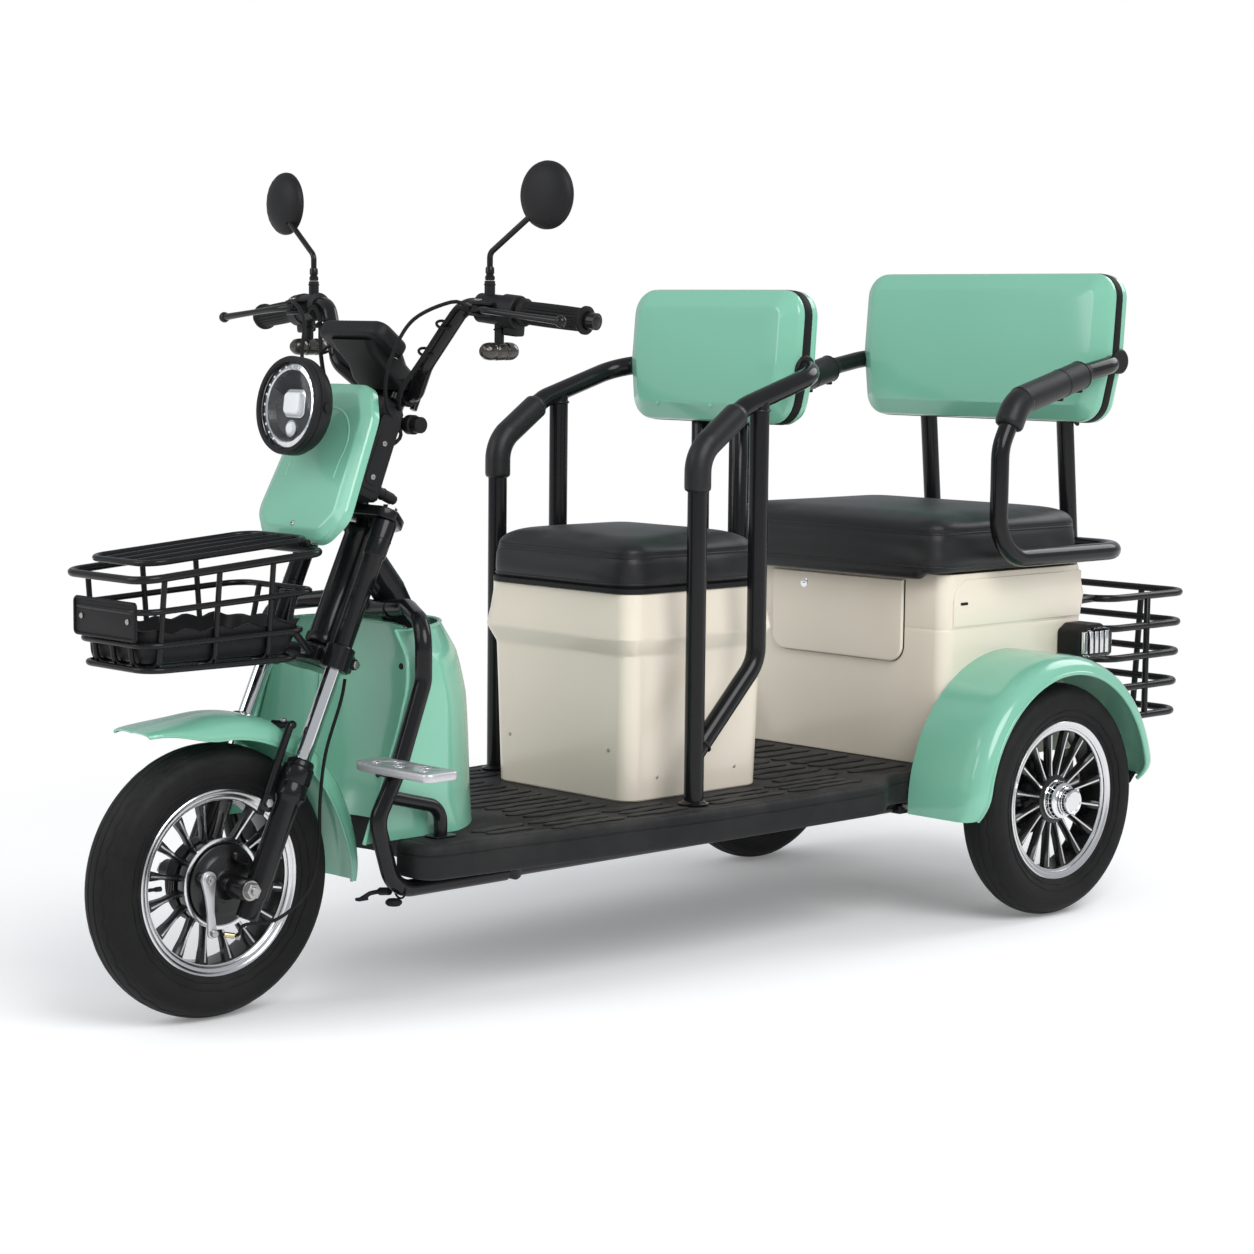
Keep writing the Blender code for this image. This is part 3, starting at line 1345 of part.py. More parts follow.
def mirror(side):
    seat = mirror_seat(side)
    ferrule = rod(seat, seat + Vector((0.0, 0.0, MIRROR_FERRULE)), MIRROR_FERRULE_RADIUS)
    kink = seat + Vector((0.0, 0.0, MIRROR_KINK_RISE))
    head = Vector((MIRROR_X, side * MIRROR_Y, MIRROR_Z))
    joint = head + Vector((MIRROR_BACK / 2, -side * MIRROR_RADIUS / 3, -MIRROR_RADIUS / 2))
    path = rounded([seat + Vector((0.0, 0.0, MIRROR_FERRULE / 2)), kink, joint], MIRROR_KINK_RISE / 3)
    stem = tube(path, MIRROR_STEM_RADIUS, WIRE_FACETS)
    wide, deep = MIRROR_DOME
    profile = ((0.0, -MIRROR_RIM), (MIRROR_FACE, -MIRROR_RIM), (MIRROR_RADIUS, 0.0))
    profile += ((MIRROR_RADIUS * wide, MIRROR_BACK * deep), (0.0, MIRROR_BACK))
    dish = turned(profile, HUB_FACETS, frame_on(head, Vector((1.0, side * MIRROR_TOE, 0.0))))
    return joined(dish, stem, ferrule)


def display_pod():
    half = Vector((POD_LENGTH / 2, POD_HALF_WIDTH, POD_THICK / 2))
    wedge = eased(block(-half, half), POD_ROUND, 2)
    tilt = Matrix.Translation((POD_X, 0.0, POD_Z)) @ Matrix.Rotation(-POD_TILT, 4, "Y")
    wedge = moved(wedge, tilt)
    bar = bar_centre()
    loops = []
    top = Vector((POD_X, 0.0, POD_Z))
    foot = (bar, POD_NECK_DEPTH, POD_SADDLE_HALF)
    flare = (top, POD_NECK_DEPTH * POD_NECK_FLARE, POD_NECK_HALF * POD_NECK_FLARE)
    for centre, depth, width in (foot, flare):
        corners = ((-depth, -width), (depth, -width), (depth, width), (-depth, width))
        loops.append([(centre.x + x, centre.y + y, centre.z) for x, y in corners])
    neck = eased(stacked(loops), POD_ROUND / 2)
    reach = POD_HALF_WIDTH * 2
    below = raked_block((-reach, -reach, -1.0), (reach, reach, BAR_ALONG + GAP))
    return cut(joined(wedge, neck), bar_tube(BAR_RADIUS + GAP), below)


def add_controls(trike):
    trike.add("handlebar", bar_tube(BAR_RADIUS), GLOSS_BLACK, "steering")
    trike.add("display_pod", display_pod(), MATT_BLACK, "steering")
    trike.add("grip_left", grip(1), RUBBER, "steering")
    trike.group("throttle", on_grip(-1, GRIP_START), "steering")
    trike.add("throttle_grip", grip(-1), RUBBER, "throttle")
    for name, side in SIDES:
        trike.add("control_" + name, control(side), MATT_BLACK, "steering")
        trike.group("brake_lever_group_" + name, lever_pivot(side), "steering")
        trike.add("brake_lever_" + name, brake_lever(side), GLOSS_BLACK, "brake_lever_group_" + name)
        trike.group("mirror_group_" + name, mirror_seat(side), "steering")
        trike.add("mirror_" + name, mirror(side), MATT_BLACK, "mirror_group_" + name)


# front basket
def basket_level(share, inset=0.0):
    # rear, front, half width and height of the basket, from floor at 0 to rim at 1
    rear = BASKET_BOTTOM_REAR + (BASKET_REAR - BASKET_BOTTOM_REAR) * share + inset
    front = BASKET_BOTTOM_FRONT + (BASKET_FRONT - BASKET_BOTTOM_FRONT) * share - inset
    half = BASKET_BOTTOM_HALF + (BASKET_HALF - BASKET_BOTTOM_HALF) * share - inset
    return rear, front, half


def basket_z(x, share):
    # rails climb a little toward the rear
    low = BASKET_BOTTOM_Z + (BASKET_RIM_Z - BASKET_BOTTOM_Z) * share
    back = (BASKET_FRONT - x) / (BASKET_FRONT - BASKET_REAR)
    return low + BASKET_RISE * share * back


def basket_loop(share, inset=0.0, lift=0.0, corner=BASKET_CORNER):
    rear, front, half = basket_level(share, inset)
    corners = []
    for x, y in ((rear, -half), (front, -half), (front, half), (rear, half)):
        corners.append((x, y, basket_z(x, share) + lift))
    return rounded(corners, corner, WIRE_BEND_STEPS, closed=True)


def basket_share(z):
    return (z - BASKET_BOTTOM_Z) / (BASKET_RIM_Z - BASKET_BOTTOM_Z)


def basket_wire(points):
    return tube(rounded(points, BASKET_CORNER / 2, WIRE_BEND_STEPS), BASKET_WIRE_RADIUS, WIRE_FACETS)


def front_basket():
    bodies = []
    for share in BASKET_RAILS:
        radius = BASKET_RIM_RADIUS if share == BASKET_RAILS[-1] else BASKET_WIRE_RADIUS
        bodies.append(tube(basket_loop(share), radius, WIRE_FACETS, closed=True))
    low_rear, low_front, low_half = basket_level(0.0)
    sink = BASKET_WIRE_RADIUS * BASKET_SINK
    floor = BASKET_BOTTOM_Z + sink
    for x in BASKET_HOOPS_X:
        top = basket_z(x, 1.0) - sink
        points = [(x, sink - BASKET_HALF, top), (x, sink - low_half, floor)]
        points += [(x, low_half - sink, floor), (x, BASKET_HALF - sink, top)]
        bodies.append(basket_wire(points))
    for y in BASKET_HOOPS_Y:
        points = [(low_rear - sink, y, floor), (low_front - sink, y, floor)]
        share = BASKET_RAILS[1]
        front = basket_level(share)[1]
        points.append((front - sink, y, basket_z(front, share) + sink))
        bodies.append(basket_wire(points))
    middle = (LOWER_YOKE_LOW + LOWER_YOKE_HIGH) / 2
    pad_front = YOKE_FRONT + GAP + BASKET_PAD_THICK
    reach = YOKE_PLATE / 2
    pad_low = (YOKE_FRONT + GAP, -BASKET_ARM_Y - reach, middle - reach)
    bodies.append(raked_block(pad_low, (pad_front, BASKET_ARM_Y + reach, middle + reach)))
    for y in (-BASKET_ARM_Y, BASKET_ARM_Y):
        start = raked(middle, y, pad_front - BASKET_PAD_THICK / 2)
        share = BASKET_RAILS[1]
        rear = basket_level(share)[0]
        bodies.append(rod(start, (rear, y, basket_z(rear, share)), BASKET_RIM_RADIUS, WIRE_FACETS))
    plate_share = basket_share((BASKET_PLATE_LOW + BASKET_PLATE_HIGH) / 2)
    front = basket_level(plate_share)[1] + BASKET_WIRE_RADIUS
    low = (front - BASKET_PLATE_THICK, -BASKET_PLATE_HALF, BASKET_PLATE_LOW)
    high = (front, BASKET_PLATE_HALF, BASKET_PLATE_HIGH)
    bodies.append(block(low, high))
    return joined(*bodies)


def basket_liner():
    # shallow tray that lies on the floor wires
    low_inset, high_inset = LINER_INSETS
    floor = BASKET_BOTTOM_Z + BASKET_WIRE_RADIUS * LINER_SEAT + GAP
    top_share = basket_share(LINER_TOP_Z)
    loops = []
    levels = ((0.0, floor, LINER_CLEAR * low_inset), (top_share, LINER_TOP_Z, LINER_CLEAR * high_inset))
    for share, z, inset in levels:
        loops.append([(p.x, p.y, z) for p in basket_loop(share, inset)])
    for share, z, inset in reversed(levels):
        height = z if z == LINER_TOP_Z else z + LINER_WALL
        loops.append([(p.x, p.y, height) for p in basket_loop(share, inset + LINER_WALL)])
    return stacked(loops)


def lid_axis():
    x = BASKET_REAR
    seat = BASKET_RIM_RADIUS + BASKET_WIRE_RADIUS + GAP
    return Vector((x, 0.0, basket_z(x, 1.0) + seat))


def basket_lid():
    axis = lid_axis()
    rear = BASKET_REAR + LID_REAR_INSET
    front = BASKET_FRONT - LID_FRONT_INSET
    half = BASKET_HALF - LID_SIDE_INSET
    corners = []
    for x, y in ((rear, -half), (front, -half), (front, half), (rear, half)):
        corners.append((x, y, basket_z(x, 1.0) + LID_LIFT))
    path = rounded(corners, BASKET_CORNER, WIRE_BEND_STEPS, closed=True)
    bodies = [tube(path, BASKET_WIRE_RADIUS, WIRE_FACETS, closed=True)]
    for y in LID_WIRES:
        back = (rear, y, basket_z(rear, 1.0) + LID_LIFT)
        fore = (front, y, basket_z(front, 1.0) + LID_LIFT)
        bodies.append(rod(back, fore, LID_WIRE_RADIUS, WIRE_FACETS))
    reach = Vector((0.0, half * LID_HINGE_SHARE, 0.0))
    bodies.append(rod(axis - reach, axis + reach, BASKET_WIRE_RADIUS, TURN_FACETS))
    for y in (LID_WIRES[0], LID_WIRES[-1]):
        end = (rear, y, basket_z(rear, 1.0) + LID_LIFT)
        bodies.append(rod((axis.x, y, axis.z), end, LID_WIRE_RADIUS, WIRE_FACETS))
    return joined(*bodies)


def add_basket(trike):
    trike.add("front_basket", front_basket(), GLOSS_BLACK, "steering")
    trike.add("basket_liner", basket_liner(), MATT_BLACK, "steering")
    trike.group("basket_lid_group", lid_axis(), "steering")
    trike.add("basket_lid", basket_lid(), GLOSS_BLACK, "basket_lid_group")


# leg shield, deck and frame
def arch_front(index, share):
    # x of the hollow front of the leg shield
    return ARCH_LIP_X[index] - ARCH_DEPTH[index] * math.sqrt(max(0.0, 1.0 - share * share))


def shield_loop(index, wall):
    half = SHIELD_HALF[index] - wall
    z = ARCH_LIP_Z[index]
    shares = [-math.cos(math.pi * i / (SHIELD_POINTS - 1)) for i in range(SHIELD_POINTS)]
    loop = []
    for share in shares:
        loop.append((arch_front(index, share) - wall, half * share, z))
    for share in reversed(shares):
        back = SHIELD_BACK_X[index]
        swell = max(0.0, 1.0 - share * share) ** SHIELD_SIDE_POWER
        x = SHIELD_SIDE_X[index] + (back - SHIELD_SIDE_X[index]) * swell
        loop.append((x + wall, half * share, z))
    return loop


def leg_shield():
    count = len(ARCH_LIP_Z)
    loops = [shield_loop(i, 0.0) for i in range(count)]
    loops += [shield_loop(i, SHIELD_WALL) for i in reversed(range(count))]
    return stacked(loops, ring=True)


def floor_deck():
    side = [(DECK_REAR, DECK_REAR_HALF), (DECK_STEP_X, DECK_REAR_HALF)]
    side += [(DECK_STEP_X + DECK_CORNER, DECK_HALF), (DECK_TAPER_X, DECK_HALF)]
    side += [(DECK_NOSE_X, DECK_NOSE_HALF), (DECK_NOSE_X, SHIELD_HALF[0] + ARCH_MARGIN)]
    path = rounded([(x, y, 0.0) for x, y in side], DECK_CORNER)
    notch = []
    for i in range(SHIELD_POINTS):
        share = math.cos(math.pi * i / (SHIELD_POINTS - 1))
        x = min(arch_front(0, share) - ARCH_MARGIN, DECK_NOSE_X - ARCH_MARGIN)
        notch.append(Vector((x, (SHIELD_HALF[0] + ARCH_MARGIN) * share, 0.0)))
    outline = path + notch[1:-1] + [Vector((p.x, -p.y, 0.0)) for p in reversed(path)]
    loops = []
    levels = ((DECK_FOOT_INSET, DECK_BOTTOM), (0.0, DECK_BOTTOM + DECK_EDGE))
    levels += ((0.0, DECK_TOP - DECK_EDGE), (DECK_TOP_INSET, DECK_TOP))
    for inset, z in levels:
        loops.append([(point.x, point.y, z) for point in inset_outline(outline, inset)])
    deck = cut(stacked(loops), neck_tube(NECK_RADIUS + GAP * 2))
    return joined(deck, *foot_pads())


def foot_pad(span, y, half):
    # raised tread pad with pointed ends and drafted sides
    rear, front = span
    point = min(FOOT_PAD_POINT, (front - rear) * FOOT_PAD_POINT_SHARE)
    side = [(rear + point, y - half), (front - point, y - half), (front, y)]
    side += [(front - point, y + half), (rear + point, y + half), (rear, y)]
    outline = [Vector((px, py, 0.0)) for px, py in side]
    loops = []
    for inset, z in ((0.0, DECK_TOP - FOOT_PAD_SINK), (FOOT_PAD_DRAFT, DECK_TOP + FOOT_PAD_RISE)):
        loops.append([(corner.x, corner.y, z) for corner in inset_outline(outline, inset)])
    return stacked(loops)


def foot_pads():
    pads = []
    for i in range(-WELL_PAD_PAIRS, WELL_PAD_PAIRS + 1):
        pads.append(foot_pad(WELL_PAD_SPAN, WELL_PAD_PITCH * i, WELL_PAD_HALF))
    for span in SIDE_PAD_SPANS:
        for side in (-1, 1):
            pads.append(foot_pad(span, SIDE_PAD_Y * side, SIDE_PAD_HALF))
    return pads


def inset_outline(outline, inset):
    # outline moved inward by its own corner normals
    count = len(outline)
    area = 0.0
    for i in range(count):
        first = outline[i]
        second = outline[(i + 1) % count]
        area += first.x * second.y - second.x * first.y
    turn = 1.0 if area > 0.0 else -1.0
    result = []
    for i in range(count):
        before = (outline[i] - outline[i - 1]).normalized()
        after = (outline[(i + 1) % count] - outline[i]).normalized()
        run = before + after
        normal = Vector((-run.y, run.x, 0.0)).normalized() * turn
        result.append(outline[i] + normal * inset)
    return result


def neck_tube(radius):
    # gooseneck from the head tube down to the front cross member
    neck = [raked(NECK_TOP, 0.0, -STEM_SETBACK)]
    neck += [Vector((x, 0.0, z)) for x, z in NECK_POINTS]
    neck.append(Vector((CROSS_X[0], 0.0, RAIL_LOW_Z)))
    return tube(rounded(neck, NECK_RADIUS * 2), radius)


def main_frame():
    head_low = raked(HEAD_LOW, 0.0, -STEM_SETBACK)
    head_high = raked(HEAD_HIGH, 0.0, -STEM_SETBACK)
    bodies = [rod(head_low, head_high, HEAD_RADIUS, TURN_FACETS), neck_tube(NECK_RADIUS)]
    for name, side in SIDES:
        y = side * RAIL_HALF_SPAN
        high_x = RAIL_KICK_X - RAIL_KICK_RUN
        points = [(CROSS_X[0], y, RAIL_LOW_Z), (RAIL_KICK_X, y, RAIL_LOW_Z)]
        points += [(high_x, y, RAIL_HIGH_Z), (RAIL_REAR, y, RAIL_HIGH_Z)]
        bodies.append(tube(rounded(points, RAIL_BEND), RAIL_RADIUS))
        low_side = side * RAIL_HALF_SPAN
        high_side = side * (SPRING_Y - SPRING_WIDTH / 2 - GAP)
        inner, outer = sorted((low_side, high_side))
        for x, root in ((HANGER_FRONT, RAIL_LOW_Z), (HANGER_REAR, RAIL_HIGH_Z)):
            low = spring_eye_z(x) - HANGER_HALF
            bodies.append(block((x - HANGER_HALF, inner, low), (x + HANGER_HALF, outer, root)))
    for x in CROSS_X:
        reach = CRASH_SIDE[0][1] + CRASH_RADIUS if x == CROSS_X[0] else RAIL_HALF_SPAN
        bodies.append(rod((x, -reach, RAIL_LOW_Z), (x, reach, RAIL_LOW_Z), CROSS_RADIUS))
    rear = Vector((0.0, REAR_POST_HALF + RAIL_RADIUS * 2, 0.0))
    middle = Vector((REAR_CROSS_X, 0.0, RAIL_HIGH_Z))
    bodies.append(rod(middle - rear, middle + rear, CROSS_RADIUS))
    bore_low = raked(HEAD_LOW - HEAD_RADIUS, 0.0, -STEM_SETBACK)
    bore_high = raked(HEAD_HIGH + HEAD_RADIUS, 0.0, -STEM_SETBACK)
    bore = rod(bore_low, bore_high, cleared(STEM_RADIUS, TURN_FACETS, GAP), TURN_FACETS)
    return cut(joined(*bodies), bore)


def crash_bar():
    foot_z = RAIL_LOW_Z - CRASH_FOOT_DROP
    side = CRASH_SIDE[0][1]
    half = list(CRASH_TOP[1:]) + list(CRASH_SIDE) + [(CRASH_FOOT_X, side, foot_z)]
    half.append((CROSS_X[0] + flat(CROSS_RADIUS) + GAP, side, foot_z))
    left = [Vector(point) for point in half]
    right = [Vector((point.x, -point.y, point.z)) for point in left]
    hoop = rounded(list(reversed(right)) + [Vector(CRASH_TOP[0])] + left, CRASH_BEND)
    bodies = [tube(hoop, CRASH_RADIUS)]
    for name, sign in SIDES:
        top = Vector(CRASH_BRANCH_TOP)
        top.y *= sign
        knee = Vector((CRASH_BRANCH_X, top.y, DECK_TOP + CRASH_BEND))
        foot = Vector((CRASH_BRANCH_X, top.y, DECK_TOP + GAP))
        bodies.append(tube(rounded([top, knee, foot], CRASH_BEND), CRASH_BRANCH_RADIUS))
    return cut(joined(*bodies), neck_tube(NECK_RADIUS + GAP))


def pedal_pivot():
    return Vector((PEDAL_PIVOT_X, (PEDAL_INNER + PEDAL_OUTER) / 2, PEDAL_PIVOT_Z))


def brake_pedal():
    low = (PEDAL_PIVOT_X, PEDAL_INNER, PEDAL_PIVOT_Z)
    high = (PEDAL_PIVOT_X + PEDAL_LENGTH, PEDAL_OUTER, low[2] + PEDAL_THICK)
    plate = eased(block(low, high), PEDAL_ROUND)
    holes = []
    for ahead, across in PEDAL_HOLES:
        x = low[0] + PEDAL_LENGTH * ahead
        y = PEDAL_INNER + (PEDAL_OUTER - PEDAL_INNER) * across
        under = (x, y, low[2] - PEDAL_THICK)
        above = (x, y, high[2] + PEDAL_THICK)
        holes.append(rod(under, above, PEDAL_HOLE_RADIUS, PEDAL_HOLE_FACETS))
    return cut(plate, *holes)


def add_chassis(trike):
    trike.add("main_frame", main_frame(), GLOSS_BLACK)
    trike.add("floor_deck", floor_deck(), CHARCOAL)
    trike.add("leg_shield", leg_shield(), MINT)
    trike.add("crash_bar", crash_bar(), GLOSS_BLACK)
    trike.group("brake_pedal_group", pedal_pivot())
    trike.add("brake_pedal", brake_pedal(), ALLOY, "brake_pedal_group")


# seats
def rounded_rectangle(rear, front, half, corner, steps=WIRE_BEND_STEPS):
    corners = ((rear, -half, 0.0), (front, -half, 0.0), (front, half, 0.0), (rear, half, 0.0))
    return rounded(corners, corner, steps, closed=True)


def box_shell(levels, corner, wall, floor):
    # hollow box through levels of z, rear, front and half; open below when the floor is None
    outer = []
    inner = []
    for z, rear, front, half in levels:
        outer.append([(p.x, p.y, z) for p in rounded_rectangle(rear, front, half, corner)])
        inside = rounded_rectangle(rear + wall, front - wall, half - wall, corner - wall)
        level = z if floor is None else max(z, floor)
        inner.append([(p.x, p.y, level) for p in inside])
    if floor is None:
        return stacked(outer + list(reversed(inner)), ring=True)
    return stacked(outer + list(reversed(inner)))


def front_seat_box():
    low = DECK_TOP + GAP
    bulge = SEAT_BAND_BULGE
    levels = []
    foot = SEAT_FOOT_TAPER
    shape = ((low, -foot), (SEAT_BAND_LOW, -bulge / 2), (SEAT_BAND_HIGH, bulge))
    shape += ((SEAT_BOX_TOP - bulge * 2, 0.0), (SEAT_BOX_TOP, 0.0))
    for z, out in shape:
        levels.append((z, SEAT_BOX_REAR - out, SEAT_BOX_FRONT + out, SEAT_BOX_HALF + out))
    return box_shell(levels, SEAT_BOX_ROUND, SEAT_BOX_WALL, low + SEAT_BOX_WALL)


def cushion(rear, front, half, bottom, top, crown):
    # crowned pad whose sides draw in between the corners
    edge = CUSHION_EDGE
    levels = ((bottom, edge * CUSHION_FOOT[0]), (bottom + edge * CUSHION_FOOT[1], 0.0))
    levels += (((bottom + top) / 2, CUSHION_DRAW), (top - edge, 0.0))
    levels += ((top - edge * CUSHION_LIP[1], edge * CUSHION_LIP[0]),)
    outline = rounded_rectangle(rear, front, half, CUSHION_ROUND)
    centre = Vector(((rear + front) / 2, 0.0, 0.0))
    length = (front - rear) / 2
    dense = []
    for i, point in enumerate(outline):
        after = outline[(i + 1) % len(outline)]
        count = max(1, round((after - point).length / CUSHION_ROUND / 3))
        for k in range(count):
            dense.append(point.lerp(after, k / count))
    loops = []
    for z, inset in levels:
        loop = []
        for point in dense:
            u = (point.x - centre.x) / length
            v = point.y / half
            draw = CUSHION_DRAW * max(0.0, 1.0 - (u * v) ** 2)
            spot = point - (point - centre).normalized() * (inset + draw)
            loop.append((spot.x, spot.y, z))
        loops.append(loop)
    for share in CUSHION_RINGS:
        loop = []
        rise = top + crown * (1.0 - share ** 2)
        for x, y, z in loops[len(levels) - 1]:
            loop.append((centre.x + (x - centre.x) * share, y * share, rise))
        loops.append(loop)
    return stacked(loops)


def arm_tube(radius):
    # front hoop: up from the deck, along both arms and across behind the backrest
    y = FRONT_ARM_HALF
    foot = (FRONT_POST_X, y, DECK_TOP + GAP)
    knee = (FRONT_ARM_KNEE[0], y, FRONT_ARM_KNEE[1])
    middle = (FRONT_ARM_MID[0], y, FRONT_ARM_MID[1])
    rear = (FRONT_ARM_REAR[0], y, FRONT_ARM_REAR[1])
    left = [Vector(point) for point in (foot, knee, middle, rear)]
    right = [Vector((point.x, -point.y, point.z)) for point in reversed(left)]
    return tube(rounded(left + right, ARM_BEND), radius)


def front_frame_bodies(radius):
    bodies = [arm_tube(radius)]
    for name, side in SIDES:
        y = side * FRONT_ARM_HALF
        knee = FRONT_BRACE_LOW + FRONT_POST_X - FRONT_BRACE_X
        brace = [(FRONT_POST_X, y, FRONT_BRACE_LOW), (FRONT_BRACE_X, y, knee)]
        brace.append((FRONT_BRACE_X, y, FRONT_BRACE_TOP))
        bodies.append(tube(rounded(brace, ARM_BEND), radius))
        post = side * FRONT_BACK_POST_HALF
        x, top = FRONT_ARM_REAR
        bodies.append(rod((x, post, DECK_TOP + GAP), (x, post, top), radius))
    return bodies


def backrest(x, low, high, low_half, half, bars):
    # crowned back panel cut clear of the bars that run through it
    tall = high - low
    waist = tall * BACKREST_WAIST
    corners = ((-low_half, 0.0, 0.0), (-half, waist, 0.0), (-half, tall, 0.0))
    corners += ((half, tall, 0.0), (half, waist, 0.0), (low_half, 0.0, 0.0))
    outline = rounded(corners, BACKREST_ROUND, closed=True)
    edge = BACKREST_EDGE
    middle = tall / 2
    loops = []
    for inset, sign, turn in BACKREST_STEPS:
        depth = BACKREST_HALF_THICK * sign + edge * turn
        loops.append([(depth, p.x, p.y) for p in inset_outline(outline, edge * inset)])
    crowned = []
    for depth, y, z in loops[-1]:
        rise = middle + (z - middle) * BACKREST_CROWN_TALL
        crowned.append((depth + BACKREST_CROWN, y * BACKREST_CROWN_WIDE, rise))
    loops.append(crowned)
    place = Matrix.Translation((x, 0.0, low)) @ Matrix.Rotation(-BACKREST_LEAN, 4, "Y")
    return cut(moved(stacked(loops), place), *bars)


def arm_pad(points, side, bend, bars):
    # soft sleeve that follows the arm tube round its bend
    corners = [Vector((x, side * y, z)) for x, y, z in points]
    path = rounded(corners, bend)
    return cut(tube(path, ARM_RADIUS + PAD_WALL), *bars)


def add_front_seat(trike):
    trike.add("front_seat_box", front_seat_box(), CREAM)
    trike.group("front_seat", (FRONT_CUSHION_FRONT, 0.0, SEAT_BOX_TOP + GAP * 4))
    ends = (FRONT_CUSHION_REAR, FRONT_CUSHION_FRONT, FRONT_CUSHION_HALF)
    pad = cushion(*ends, SEAT_BOX_TOP + GAP, FRONT_CUSHION_TOP, FRONT_CUSHION_CROWN)
    trike.add("front_seat_cushion", pad, LEATHERETTE, "front_seat")
    trike.add("front_seat_frame", joined(*front_frame_bodies(ARM_RADIUS)), GLOSS_BLACK)
    bars = front_frame_bodies(ARM_RADIUS + GAP)
    place = (FRONT_BACKREST_X, FRONT_BACKREST_LOW, FRONT_BACKREST_HIGH)
    panel = backrest(*place, FRONT_BACKREST_LOW_HALF, FRONT_BACKREST_HALF, bars)
    trike.add("front_backrest", panel, MINT)
    for name, side in SIDES:
        knee = Vector((FRONT_ARM_KNEE[0], FRONT_ARM_HALF, FRONT_ARM_KNEE[1]))
        middle = Vector((FRONT_ARM_MID[0], FRONT_ARM_HALF, FRONT_ARM_MID[1]))
        sleeve = (knee - Vector((0.0, 0.0, ARM_BEND)), knee, knee.lerp(middle, FRONT_PAD_SHARE))
        bars = [arm_tube(ARM_RADIUS + GAP)]
        trike.add("front_arm_pad_" + name, arm_pad(sleeve, side, ARM_BEND, bars), RUBBER)


def body_levels():
    low = DECK_TOP + GAP
    bulge = BODY_BULGE
    shape = ((low, 0.0), (BODY_BAND_LOW, 0.0), (BODY_BAND_HIGH, bulge), (BODY_TOP, -bulge / 2))
    return [(z, BODY_REAR - out, BODY_FRONT, BODY_HALF) for z, out in shape]


def body_rear(z):
    # x of the rear wall inside the band that swells out
    share = (z - BODY_BAND_LOW) / (BODY_BAND_HIGH - BODY_BAND_LOW)
    return BODY_REAR - BODY_BULGE * share


def rear_body():
    shell = box_shell(body_levels(), BODY_ROUND, BODY_WALL, None)
    inset = HATCH_LAP
    low = (BODY_FRONT - BODY_WALL * 3, -HATCH_HALF + inset, HATCH_LOW + inset)
    high = (BODY_FRONT + BODY_WALL, HATCH_HALF - inset, HATCH_HIGH - inset)
    slots = []
    for name, side in SIDES:
        y = side * RAIL_HALF_SPAN
        room = RAIL_RADIUS + RAIL_SLOT_GAP
        foot = (BODY_REAR - BODY_ROUND, y - room, DECK_BOTTOM)
        slots.append(block(foot, (BODY_REAR + BODY_ROUND, y + room, RAIL_HIGH_Z + room)))
    return cut(shell, block(low, high), *slots)


def hatch_axis():
    return Vector((BODY_FRONT + HATCH_THICK, 0.0, HATCH_LOW))


def rear_hatch():
    corners = ((-HATCH_HALF, HATCH_HIGH), (-HATCH_HALF, HATCH_LOW))
    corners += ((HATCH_HALF, HATCH_LOW), (HATCH_HALF, HATCH_HIGH))
    points = [Vector((y, z, 0.0)) for y, z in corners]
    outline = [points[0]]
    outline += arc_corner(points[0], points[1], points[2], HATCH_CORNER, BEND_STEPS)
    outline += arc_corner(points[1], points[2], points[3], HATCH_CORNER, BEND_STEPS)
    outline.append(points[3])
    face = BODY_FRONT + GAP
    loops = []
    for x, inset in ((face, 0.0), (face + HATCH_THICK / 2, 0.0), (face + HATCH_THICK, HATCH_THICK / 2)):
        loops.append([(x, p.x, p.y) for p in inset_outline(outline, inset)])
    return stacked(loops)


def bench_cushion():
    # bench pad with a roll that drops over the front edge
    pad = cushion(BENCH_REAR, BENCH_FRONT, BENCH_HALF, BENCH_BOTTOM, BENCH_TOP, BENCH_CROWN)
    x = BENCH_FRONT - CUSHION_DRAW - BENCH_ROLL
    z = BENCH_BOTTOM - BENCH_DROOP + BENCH_ROLL
    half = BENCH_HALF - CUSHION_ROUND
    return joined(pad, rod((x, -half, z), (x, half, z), BENCH_ROLL, GRIP_FACETS))


def rear_frame_bodies(radius):
    y = REAR_ARM_HALF
    low = REAR_ARM_LOW_Z
    left = [(REAR_CROSS_X, y, low), (REAR_ARM_FRONT_X, y, low)]
    left.append((REAR_ARM_FRONT_X, y, REAR_ARM_KNEE_Z))
    left += [(point[0], y, point[1]) for point in (REAR_ARM_MID, REAR_ARM_TOP, REAR_ARM_REAR)]
    left = [Vector(point) for point in left]
    right = [Vector((point.x, -point.y, point.z)) for point in reversed(left)]
    path = rounded(left + right, REAR_ARM_CORNER, closed=True)
    bodies = [tube(path, radius, closed=True)]
    for name, side in SIDES:
        post = side * REAR_POST_HALF
        foot = (REAR_CROSS_X, post, RAIL_HIGH_Z + flat(RAIL_RADIUS) + GAP)
        bend = (REAR_CROSS_X, post, low)
        top = (REAR_ARM_REAR[0], post, REAR_ARM_REAR[1])
        bodies.append(tube(rounded([foot, bend, top], ARM_BEND), radius))
    return bodies


def rear_seat_frame():
    bodies = rear_frame_bodies(ARM_RADIUS)
    for name, side in SIDES:
        y = side * (REAR_POST_HALF + REAR_LUG_HALF * 2)
        floor = BODY_TOP + GAP
        low = (REAR_CROSS_X, y - REAR_LUG_HALF, floor)
        bodies.append(block(low, (REAR_LUG_X, y + REAR_LUG_HALF, floor + REAR_LUG_THICK)))
    return joined(*bodies)


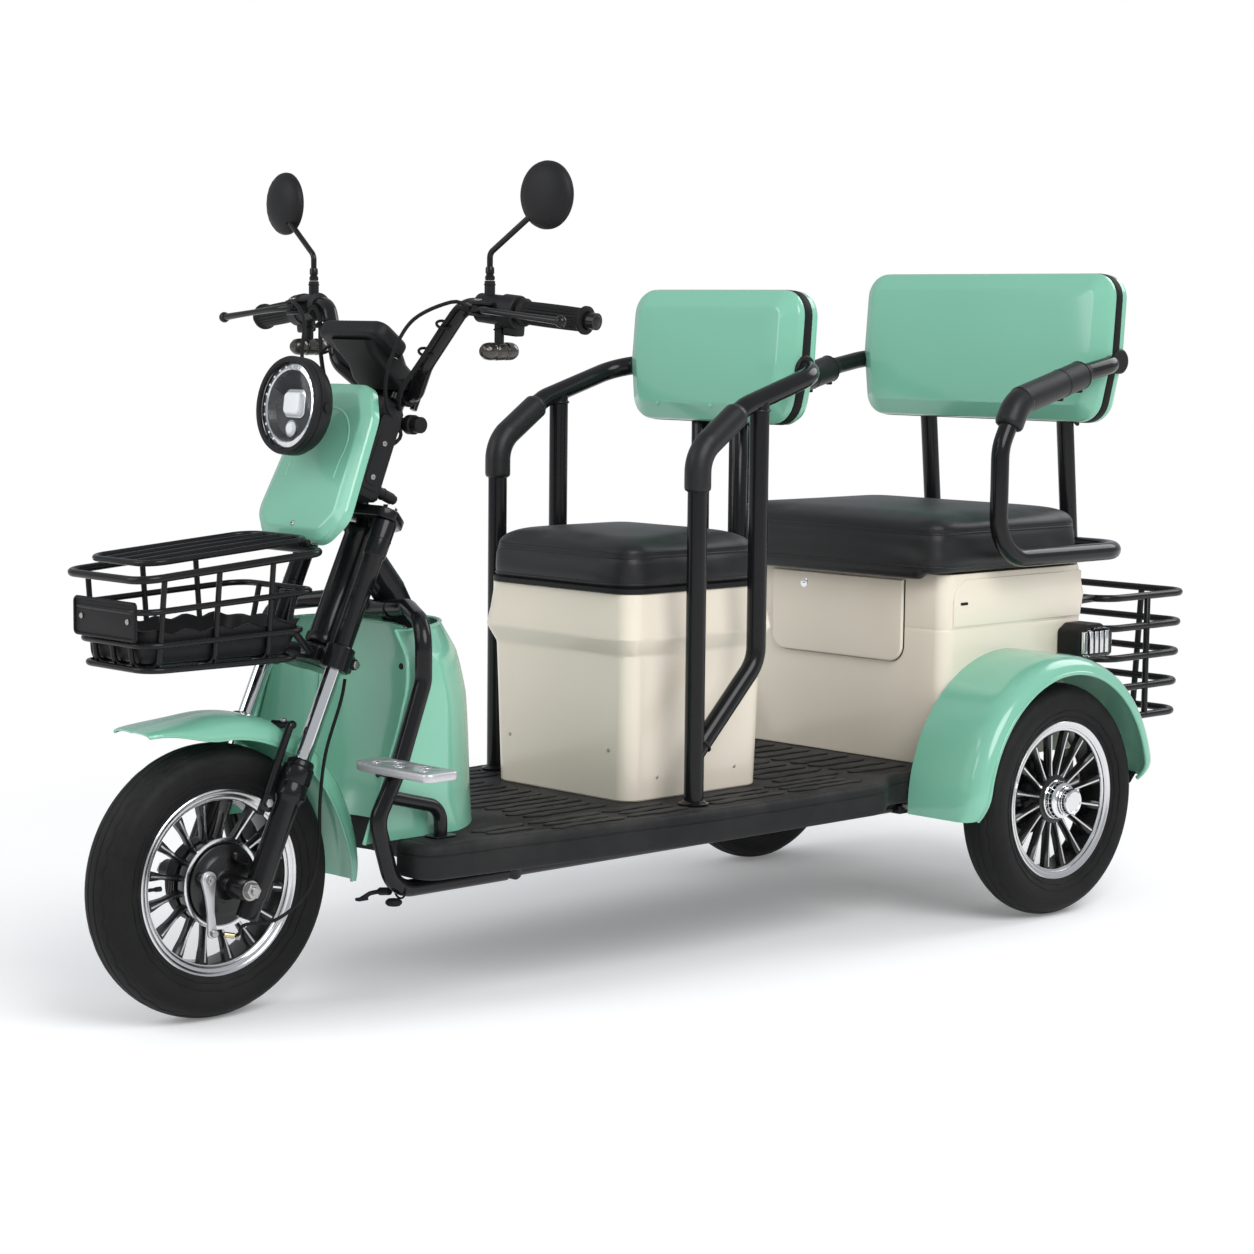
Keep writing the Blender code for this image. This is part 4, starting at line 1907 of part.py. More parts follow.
def rear_fender(side):
    centre = REAR_TRACK / 2
    inner = BODY_HALF + GAP
    outer = centre + FENDER_OUTER
    outside = [(inner, FENDER_RADIUS), ((inner + centre) / 2, FENDER_RADIUS)]
    for share, drop in FENDER_STEPS_OUT:
        outside.append((centre + FENDER_OUTER * share, FENDER_RADIUS - FENDER_LIP * drop))
    outside.append((outer, FENDER_RADIUS - FENDER_LIP))
    section = list(outside)
    for y, radius in reversed(outside):
        tuck = FENDER_THICK if y == outer else 0.0
        section.append((y - tuck, radius - FENDER_THICK + tuck))
    loops = []
    for i in range(FENDER_STEPS + 1):
        angle = FENDER_START + (FENDER_END - FENDER_START) * i / FENDER_STEPS
        ahead = math.cos(angle)
        above = math.sin(angle)
        loops.append([(r * ahead, y, AXLE_HEIGHT + r * above) for y, r in section])
    return moved(stacked(loops), flipped(side))


def rear_lamp(side):
    inner = BODY_HALF + GAP
    front = LAMP_BLOCK_FRONT
    rear = LAMP_BLOCK_REAR
    low = LAMP_BLOCK_LOW
    high = LAMP_BLOCK_HIGH
    taper = (high - low) / 3
    profile = ((front, low), (rear, low), (rear, high - taper / 2))
    profile += ((rear + taper, high), (front - taper, high))
    loops = [[(x, y, z) for x, z in profile] for y in (inner, inner + LAMP_BLOCK_OUT)]
    return moved(eased(stacked(loops), LAMP_BLOCK_ROUND), flipped(side))


def rack_loop(share):
    rear = RACK_REAR + RACK_TAPER * (1.0 - share)
    z = RACK_LOW + (RACK_HIGH - RACK_LOW) * share
    half = RACK_HALF
    corners = ((RACK_FRONT, -half, z), (rear, -half, z), (rear, half, z), (RACK_FRONT, half, z))
    return rounded(corners, RACK_CORNER, WIRE_BEND_STEPS, closed=True)


def rear_basket():
    bodies = []
    for i in range(RACK_LOOPS):
        share = i / (RACK_LOOPS - 1)
        bodies.append(tube(rack_loop(share), RACK_RADIUS, WIRE_FACETS, closed=True))
    root_z = RACK_HIGH - RACK_RADIUS / 2
    wall = body_rear(root_z + flat(RACK_RADIUS, WIRE_FACETS)) - GAP * 2
    for name, side in SIDES:
        for x in RACK_POSTS_X:
            y = side * RACK_HALF
            bodies.append(rod((x, y, RACK_LOW), (x, y, RACK_HIGH), RACK_WIRE_RADIUS, WIRE_FACETS))
        y = side * RACK_MOUNT_HALF
        end = (RACK_FRONT - RACK_RADIUS, y, RACK_HIGH)
        bodies.append(rod((wall, y, root_z), end, RACK_RADIUS, WIRE_FACETS))
    for y in RACK_POSTS_Y:
        corner = (RACK_REAR + RACK_TAPER, y, RACK_LOW)
        bodies.append(rod(corner, (RACK_REAR, y, RACK_HIGH), RACK_WIRE_RADIUS, WIRE_FACETS))
        bodies.append(rod((RACK_FRONT, y, RACK_LOW), corner, RACK_WIRE_RADIUS, WIRE_FACETS))
    return joined(*bodies)


def battery_pack():
    low = RAIL_HIGH_Z + flat(RAIL_RADIUS) + GAP
    high = (BATTERY_FRONT, BATTERY_HALF, low + BATTERY_HEIGHT)
    return eased(block((BATTERY_REAR, -BATTERY_HALF, low), high), BATTERY_ROUND)


def add_rear_seat(trike):
    trike.add("rear_body", rear_body(), CREAM)
    trike.add("battery_pack", battery_pack(), MATT_BLACK)
    trike.group("rear_hatch_group", hatch_axis())
    trike.add("rear_hatch", rear_hatch(), CREAM, "rear_hatch_group")
    trike.group("rear_seat", (BENCH_FRONT, 0.0, BENCH_BOTTOM - BENCH_DROOP))
    trike.add("rear_seat_cushion", bench_cushion(), LEATHERETTE, "rear_seat")
    trike.add("rear_seat_frame", rear_seat_frame(), GLOSS_BLACK)
    bars = rear_frame_bodies(ARM_RADIUS + GAP)
    place = (REAR_BACKREST_X, REAR_BACKREST_LOW, REAR_BACKREST_HIGH)
    panel = backrest(*place, REAR_BACKREST_LOW_HALF, REAR_BACKREST_HALF, bars)
    trike.add("rear_backrest", panel, MINT)
    trike.add("rear_basket", rear_basket(), GLOSS_BLACK)
    for name, side in SIDES:
        knee = Vector((REAR_ARM_FRONT_X, REAR_ARM_HALF, REAR_ARM_KNEE_Z))
        middle = Vector((REAR_ARM_MID[0], REAR_ARM_HALF, REAR_ARM_MID[1]))
        top = Vector((REAR_ARM_TOP[0], REAR_ARM_HALF, REAR_ARM_TOP[1]))
        sleeve = (knee.lerp(middle, REAR_PAD_SHARE), middle, top)
        bars = [rear_frame_bodies(ARM_RADIUS + GAP)[0]]
        trike.add("rear_arm_pad_" + name, arm_pad(sleeve, side, REAR_ARM_CORNER, bars), RUBBER)
        trike.add("rear_fender_" + name, rear_fender(side), MINT)
        trike.add("rear_lamp_" + name, rear_lamp(side), MATT_BLACK)


# rear axle and springs
def spring_top():
    return AXLE_HEIGHT - AXLE_TUBE_RADIUS - SPRING_SEAT - GAP


def spring_eye_z(x):
    # leaf centre height: flat under the axle seat, then rising to the eyes
    flat_half = SPRING_SEAT_LENGTH / 2
    reach = HANGER_FRONT if x > 0.0 else -HANGER_REAR
    share = max(0.0, abs(x) - flat_half) / (reach - flat_half)
    return spring_top() - SPRING_LEAF / 2 + SPRING_CAMBER * share ** SPRING_CURVE


def leaf_spring(side):
    # pack of stepped leaves drawn as one side profile with a round eye at each end
    half = SPRING_LEAF / 2
    profile = []
    for start, end in ((HANGER_REAR, -SPRING_SEAT_LENGTH / 2), (SPRING_SEAT_LENGTH / 2, HANGER_FRONT)):
        for i in range(SPRING_STEPS + 1):
            x = start + (end - start) * i / SPRING_STEPS
            profile.append((x, spring_eye_z(x) + half))
    for leaf in range(SPRING_LEAVES):
        x = HANGER_FRONT * (1.0 - SPRING_STEP * leaf)
        profile.append((x, spring_eye_z(x) + half - SPRING_LEAF * max(leaf, SPRING_EYE_SHARE)))
        profile.append((x, spring_eye_z(x) - half - SPRING_LEAF * leaf))
    for leaf in reversed(range(SPRING_LEAVES)):
        x = HANGER_REAR * (1.0 - SPRING_STEP * leaf)
        profile.append((x, spring_eye_z(x) - half - SPRING_LEAF * leaf))
        profile.append((x, spring_eye_z(x) + half - SPRING_LEAF * max(leaf, SPRING_EYE_SHARE)))
    inner = SPRING_Y - SPRING_WIDTH / 2
    outer = SPRING_Y + SPRING_WIDTH / 2
    bodies = [stacked([[(x, y, z) for x, z in profile] for y in (inner, outer)])]
    for x in (HANGER_FRONT, HANGER_REAR):
        z = spring_eye_z(x)
        bodies.append(rod((x, inner - GAP / 3, z), (x, outer + GAP, z), SPRING_EYE))
    return moved(joined(*bodies), flipped(side))


def rear_axle():
    drum = REAR_TRACK / 2 - REAR_HUB_BACK - RUN_GAP
    tube_end = drum - AXLE_DRUM_DEPTH
    low = DIFF_OFFSET - DIFF_HALF
    high = DIFF_OFFSET + DIFF_HALF
    profile = [(0.0, -drum), (AXLE_DRUM_FACE, -drum), (AXLE_DRUM_RADIUS, -tube_end)]
    profile += [(AXLE_TUBE_RADIUS, -tube_end + GAP), (AXLE_TUBE_RADIUS, low)]
    profile += [(DIFF_SHOULDER_RADIUS, low + DIFF_SLOPE), (DIFF_RADIUS, DIFF_OFFSET)]
    profile += [(DIFF_SHOULDER_RADIUS, high - DIFF_SLOPE), (AXLE_TUBE_RADIUS, high)]
    profile += [(AXLE_TUBE_RADIUS, tube_end - GAP), (AXLE_DRUM_RADIUS, tube_end)]
    profile += [(AXLE_DRUM_FACE, drum), (0.0, drum)]
    centre = Vector((0.0, 0.0, AXLE_HEIGHT))
    bodies = [turned(profile, TURN_FACETS, Matrix.Translation(centre) @ ACROSS)]
    motor_low = Vector((MOTOR_X, DIFF_OFFSET - MOTOR_HALF, MOTOR_Z))
    motor_high = Vector((MOTOR_X, DIFF_OFFSET + MOTOR_HALF, MOTOR_Z))
    bodies.append(rod(motor_low, motor_high, MOTOR_RADIUS, TURN_FACETS))
    bores = []
    shaft = cleared(DRIVE_SHAFT_RADIUS, TURN_FACETS)
    reach = DRIVE_SHAFT_REACH + AXLE_BORE_OVER
    for name, side in SIDES:
        y = side * SPRING_Y
        half = SPRING_WIDTH / 2
        seat_low = (-SPRING_SEAT_LENGTH / 2, y - half, spring_top() + GAP)
        seat_high = (SPRING_SEAT_LENGTH / 2, y + half, AXLE_HEIGHT - AXLE_TUBE_RADIUS / 2)
        bodies.append(block(seat_low, seat_high))
        inside = (0.0, side * (drum - reach), AXLE_HEIGHT)
        bores.append(rod(inside, (0.0, side * (drum + reach), AXLE_HEIGHT), shaft, TURN_FACETS))
    return cut(joined(*bodies), *bores)


def add_rear_axle(trike):
    trike.group("rear_axle_group", (0.0, 0.0, AXLE_HEIGHT))
    trike.add("rear_axle", rear_axle(), GLOSS_BLACK, "rear_axle_group")
    for name, side in SIDES:
        trike.add("leaf_spring_" + name, leaf_spring(side), GLOSS_BLACK)


def main():
    for old in list(bpy.data.objects):
        bpy.data.objects.remove(old, do_unlink=True)
    trike = Assembly()
    add_chassis(trike)
    add_rear_axle(trike)
    add_fork(trike)
    add_wheels(trike)
    add_column(trike)
    add_controls(trike)
    add_basket(trike)
    add_front_seat(trike)
    add_rear_seat(trike)
    bpy.context.view_layer.update()


main()
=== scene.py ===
import math

import bmesh
import bpy
from mathutils import Matrix, Vector
from mathutils.bvhtree import BVHTree


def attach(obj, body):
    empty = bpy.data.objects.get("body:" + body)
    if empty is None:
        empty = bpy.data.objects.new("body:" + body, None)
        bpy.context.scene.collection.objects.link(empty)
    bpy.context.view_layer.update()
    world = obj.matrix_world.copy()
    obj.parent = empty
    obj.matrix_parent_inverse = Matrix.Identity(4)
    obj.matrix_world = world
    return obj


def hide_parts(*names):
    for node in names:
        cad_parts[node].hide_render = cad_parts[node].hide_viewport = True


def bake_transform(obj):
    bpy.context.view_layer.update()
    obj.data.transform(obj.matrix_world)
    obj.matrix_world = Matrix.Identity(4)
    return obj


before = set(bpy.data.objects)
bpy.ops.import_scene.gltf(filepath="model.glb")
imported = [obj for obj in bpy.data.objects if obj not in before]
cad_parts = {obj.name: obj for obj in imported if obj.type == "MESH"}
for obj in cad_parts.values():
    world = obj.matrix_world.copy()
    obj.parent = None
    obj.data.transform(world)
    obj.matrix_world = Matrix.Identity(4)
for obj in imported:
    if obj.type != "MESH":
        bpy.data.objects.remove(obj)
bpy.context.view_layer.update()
print("frame loaded:", len(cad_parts), "nodes")

# lengths are metres, x forward from the rear axle, y left, z up
layout = {
    "originX": 0.574254,
    "wheelbase": 1.549,
    "halfTrack": 0.3545,
    "axleHeight": 0.20501,
    "rake": math.radians(24.5),
    "legPoint": (1.403, 0.463),
    "legHalf": 0.084,
    "stemSetback": 0.030,
}
sides = (("left", 1), ("right", -1))
onward, leftward, skyward = Vector((1.0, 0.0, 0.0)), Vector((0.0, 1.0, 0.0)), Vector((0.0, 0.0, 1.0))
rakeUp = Vector((-math.sin(layout["rake"]), 0.0, math.cos(layout["rake"])))
rakeForward = Vector((math.cos(layout["rake"]), 0.0, math.sin(layout["rake"])))


def at(x, y, z):
    return Vector((x - layout["originX"], y, z))


def sideways(y):
    return Vector((0.0, y, 0.0))


def upward(z):
    return Vector((0.0, 0.0, z))


def raked(along, side=0.0, forward=0.0):
    x, z = layout["legPoint"]
    return at(x, side, z) + rakeUp * along + rakeForward * forward


frontAxle = at(layout["wheelbase"], 0.0, layout["axleHeight"])


def axes(origin, xAxis, yAxis, zAxis):
    turn = Matrix((xAxis, yAxis, zAxis)).transposed().to_4x4()
    return Matrix.Translation(origin) @ turn


def aimed(origin, direction, up=skyward):
    # frame whose z runs along the direction
    zAxis = direction.normalized()
    xAxis = up.cross(zAxis)
    if xAxis.length < 1e-4:
        xAxis = leftward.cross(zAxis)
    xAxis.normalize()
    return axes(origin, xAxis, zAxis.cross(xAxis), zAxis)


def mirrorY(points, side):
    return [Vector((p[0], p[1] * side, p[2])) for p in points]


def filletCorner(before, corner, after, radius, steps):
    back = (before - corner).normalized()
    ahead = (after - corner).normalized()
    half = back.angle(ahead, math.pi) / 2
    if half > math.radians(88.5):
        return [corner]
    room = min((before - corner).length, (after - corner).length) * 0.499
    reach = min(radius / math.tan(half), room)
    trueRadius = reach * math.tan(half)
    centre = corner + (back + ahead).normalized() * (trueRadius / math.sin(half))
    start = corner + back * reach - centre
    end = corner + ahead * reach - centre
    sweep = start.angle(end)
    count = max(2, round(steps * sweep / (math.pi / 2)))
    points = []
    for i in range(count + 1):
        t = i / count
        points.append(
            centre + (start * math.sin((1 - t) * sweep) + end * math.sin(t * sweep)) / math.sin(sweep)
        )
    return points


def rounded(corners, radius, steps=8, closed=False):
    points = [Vector(p) for p in corners]
    count = len(points)
    path = []
    for i, corner in enumerate(points):
        if not closed and i in (0, count - 1):
            path.append(corner)
        else:
            path += filletCorner(points[i - 1], corner, points[(i + 1) % count], radius, steps)
    return path


def smoothThrough(points, step):
    # even points on a curve through given ones
    path = []
    last = len(points) - 1
    for i in range(last):
        p0, p1, p2, p3 = points[max(i - 1, 0)], points[i], points[i + 1], points[min(i + 2, last)]
        count = max(2, round((p2 - p1).length / step))
        for k in range(count):
            t = k / count
            c = (p0 * 2 - p1 * 5 + p2 * 4 - p3) * t * t
            path.append((p1 * 2 + (p2 - p0) * t + c + (p1 * 3 - p0 - p2 * 3 + p3) * t ** 3) / 2)
    path.append(points[last])
    return path


def roundRect(halfX, halfY, radius, steps=6, centre=(0.0, 0.0)):
    x, y = centre
    corners = ((x - halfX, y - halfY, 0.0), (x + halfX, y - halfY, 0.0))
    corners += ((x + halfX, y + halfY, 0.0), (x - halfX, y + halfY, 0.0))
    return rounded(corners, radius, steps, closed=True)


def rectLoop(rear, front, half, radius, steps):
    corners = ((rear, -half, 0.0), (front, -half, 0.0), (front, half, 0.0), (rear, half, 0.0))
    return rounded(corners, radius, steps, closed=True)


def roundedFlat(corners, radius, steps):
    return rounded([(x, y, 0.0) for x, y in corners], radius, steps, closed=True)


def densified(loop, step):
    # a closed loop with points about a step apart
    points = []
    for a, b in zip(loop, loop[1:] + loop[:1]):
        count = max(1, round((b - a).length / step))
        points += [a + (b - a) * k / count for k in range(count)]
    return points


def insetLoop(outline, inset):
    count = len(outline)
    area = sum(
        outline[i].x * outline[(i + 1) % count].y - outline[(i + 1) % count].x * outline[i].y
        for i in range(count)
    )
    turn = 1.0 if area > 0.0 else -1.0
    result = []
    for i in range(count):
        run = (outline[i] - outline[i - 1]).normalized()
        run += (outline[(i + 1) % count] - outline[i]).normalized()
        result.append(outline[i] + Vector((-run.y, run.x, 0.0)).normalized() * turn * inset)
    return result


class Shape:
    # gathers closed shells of one piece, each with its own finish index
    def __init__(self):
        self.bm = bmesh.new()

    def take(self, made, finish, matrix):
        for face in made.faces:
            face.material_index = finish
        bmesh.ops.recalc_face_normals(made, faces=made.faces)
        if matrix is not None:
            made.transform(matrix)
            if matrix.to_3x3().determinant() < 0.0:
                bmesh.ops.reverse_faces(made, faces=made.faces)
        mesh = bpy.data.meshes.new("shell")
        made.to_mesh(mesh)
        made.free()
        self.bm.from_mesh(mesh)
        bpy.data.meshes.remove(mesh)

    def loft(self, loops, finish=0, matrix=None, ring=False):
        made = bmesh.new()
        rings = [[made.verts.new(p) for p in loop] for loop in loops]
        pairs = list(zip(rings, rings[1:]))
        if ring:
            pairs.append((rings[-1], rings[0]))
        for first, second in pairs:
            count = len(first)
            for i in range(count):
                j = (i + 1) % count
                made.faces.new((first[i], first[j], second[j], second[i]))
        if not ring:
            made.faces.new(rings[0])
            made.faces.new(rings[-1])
        self.take(made, finish, matrix)

    def lathe(self, profile, matrix, finish=0, segments=64, ring=False):
        # profile of (radius, height) about the frame's z
        made = bmesh.new()
        rings = []
        for radius, height in profile:
            if radius < 1e-6:
                rings.append([made.verts.new((0.0, 0.0, height))])
                continue
            spots = [2 * math.pi * i / segments for i in range(segments)]
            rings.append(
                [made.verts.new((radius * math.cos(a), radius * math.sin(a), height)) for a in spots]
            )
        pairs = list(zip(rings, rings[1:]))
        if ring:
            pairs.append((rings[-1], rings[0]))
        for first, second in pairs:
            for i in range(segments):
                j = (i + 1) % segments
                if len(first) == 1 and len(second) == 1:
                    break
                if len(first) == 1:
                    made.faces.new((first[0], second[j], second[i]))
                elif len(second) == 1:
                    made.faces.new((first[i], first[j], second[0]))
                else:
                    made.faces.new((first[i], first[j], second[j], second[i]))
        self.take(made, finish, matrix)

    def tube(self, path, radius, finish=0, segments=20, closed=False):
        count = len(path)
        along = []
        for i in range(count):
            before = path[i - 1] if closed or i else path[0]
            after = path[(i + 1) % count] if closed or i < count - 1 else path[-1]
            along.append((after - before).normalized())
        side = along[0].orthogonal().normalized()
        if abs(along[0].y) < 0.9:
            side = (leftward - along[0] * along[0].y).normalized()
        frames = [side]
        for first, second in zip(along, along[1:]):
            side = first.rotation_difference(second) @ side
            side = (side - second * side.dot(second)).normalized()
            frames.append(side)
        twist = 0.0
        if closed:
            last = along[-1].rotation_difference(along[0]) @ frames[-1]
            twist = math.atan2(last.cross(frames[0]).dot(along[0]), last.dot(frames[0]))
        loops = []
        for i in range(count):
            other = along[i].cross(frames[i])
            size = radius[i] if isinstance(radius, list) else radius
            loop = []
            for k in range(segments):
                angle = 2 * math.pi * k / segments + twist * i / count
                loop.append(path[i] + (frames[i] * math.cos(angle) + other * math.sin(angle)) * size)
            loops.append(loop)
        self.loft(loops, finish, ring=closed)

    def rod(self, start, end, radius, finish=0, segments=24, ease=0.0006):
        run = Vector(end) - Vector(start)
        length = run.length
        profile = [
            (0.0, 0.0), (radius - ease, 0.0), (radius, ease), (radius, length - ease),
            (radius - ease, length), (0.0, length)
        ]
        self.lathe(profile, aimed(Vector(start), run), finish, segments)

    def slab(self, outline, low, high, finish=0, matrix=None, ease=0.0, steps=3):
        # extrusion of an outline, with rounded edges
        loops = []
        for i in range(steps + 1):
            angle = math.pi / 2 * i / steps
            loops.append((ease * (1 - math.sin(angle)), low + ease * (1 - math.cos(angle))))
        loops += [(inset, low + high - z) for inset, z in reversed(loops)]
        if ease == 0.0:
            loops = [(0.0, low), (0.0, high)]
        flat = [Vector(p) if len(p) == 3 else Vector((p[0], p[1], 0.0)) for p in outline]
        made = []
        for inset, z in loops:
            ring = insetLoop(flat, inset) if inset else flat
            made.append([(p.x, p.y, z) for p in ring])
        self.loft(made, finish, matrix)

    def hexNut(self, origin, direction, radius, height, finish=0):
        outline = [
            (radius * math.cos(math.pi * i / 3), radius * math.sin(math.pi * i / 3), 0.0)
            for i in range(6)
        ]
        self.slab(outline, 0.0, height, finish, aimed(origin, direction), ease=height * 0.14)

    def bead(self, centre, direction, radius, thick, finish=0):
        # weld bead round a tube end
        profile = []
        for i in range(8):
            angle = 2 * math.pi * i / 8
            profile.append((radius + thick * math.cos(angle), thick * math.sin(angle)))
        self.lathe(profile, aimed(centre, direction), finish, 20, ring=True)

    def build(self, name, finishes, smooth=None):
        # an object with no body yet
        mesh = bpy.data.meshes.new(name)
        self.bm.to_mesh(mesh)
        self.bm.free()
        for look in finishes:
            mesh.materials.append(look)
        if smooth is not None:
            mesh.shade_smooth()
            mesh.set_sharp_from_angle(angle=math.radians(smooth))
        made = bpy.data.objects.new(name, mesh)
        bpy.context.scene.collection.objects.link(made)
        return made

    def piece(self, name, finishes, body, nodes=(), slotName=None, smooth=38.0):
        made = self.build(name, finishes, smooth)
        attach(made, body)
        if nodes:
            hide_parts(*nodes)
        return made


# shared effects
def newGroup(name, inputs, outputs):
    group = bpy.data.node_groups.new(name, "ShaderNodeTree")
    kinds = {"c": "NodeSocketColor", "f": "NodeSocketFloat"}
    for label, kind, value in inputs:
        socket = group.interface.new_socket(label, in_out="INPUT", socket_type=kinds[kind])
        socket.default_value = value
    for label, kind in outputs:
        group.interface.new_socket(label, in_out="OUTPUT", socket_type=kinds[kind])
    enter = group.nodes.new("NodeGroupInput")
    leave = group.nodes.new("NodeGroupOutput")
    return group, enter.outputs, leave.inputs


def addNode(tree, kind, values=None, links=None):
    # sockets by name or index; links are (output, input)
    node = tree.nodes.new(kind)
    for key, value in (values or {}).items():
        if isinstance(key, str) and key in node.bl_rna.properties:
            setattr(node, key, value)
        else:
            node.inputs[key].default_value = value
    for output, key in links or ():
        tree.links.new(output, node.inputs[key])
    return node


def addMath(tree, operation, first, second, clamp=False):
    # each of the two is a number or an output
    node = addNode(tree, "ShaderNodeMath", {"operation": operation, "use_clamp": clamp})
    for index, value in enumerate((first, second)):
        if isinstance(value, float):
            node.inputs[index].default_value = value
        else:
            tree.links.new(value, node.inputs[index])
    return node.outputs[0]


def makeGrain():
    # slow shade drift, fine speckle for roughness and a small height
    inputs = (("Color", "c", (0.5, 0.5, 0.5, 1.0)), ("Shade", "f", 0.08), ("Drift Scale", "f", 6.0))
    inputs += (("Grain Scale", "f", 400.0), ("Rough", "f", 0.4), ("Rough Spread", "f", 0.1))
    group, enter, leave = newGroup(
        "finishGrain", inputs, (("Color", "c"), ("Roughness", "f"), ("Height", "f"))
    )
    place = addNode(group, "ShaderNodeTexCoord")
    drift = addNode(
        group, "ShaderNodeTexNoise", {"Detail": 3.0},
        ((place.outputs["Object"], "Vector"), (enter["Drift Scale"], "Scale"))
    )
    grain = addNode(
        group, "ShaderNodeTexNoise", {"Detail": 4.0},
        ((place.outputs["Object"], "Vector"), (enter["Grain Scale"], "Scale"))
    )
    centre = addMath(group, "SUBTRACT", drift.outputs["Fac"], 0.5)
    value = addMath(group, "ADD", addMath(group, "MULTIPLY", centre, enter["Shade"]), 1.0)
    tone = addNode(group, "ShaderNodeHueSaturation", {}, ((enter["Color"], "Color"), (value, "Value")))
    speck = addMath(group, "SUBTRACT", grain.outputs["Fac"], 0.5)
    spread = addMath(group, "MULTIPLY", speck, enter["Rough Spread"])
    cloudy = addMath(group, "MULTIPLY", centre, enter["Rough Spread"])
    rough = addMath(group, "ADD", addMath(group, "ADD", spread, cloudy), enter["Rough"], clamp=True)
    group.links.new(tone.outputs["Color"], leave["Color"])
    group.links.new(rough, leave["Roughness"])
    group.links.new(grain.outputs["Fac"], leave["Height"])
    return group


def makeDust():
    # pale film in patches where the surface faces up
    inputs = (
        ("Color", "c", (0.1, 0.1, 0.1, 1.0)), ("Dust", "c", (0.32, 0.31, 0.29, 1.0)),
        ("Amount", "f", 0.1), ("Scale", "f", 9.0)
    )
    group, enter, leave = newGroup("dustFilm", inputs, (("Color", "c"),))
    place = addNode(group, "ShaderNodeTexCoord")
    cloud = addNode(
        group, "ShaderNodeTexNoise", {"Detail": 6.0, "Roughness": 0.65},
        ((place.outputs["Object"], "Vector"), (enter["Scale"], "Scale"))
    )
    facing = addNode(group, "ShaderNodeSeparateXYZ", {}, ((place.outputs["Normal"], 0),))
    flat = addNode(
        group, "ShaderNodeMapRange", {"From Min": -0.2, "From Max": 1.0, "To Min": 0.15},
        ((facing.outputs[2], "Value"),)
    )
    patch = addNode(
        group, "ShaderNodeMapRange", {"From Min": 0.38, "From Max": 0.7},
        ((cloud.outputs["Fac"], "Value"),)
    )
    mask = addMath(group, "MULTIPLY", flat.outputs[0], patch.outputs[0])
    amount = addMath(group, "MULTIPLY", mask, enter["Amount"], clamp=True)
    mix = addNode(group, "ShaderNodeMix", {"data_type": "RGBA"})
    group.links.new(amount, mix.inputs[0])
    group.links.new(enter["Color"], mix.inputs[6])
    group.links.new(enter["Dust"], mix.inputs[7])
    group.links.new(mix.outputs[2], leave["Color"])
    return group


def makeHide():
    # pebbled cells with soft stretch lines, for leatherette and moulded skins
    inputs = (("Pebble Scale", "f", 520.0), ("Stretch Scale", "f", 14.0))
    group, enter, leave = newGroup("pebbleHide", inputs, (("Height", "f"),))
    place = addNode(group, "ShaderNodeTexCoord")
    cells = addNode(
        group, "ShaderNodeTexVoronoi", {"feature": "DISTANCE_TO_EDGE"},
        ((place.outputs["Object"], "Vector"), (enter["Pebble Scale"], "Scale"))
    )
    lines = addNode(
        group, "ShaderNodeTexNoise", {"Detail": 2.0},
        ((place.outputs["Object"], "Vector"), (enter["Stretch Scale"], "Scale"))
    )
    pebble = addNode(
        group, "ShaderNodeMapRange", {"From Max": 0.22}, ((cells.outputs["Distance"], "Value"),)
    )
    height = addMath(group, "ADD", pebble.outputs[0], addMath(group, "MULTIPLY", lines.outputs["Fac"], 0.6))
    group.links.new(height, leave["Height"])
    return group


effects = {"grain": makeGrain(), "dust": makeDust(), "hide": makeHide()}


def placeEffect(tree, name, values, links=()):
    node = tree.nodes.new("ShaderNodeGroup")
    node.node_tree = effects[name]
    for key, value in values.items():
        node.inputs[key].default_value = value
    for output, key in links:
        tree.links.new(output, node.inputs[key])
    return node


def finish(name, look):
    # one material: grain, optional dust and pebble, then the shader with its fixed values
    material = bpy.data.materials.new(name)
    material.use_nodes = True
    tree = material.node_tree
    shader = tree.nodes["Principled BSDF"]
    for key, value in look.get("shader", {}).items():
        shader.inputs[key].default_value = value
    colour = (*look["color"], 1.0)
    values = {
        "Color": colour, "Shade": look.get("shade", 0.08), "Drift Scale": look.get("drift", 6.0),
        "Grain Scale": look.get("grain", 400.0), "Rough": look["rough"],
        "Rough Spread": look.get("spread", 0.08)
    }
    grain = placeEffect(tree, "grain", values)
    colourOut = grain.outputs["Color"]
    heightOut = grain.outputs["Height"]
    if "dust" in look:
        dust = placeEffect(
            tree, "dust", {"Amount": look["dust"], "Scale": look.get("dustScale", 9.0)},
            ((colourOut, "Color"),)
        )
        colourOut = dust.outputs["Color"]
    if "pebble" in look:
        hide = placeEffect(
            tree, "hide", {"Pebble Scale": look["pebble"], "Stretch Scale": look.get("stretch", 14.0)}
        )
        heightOut = hide.outputs["Height"]
    tree.links.new(colourOut, shader.inputs["Base Color"])
    tree.links.new(grain.outputs["Roughness"], shader.inputs["Roughness"])
    if look.get("bump", 0.0):
        bump = addNode(
            tree, "ShaderNodeBump",
            {"Strength": look["bump"], "Distance": look.get("bumpDepth", 0.0004)},
            ((heightOut, "Height"),)
        )
        tree.links.new(bump.outputs["Normal"], shader.inputs["Normal"])
    material.diffuse_color = colour
    return material


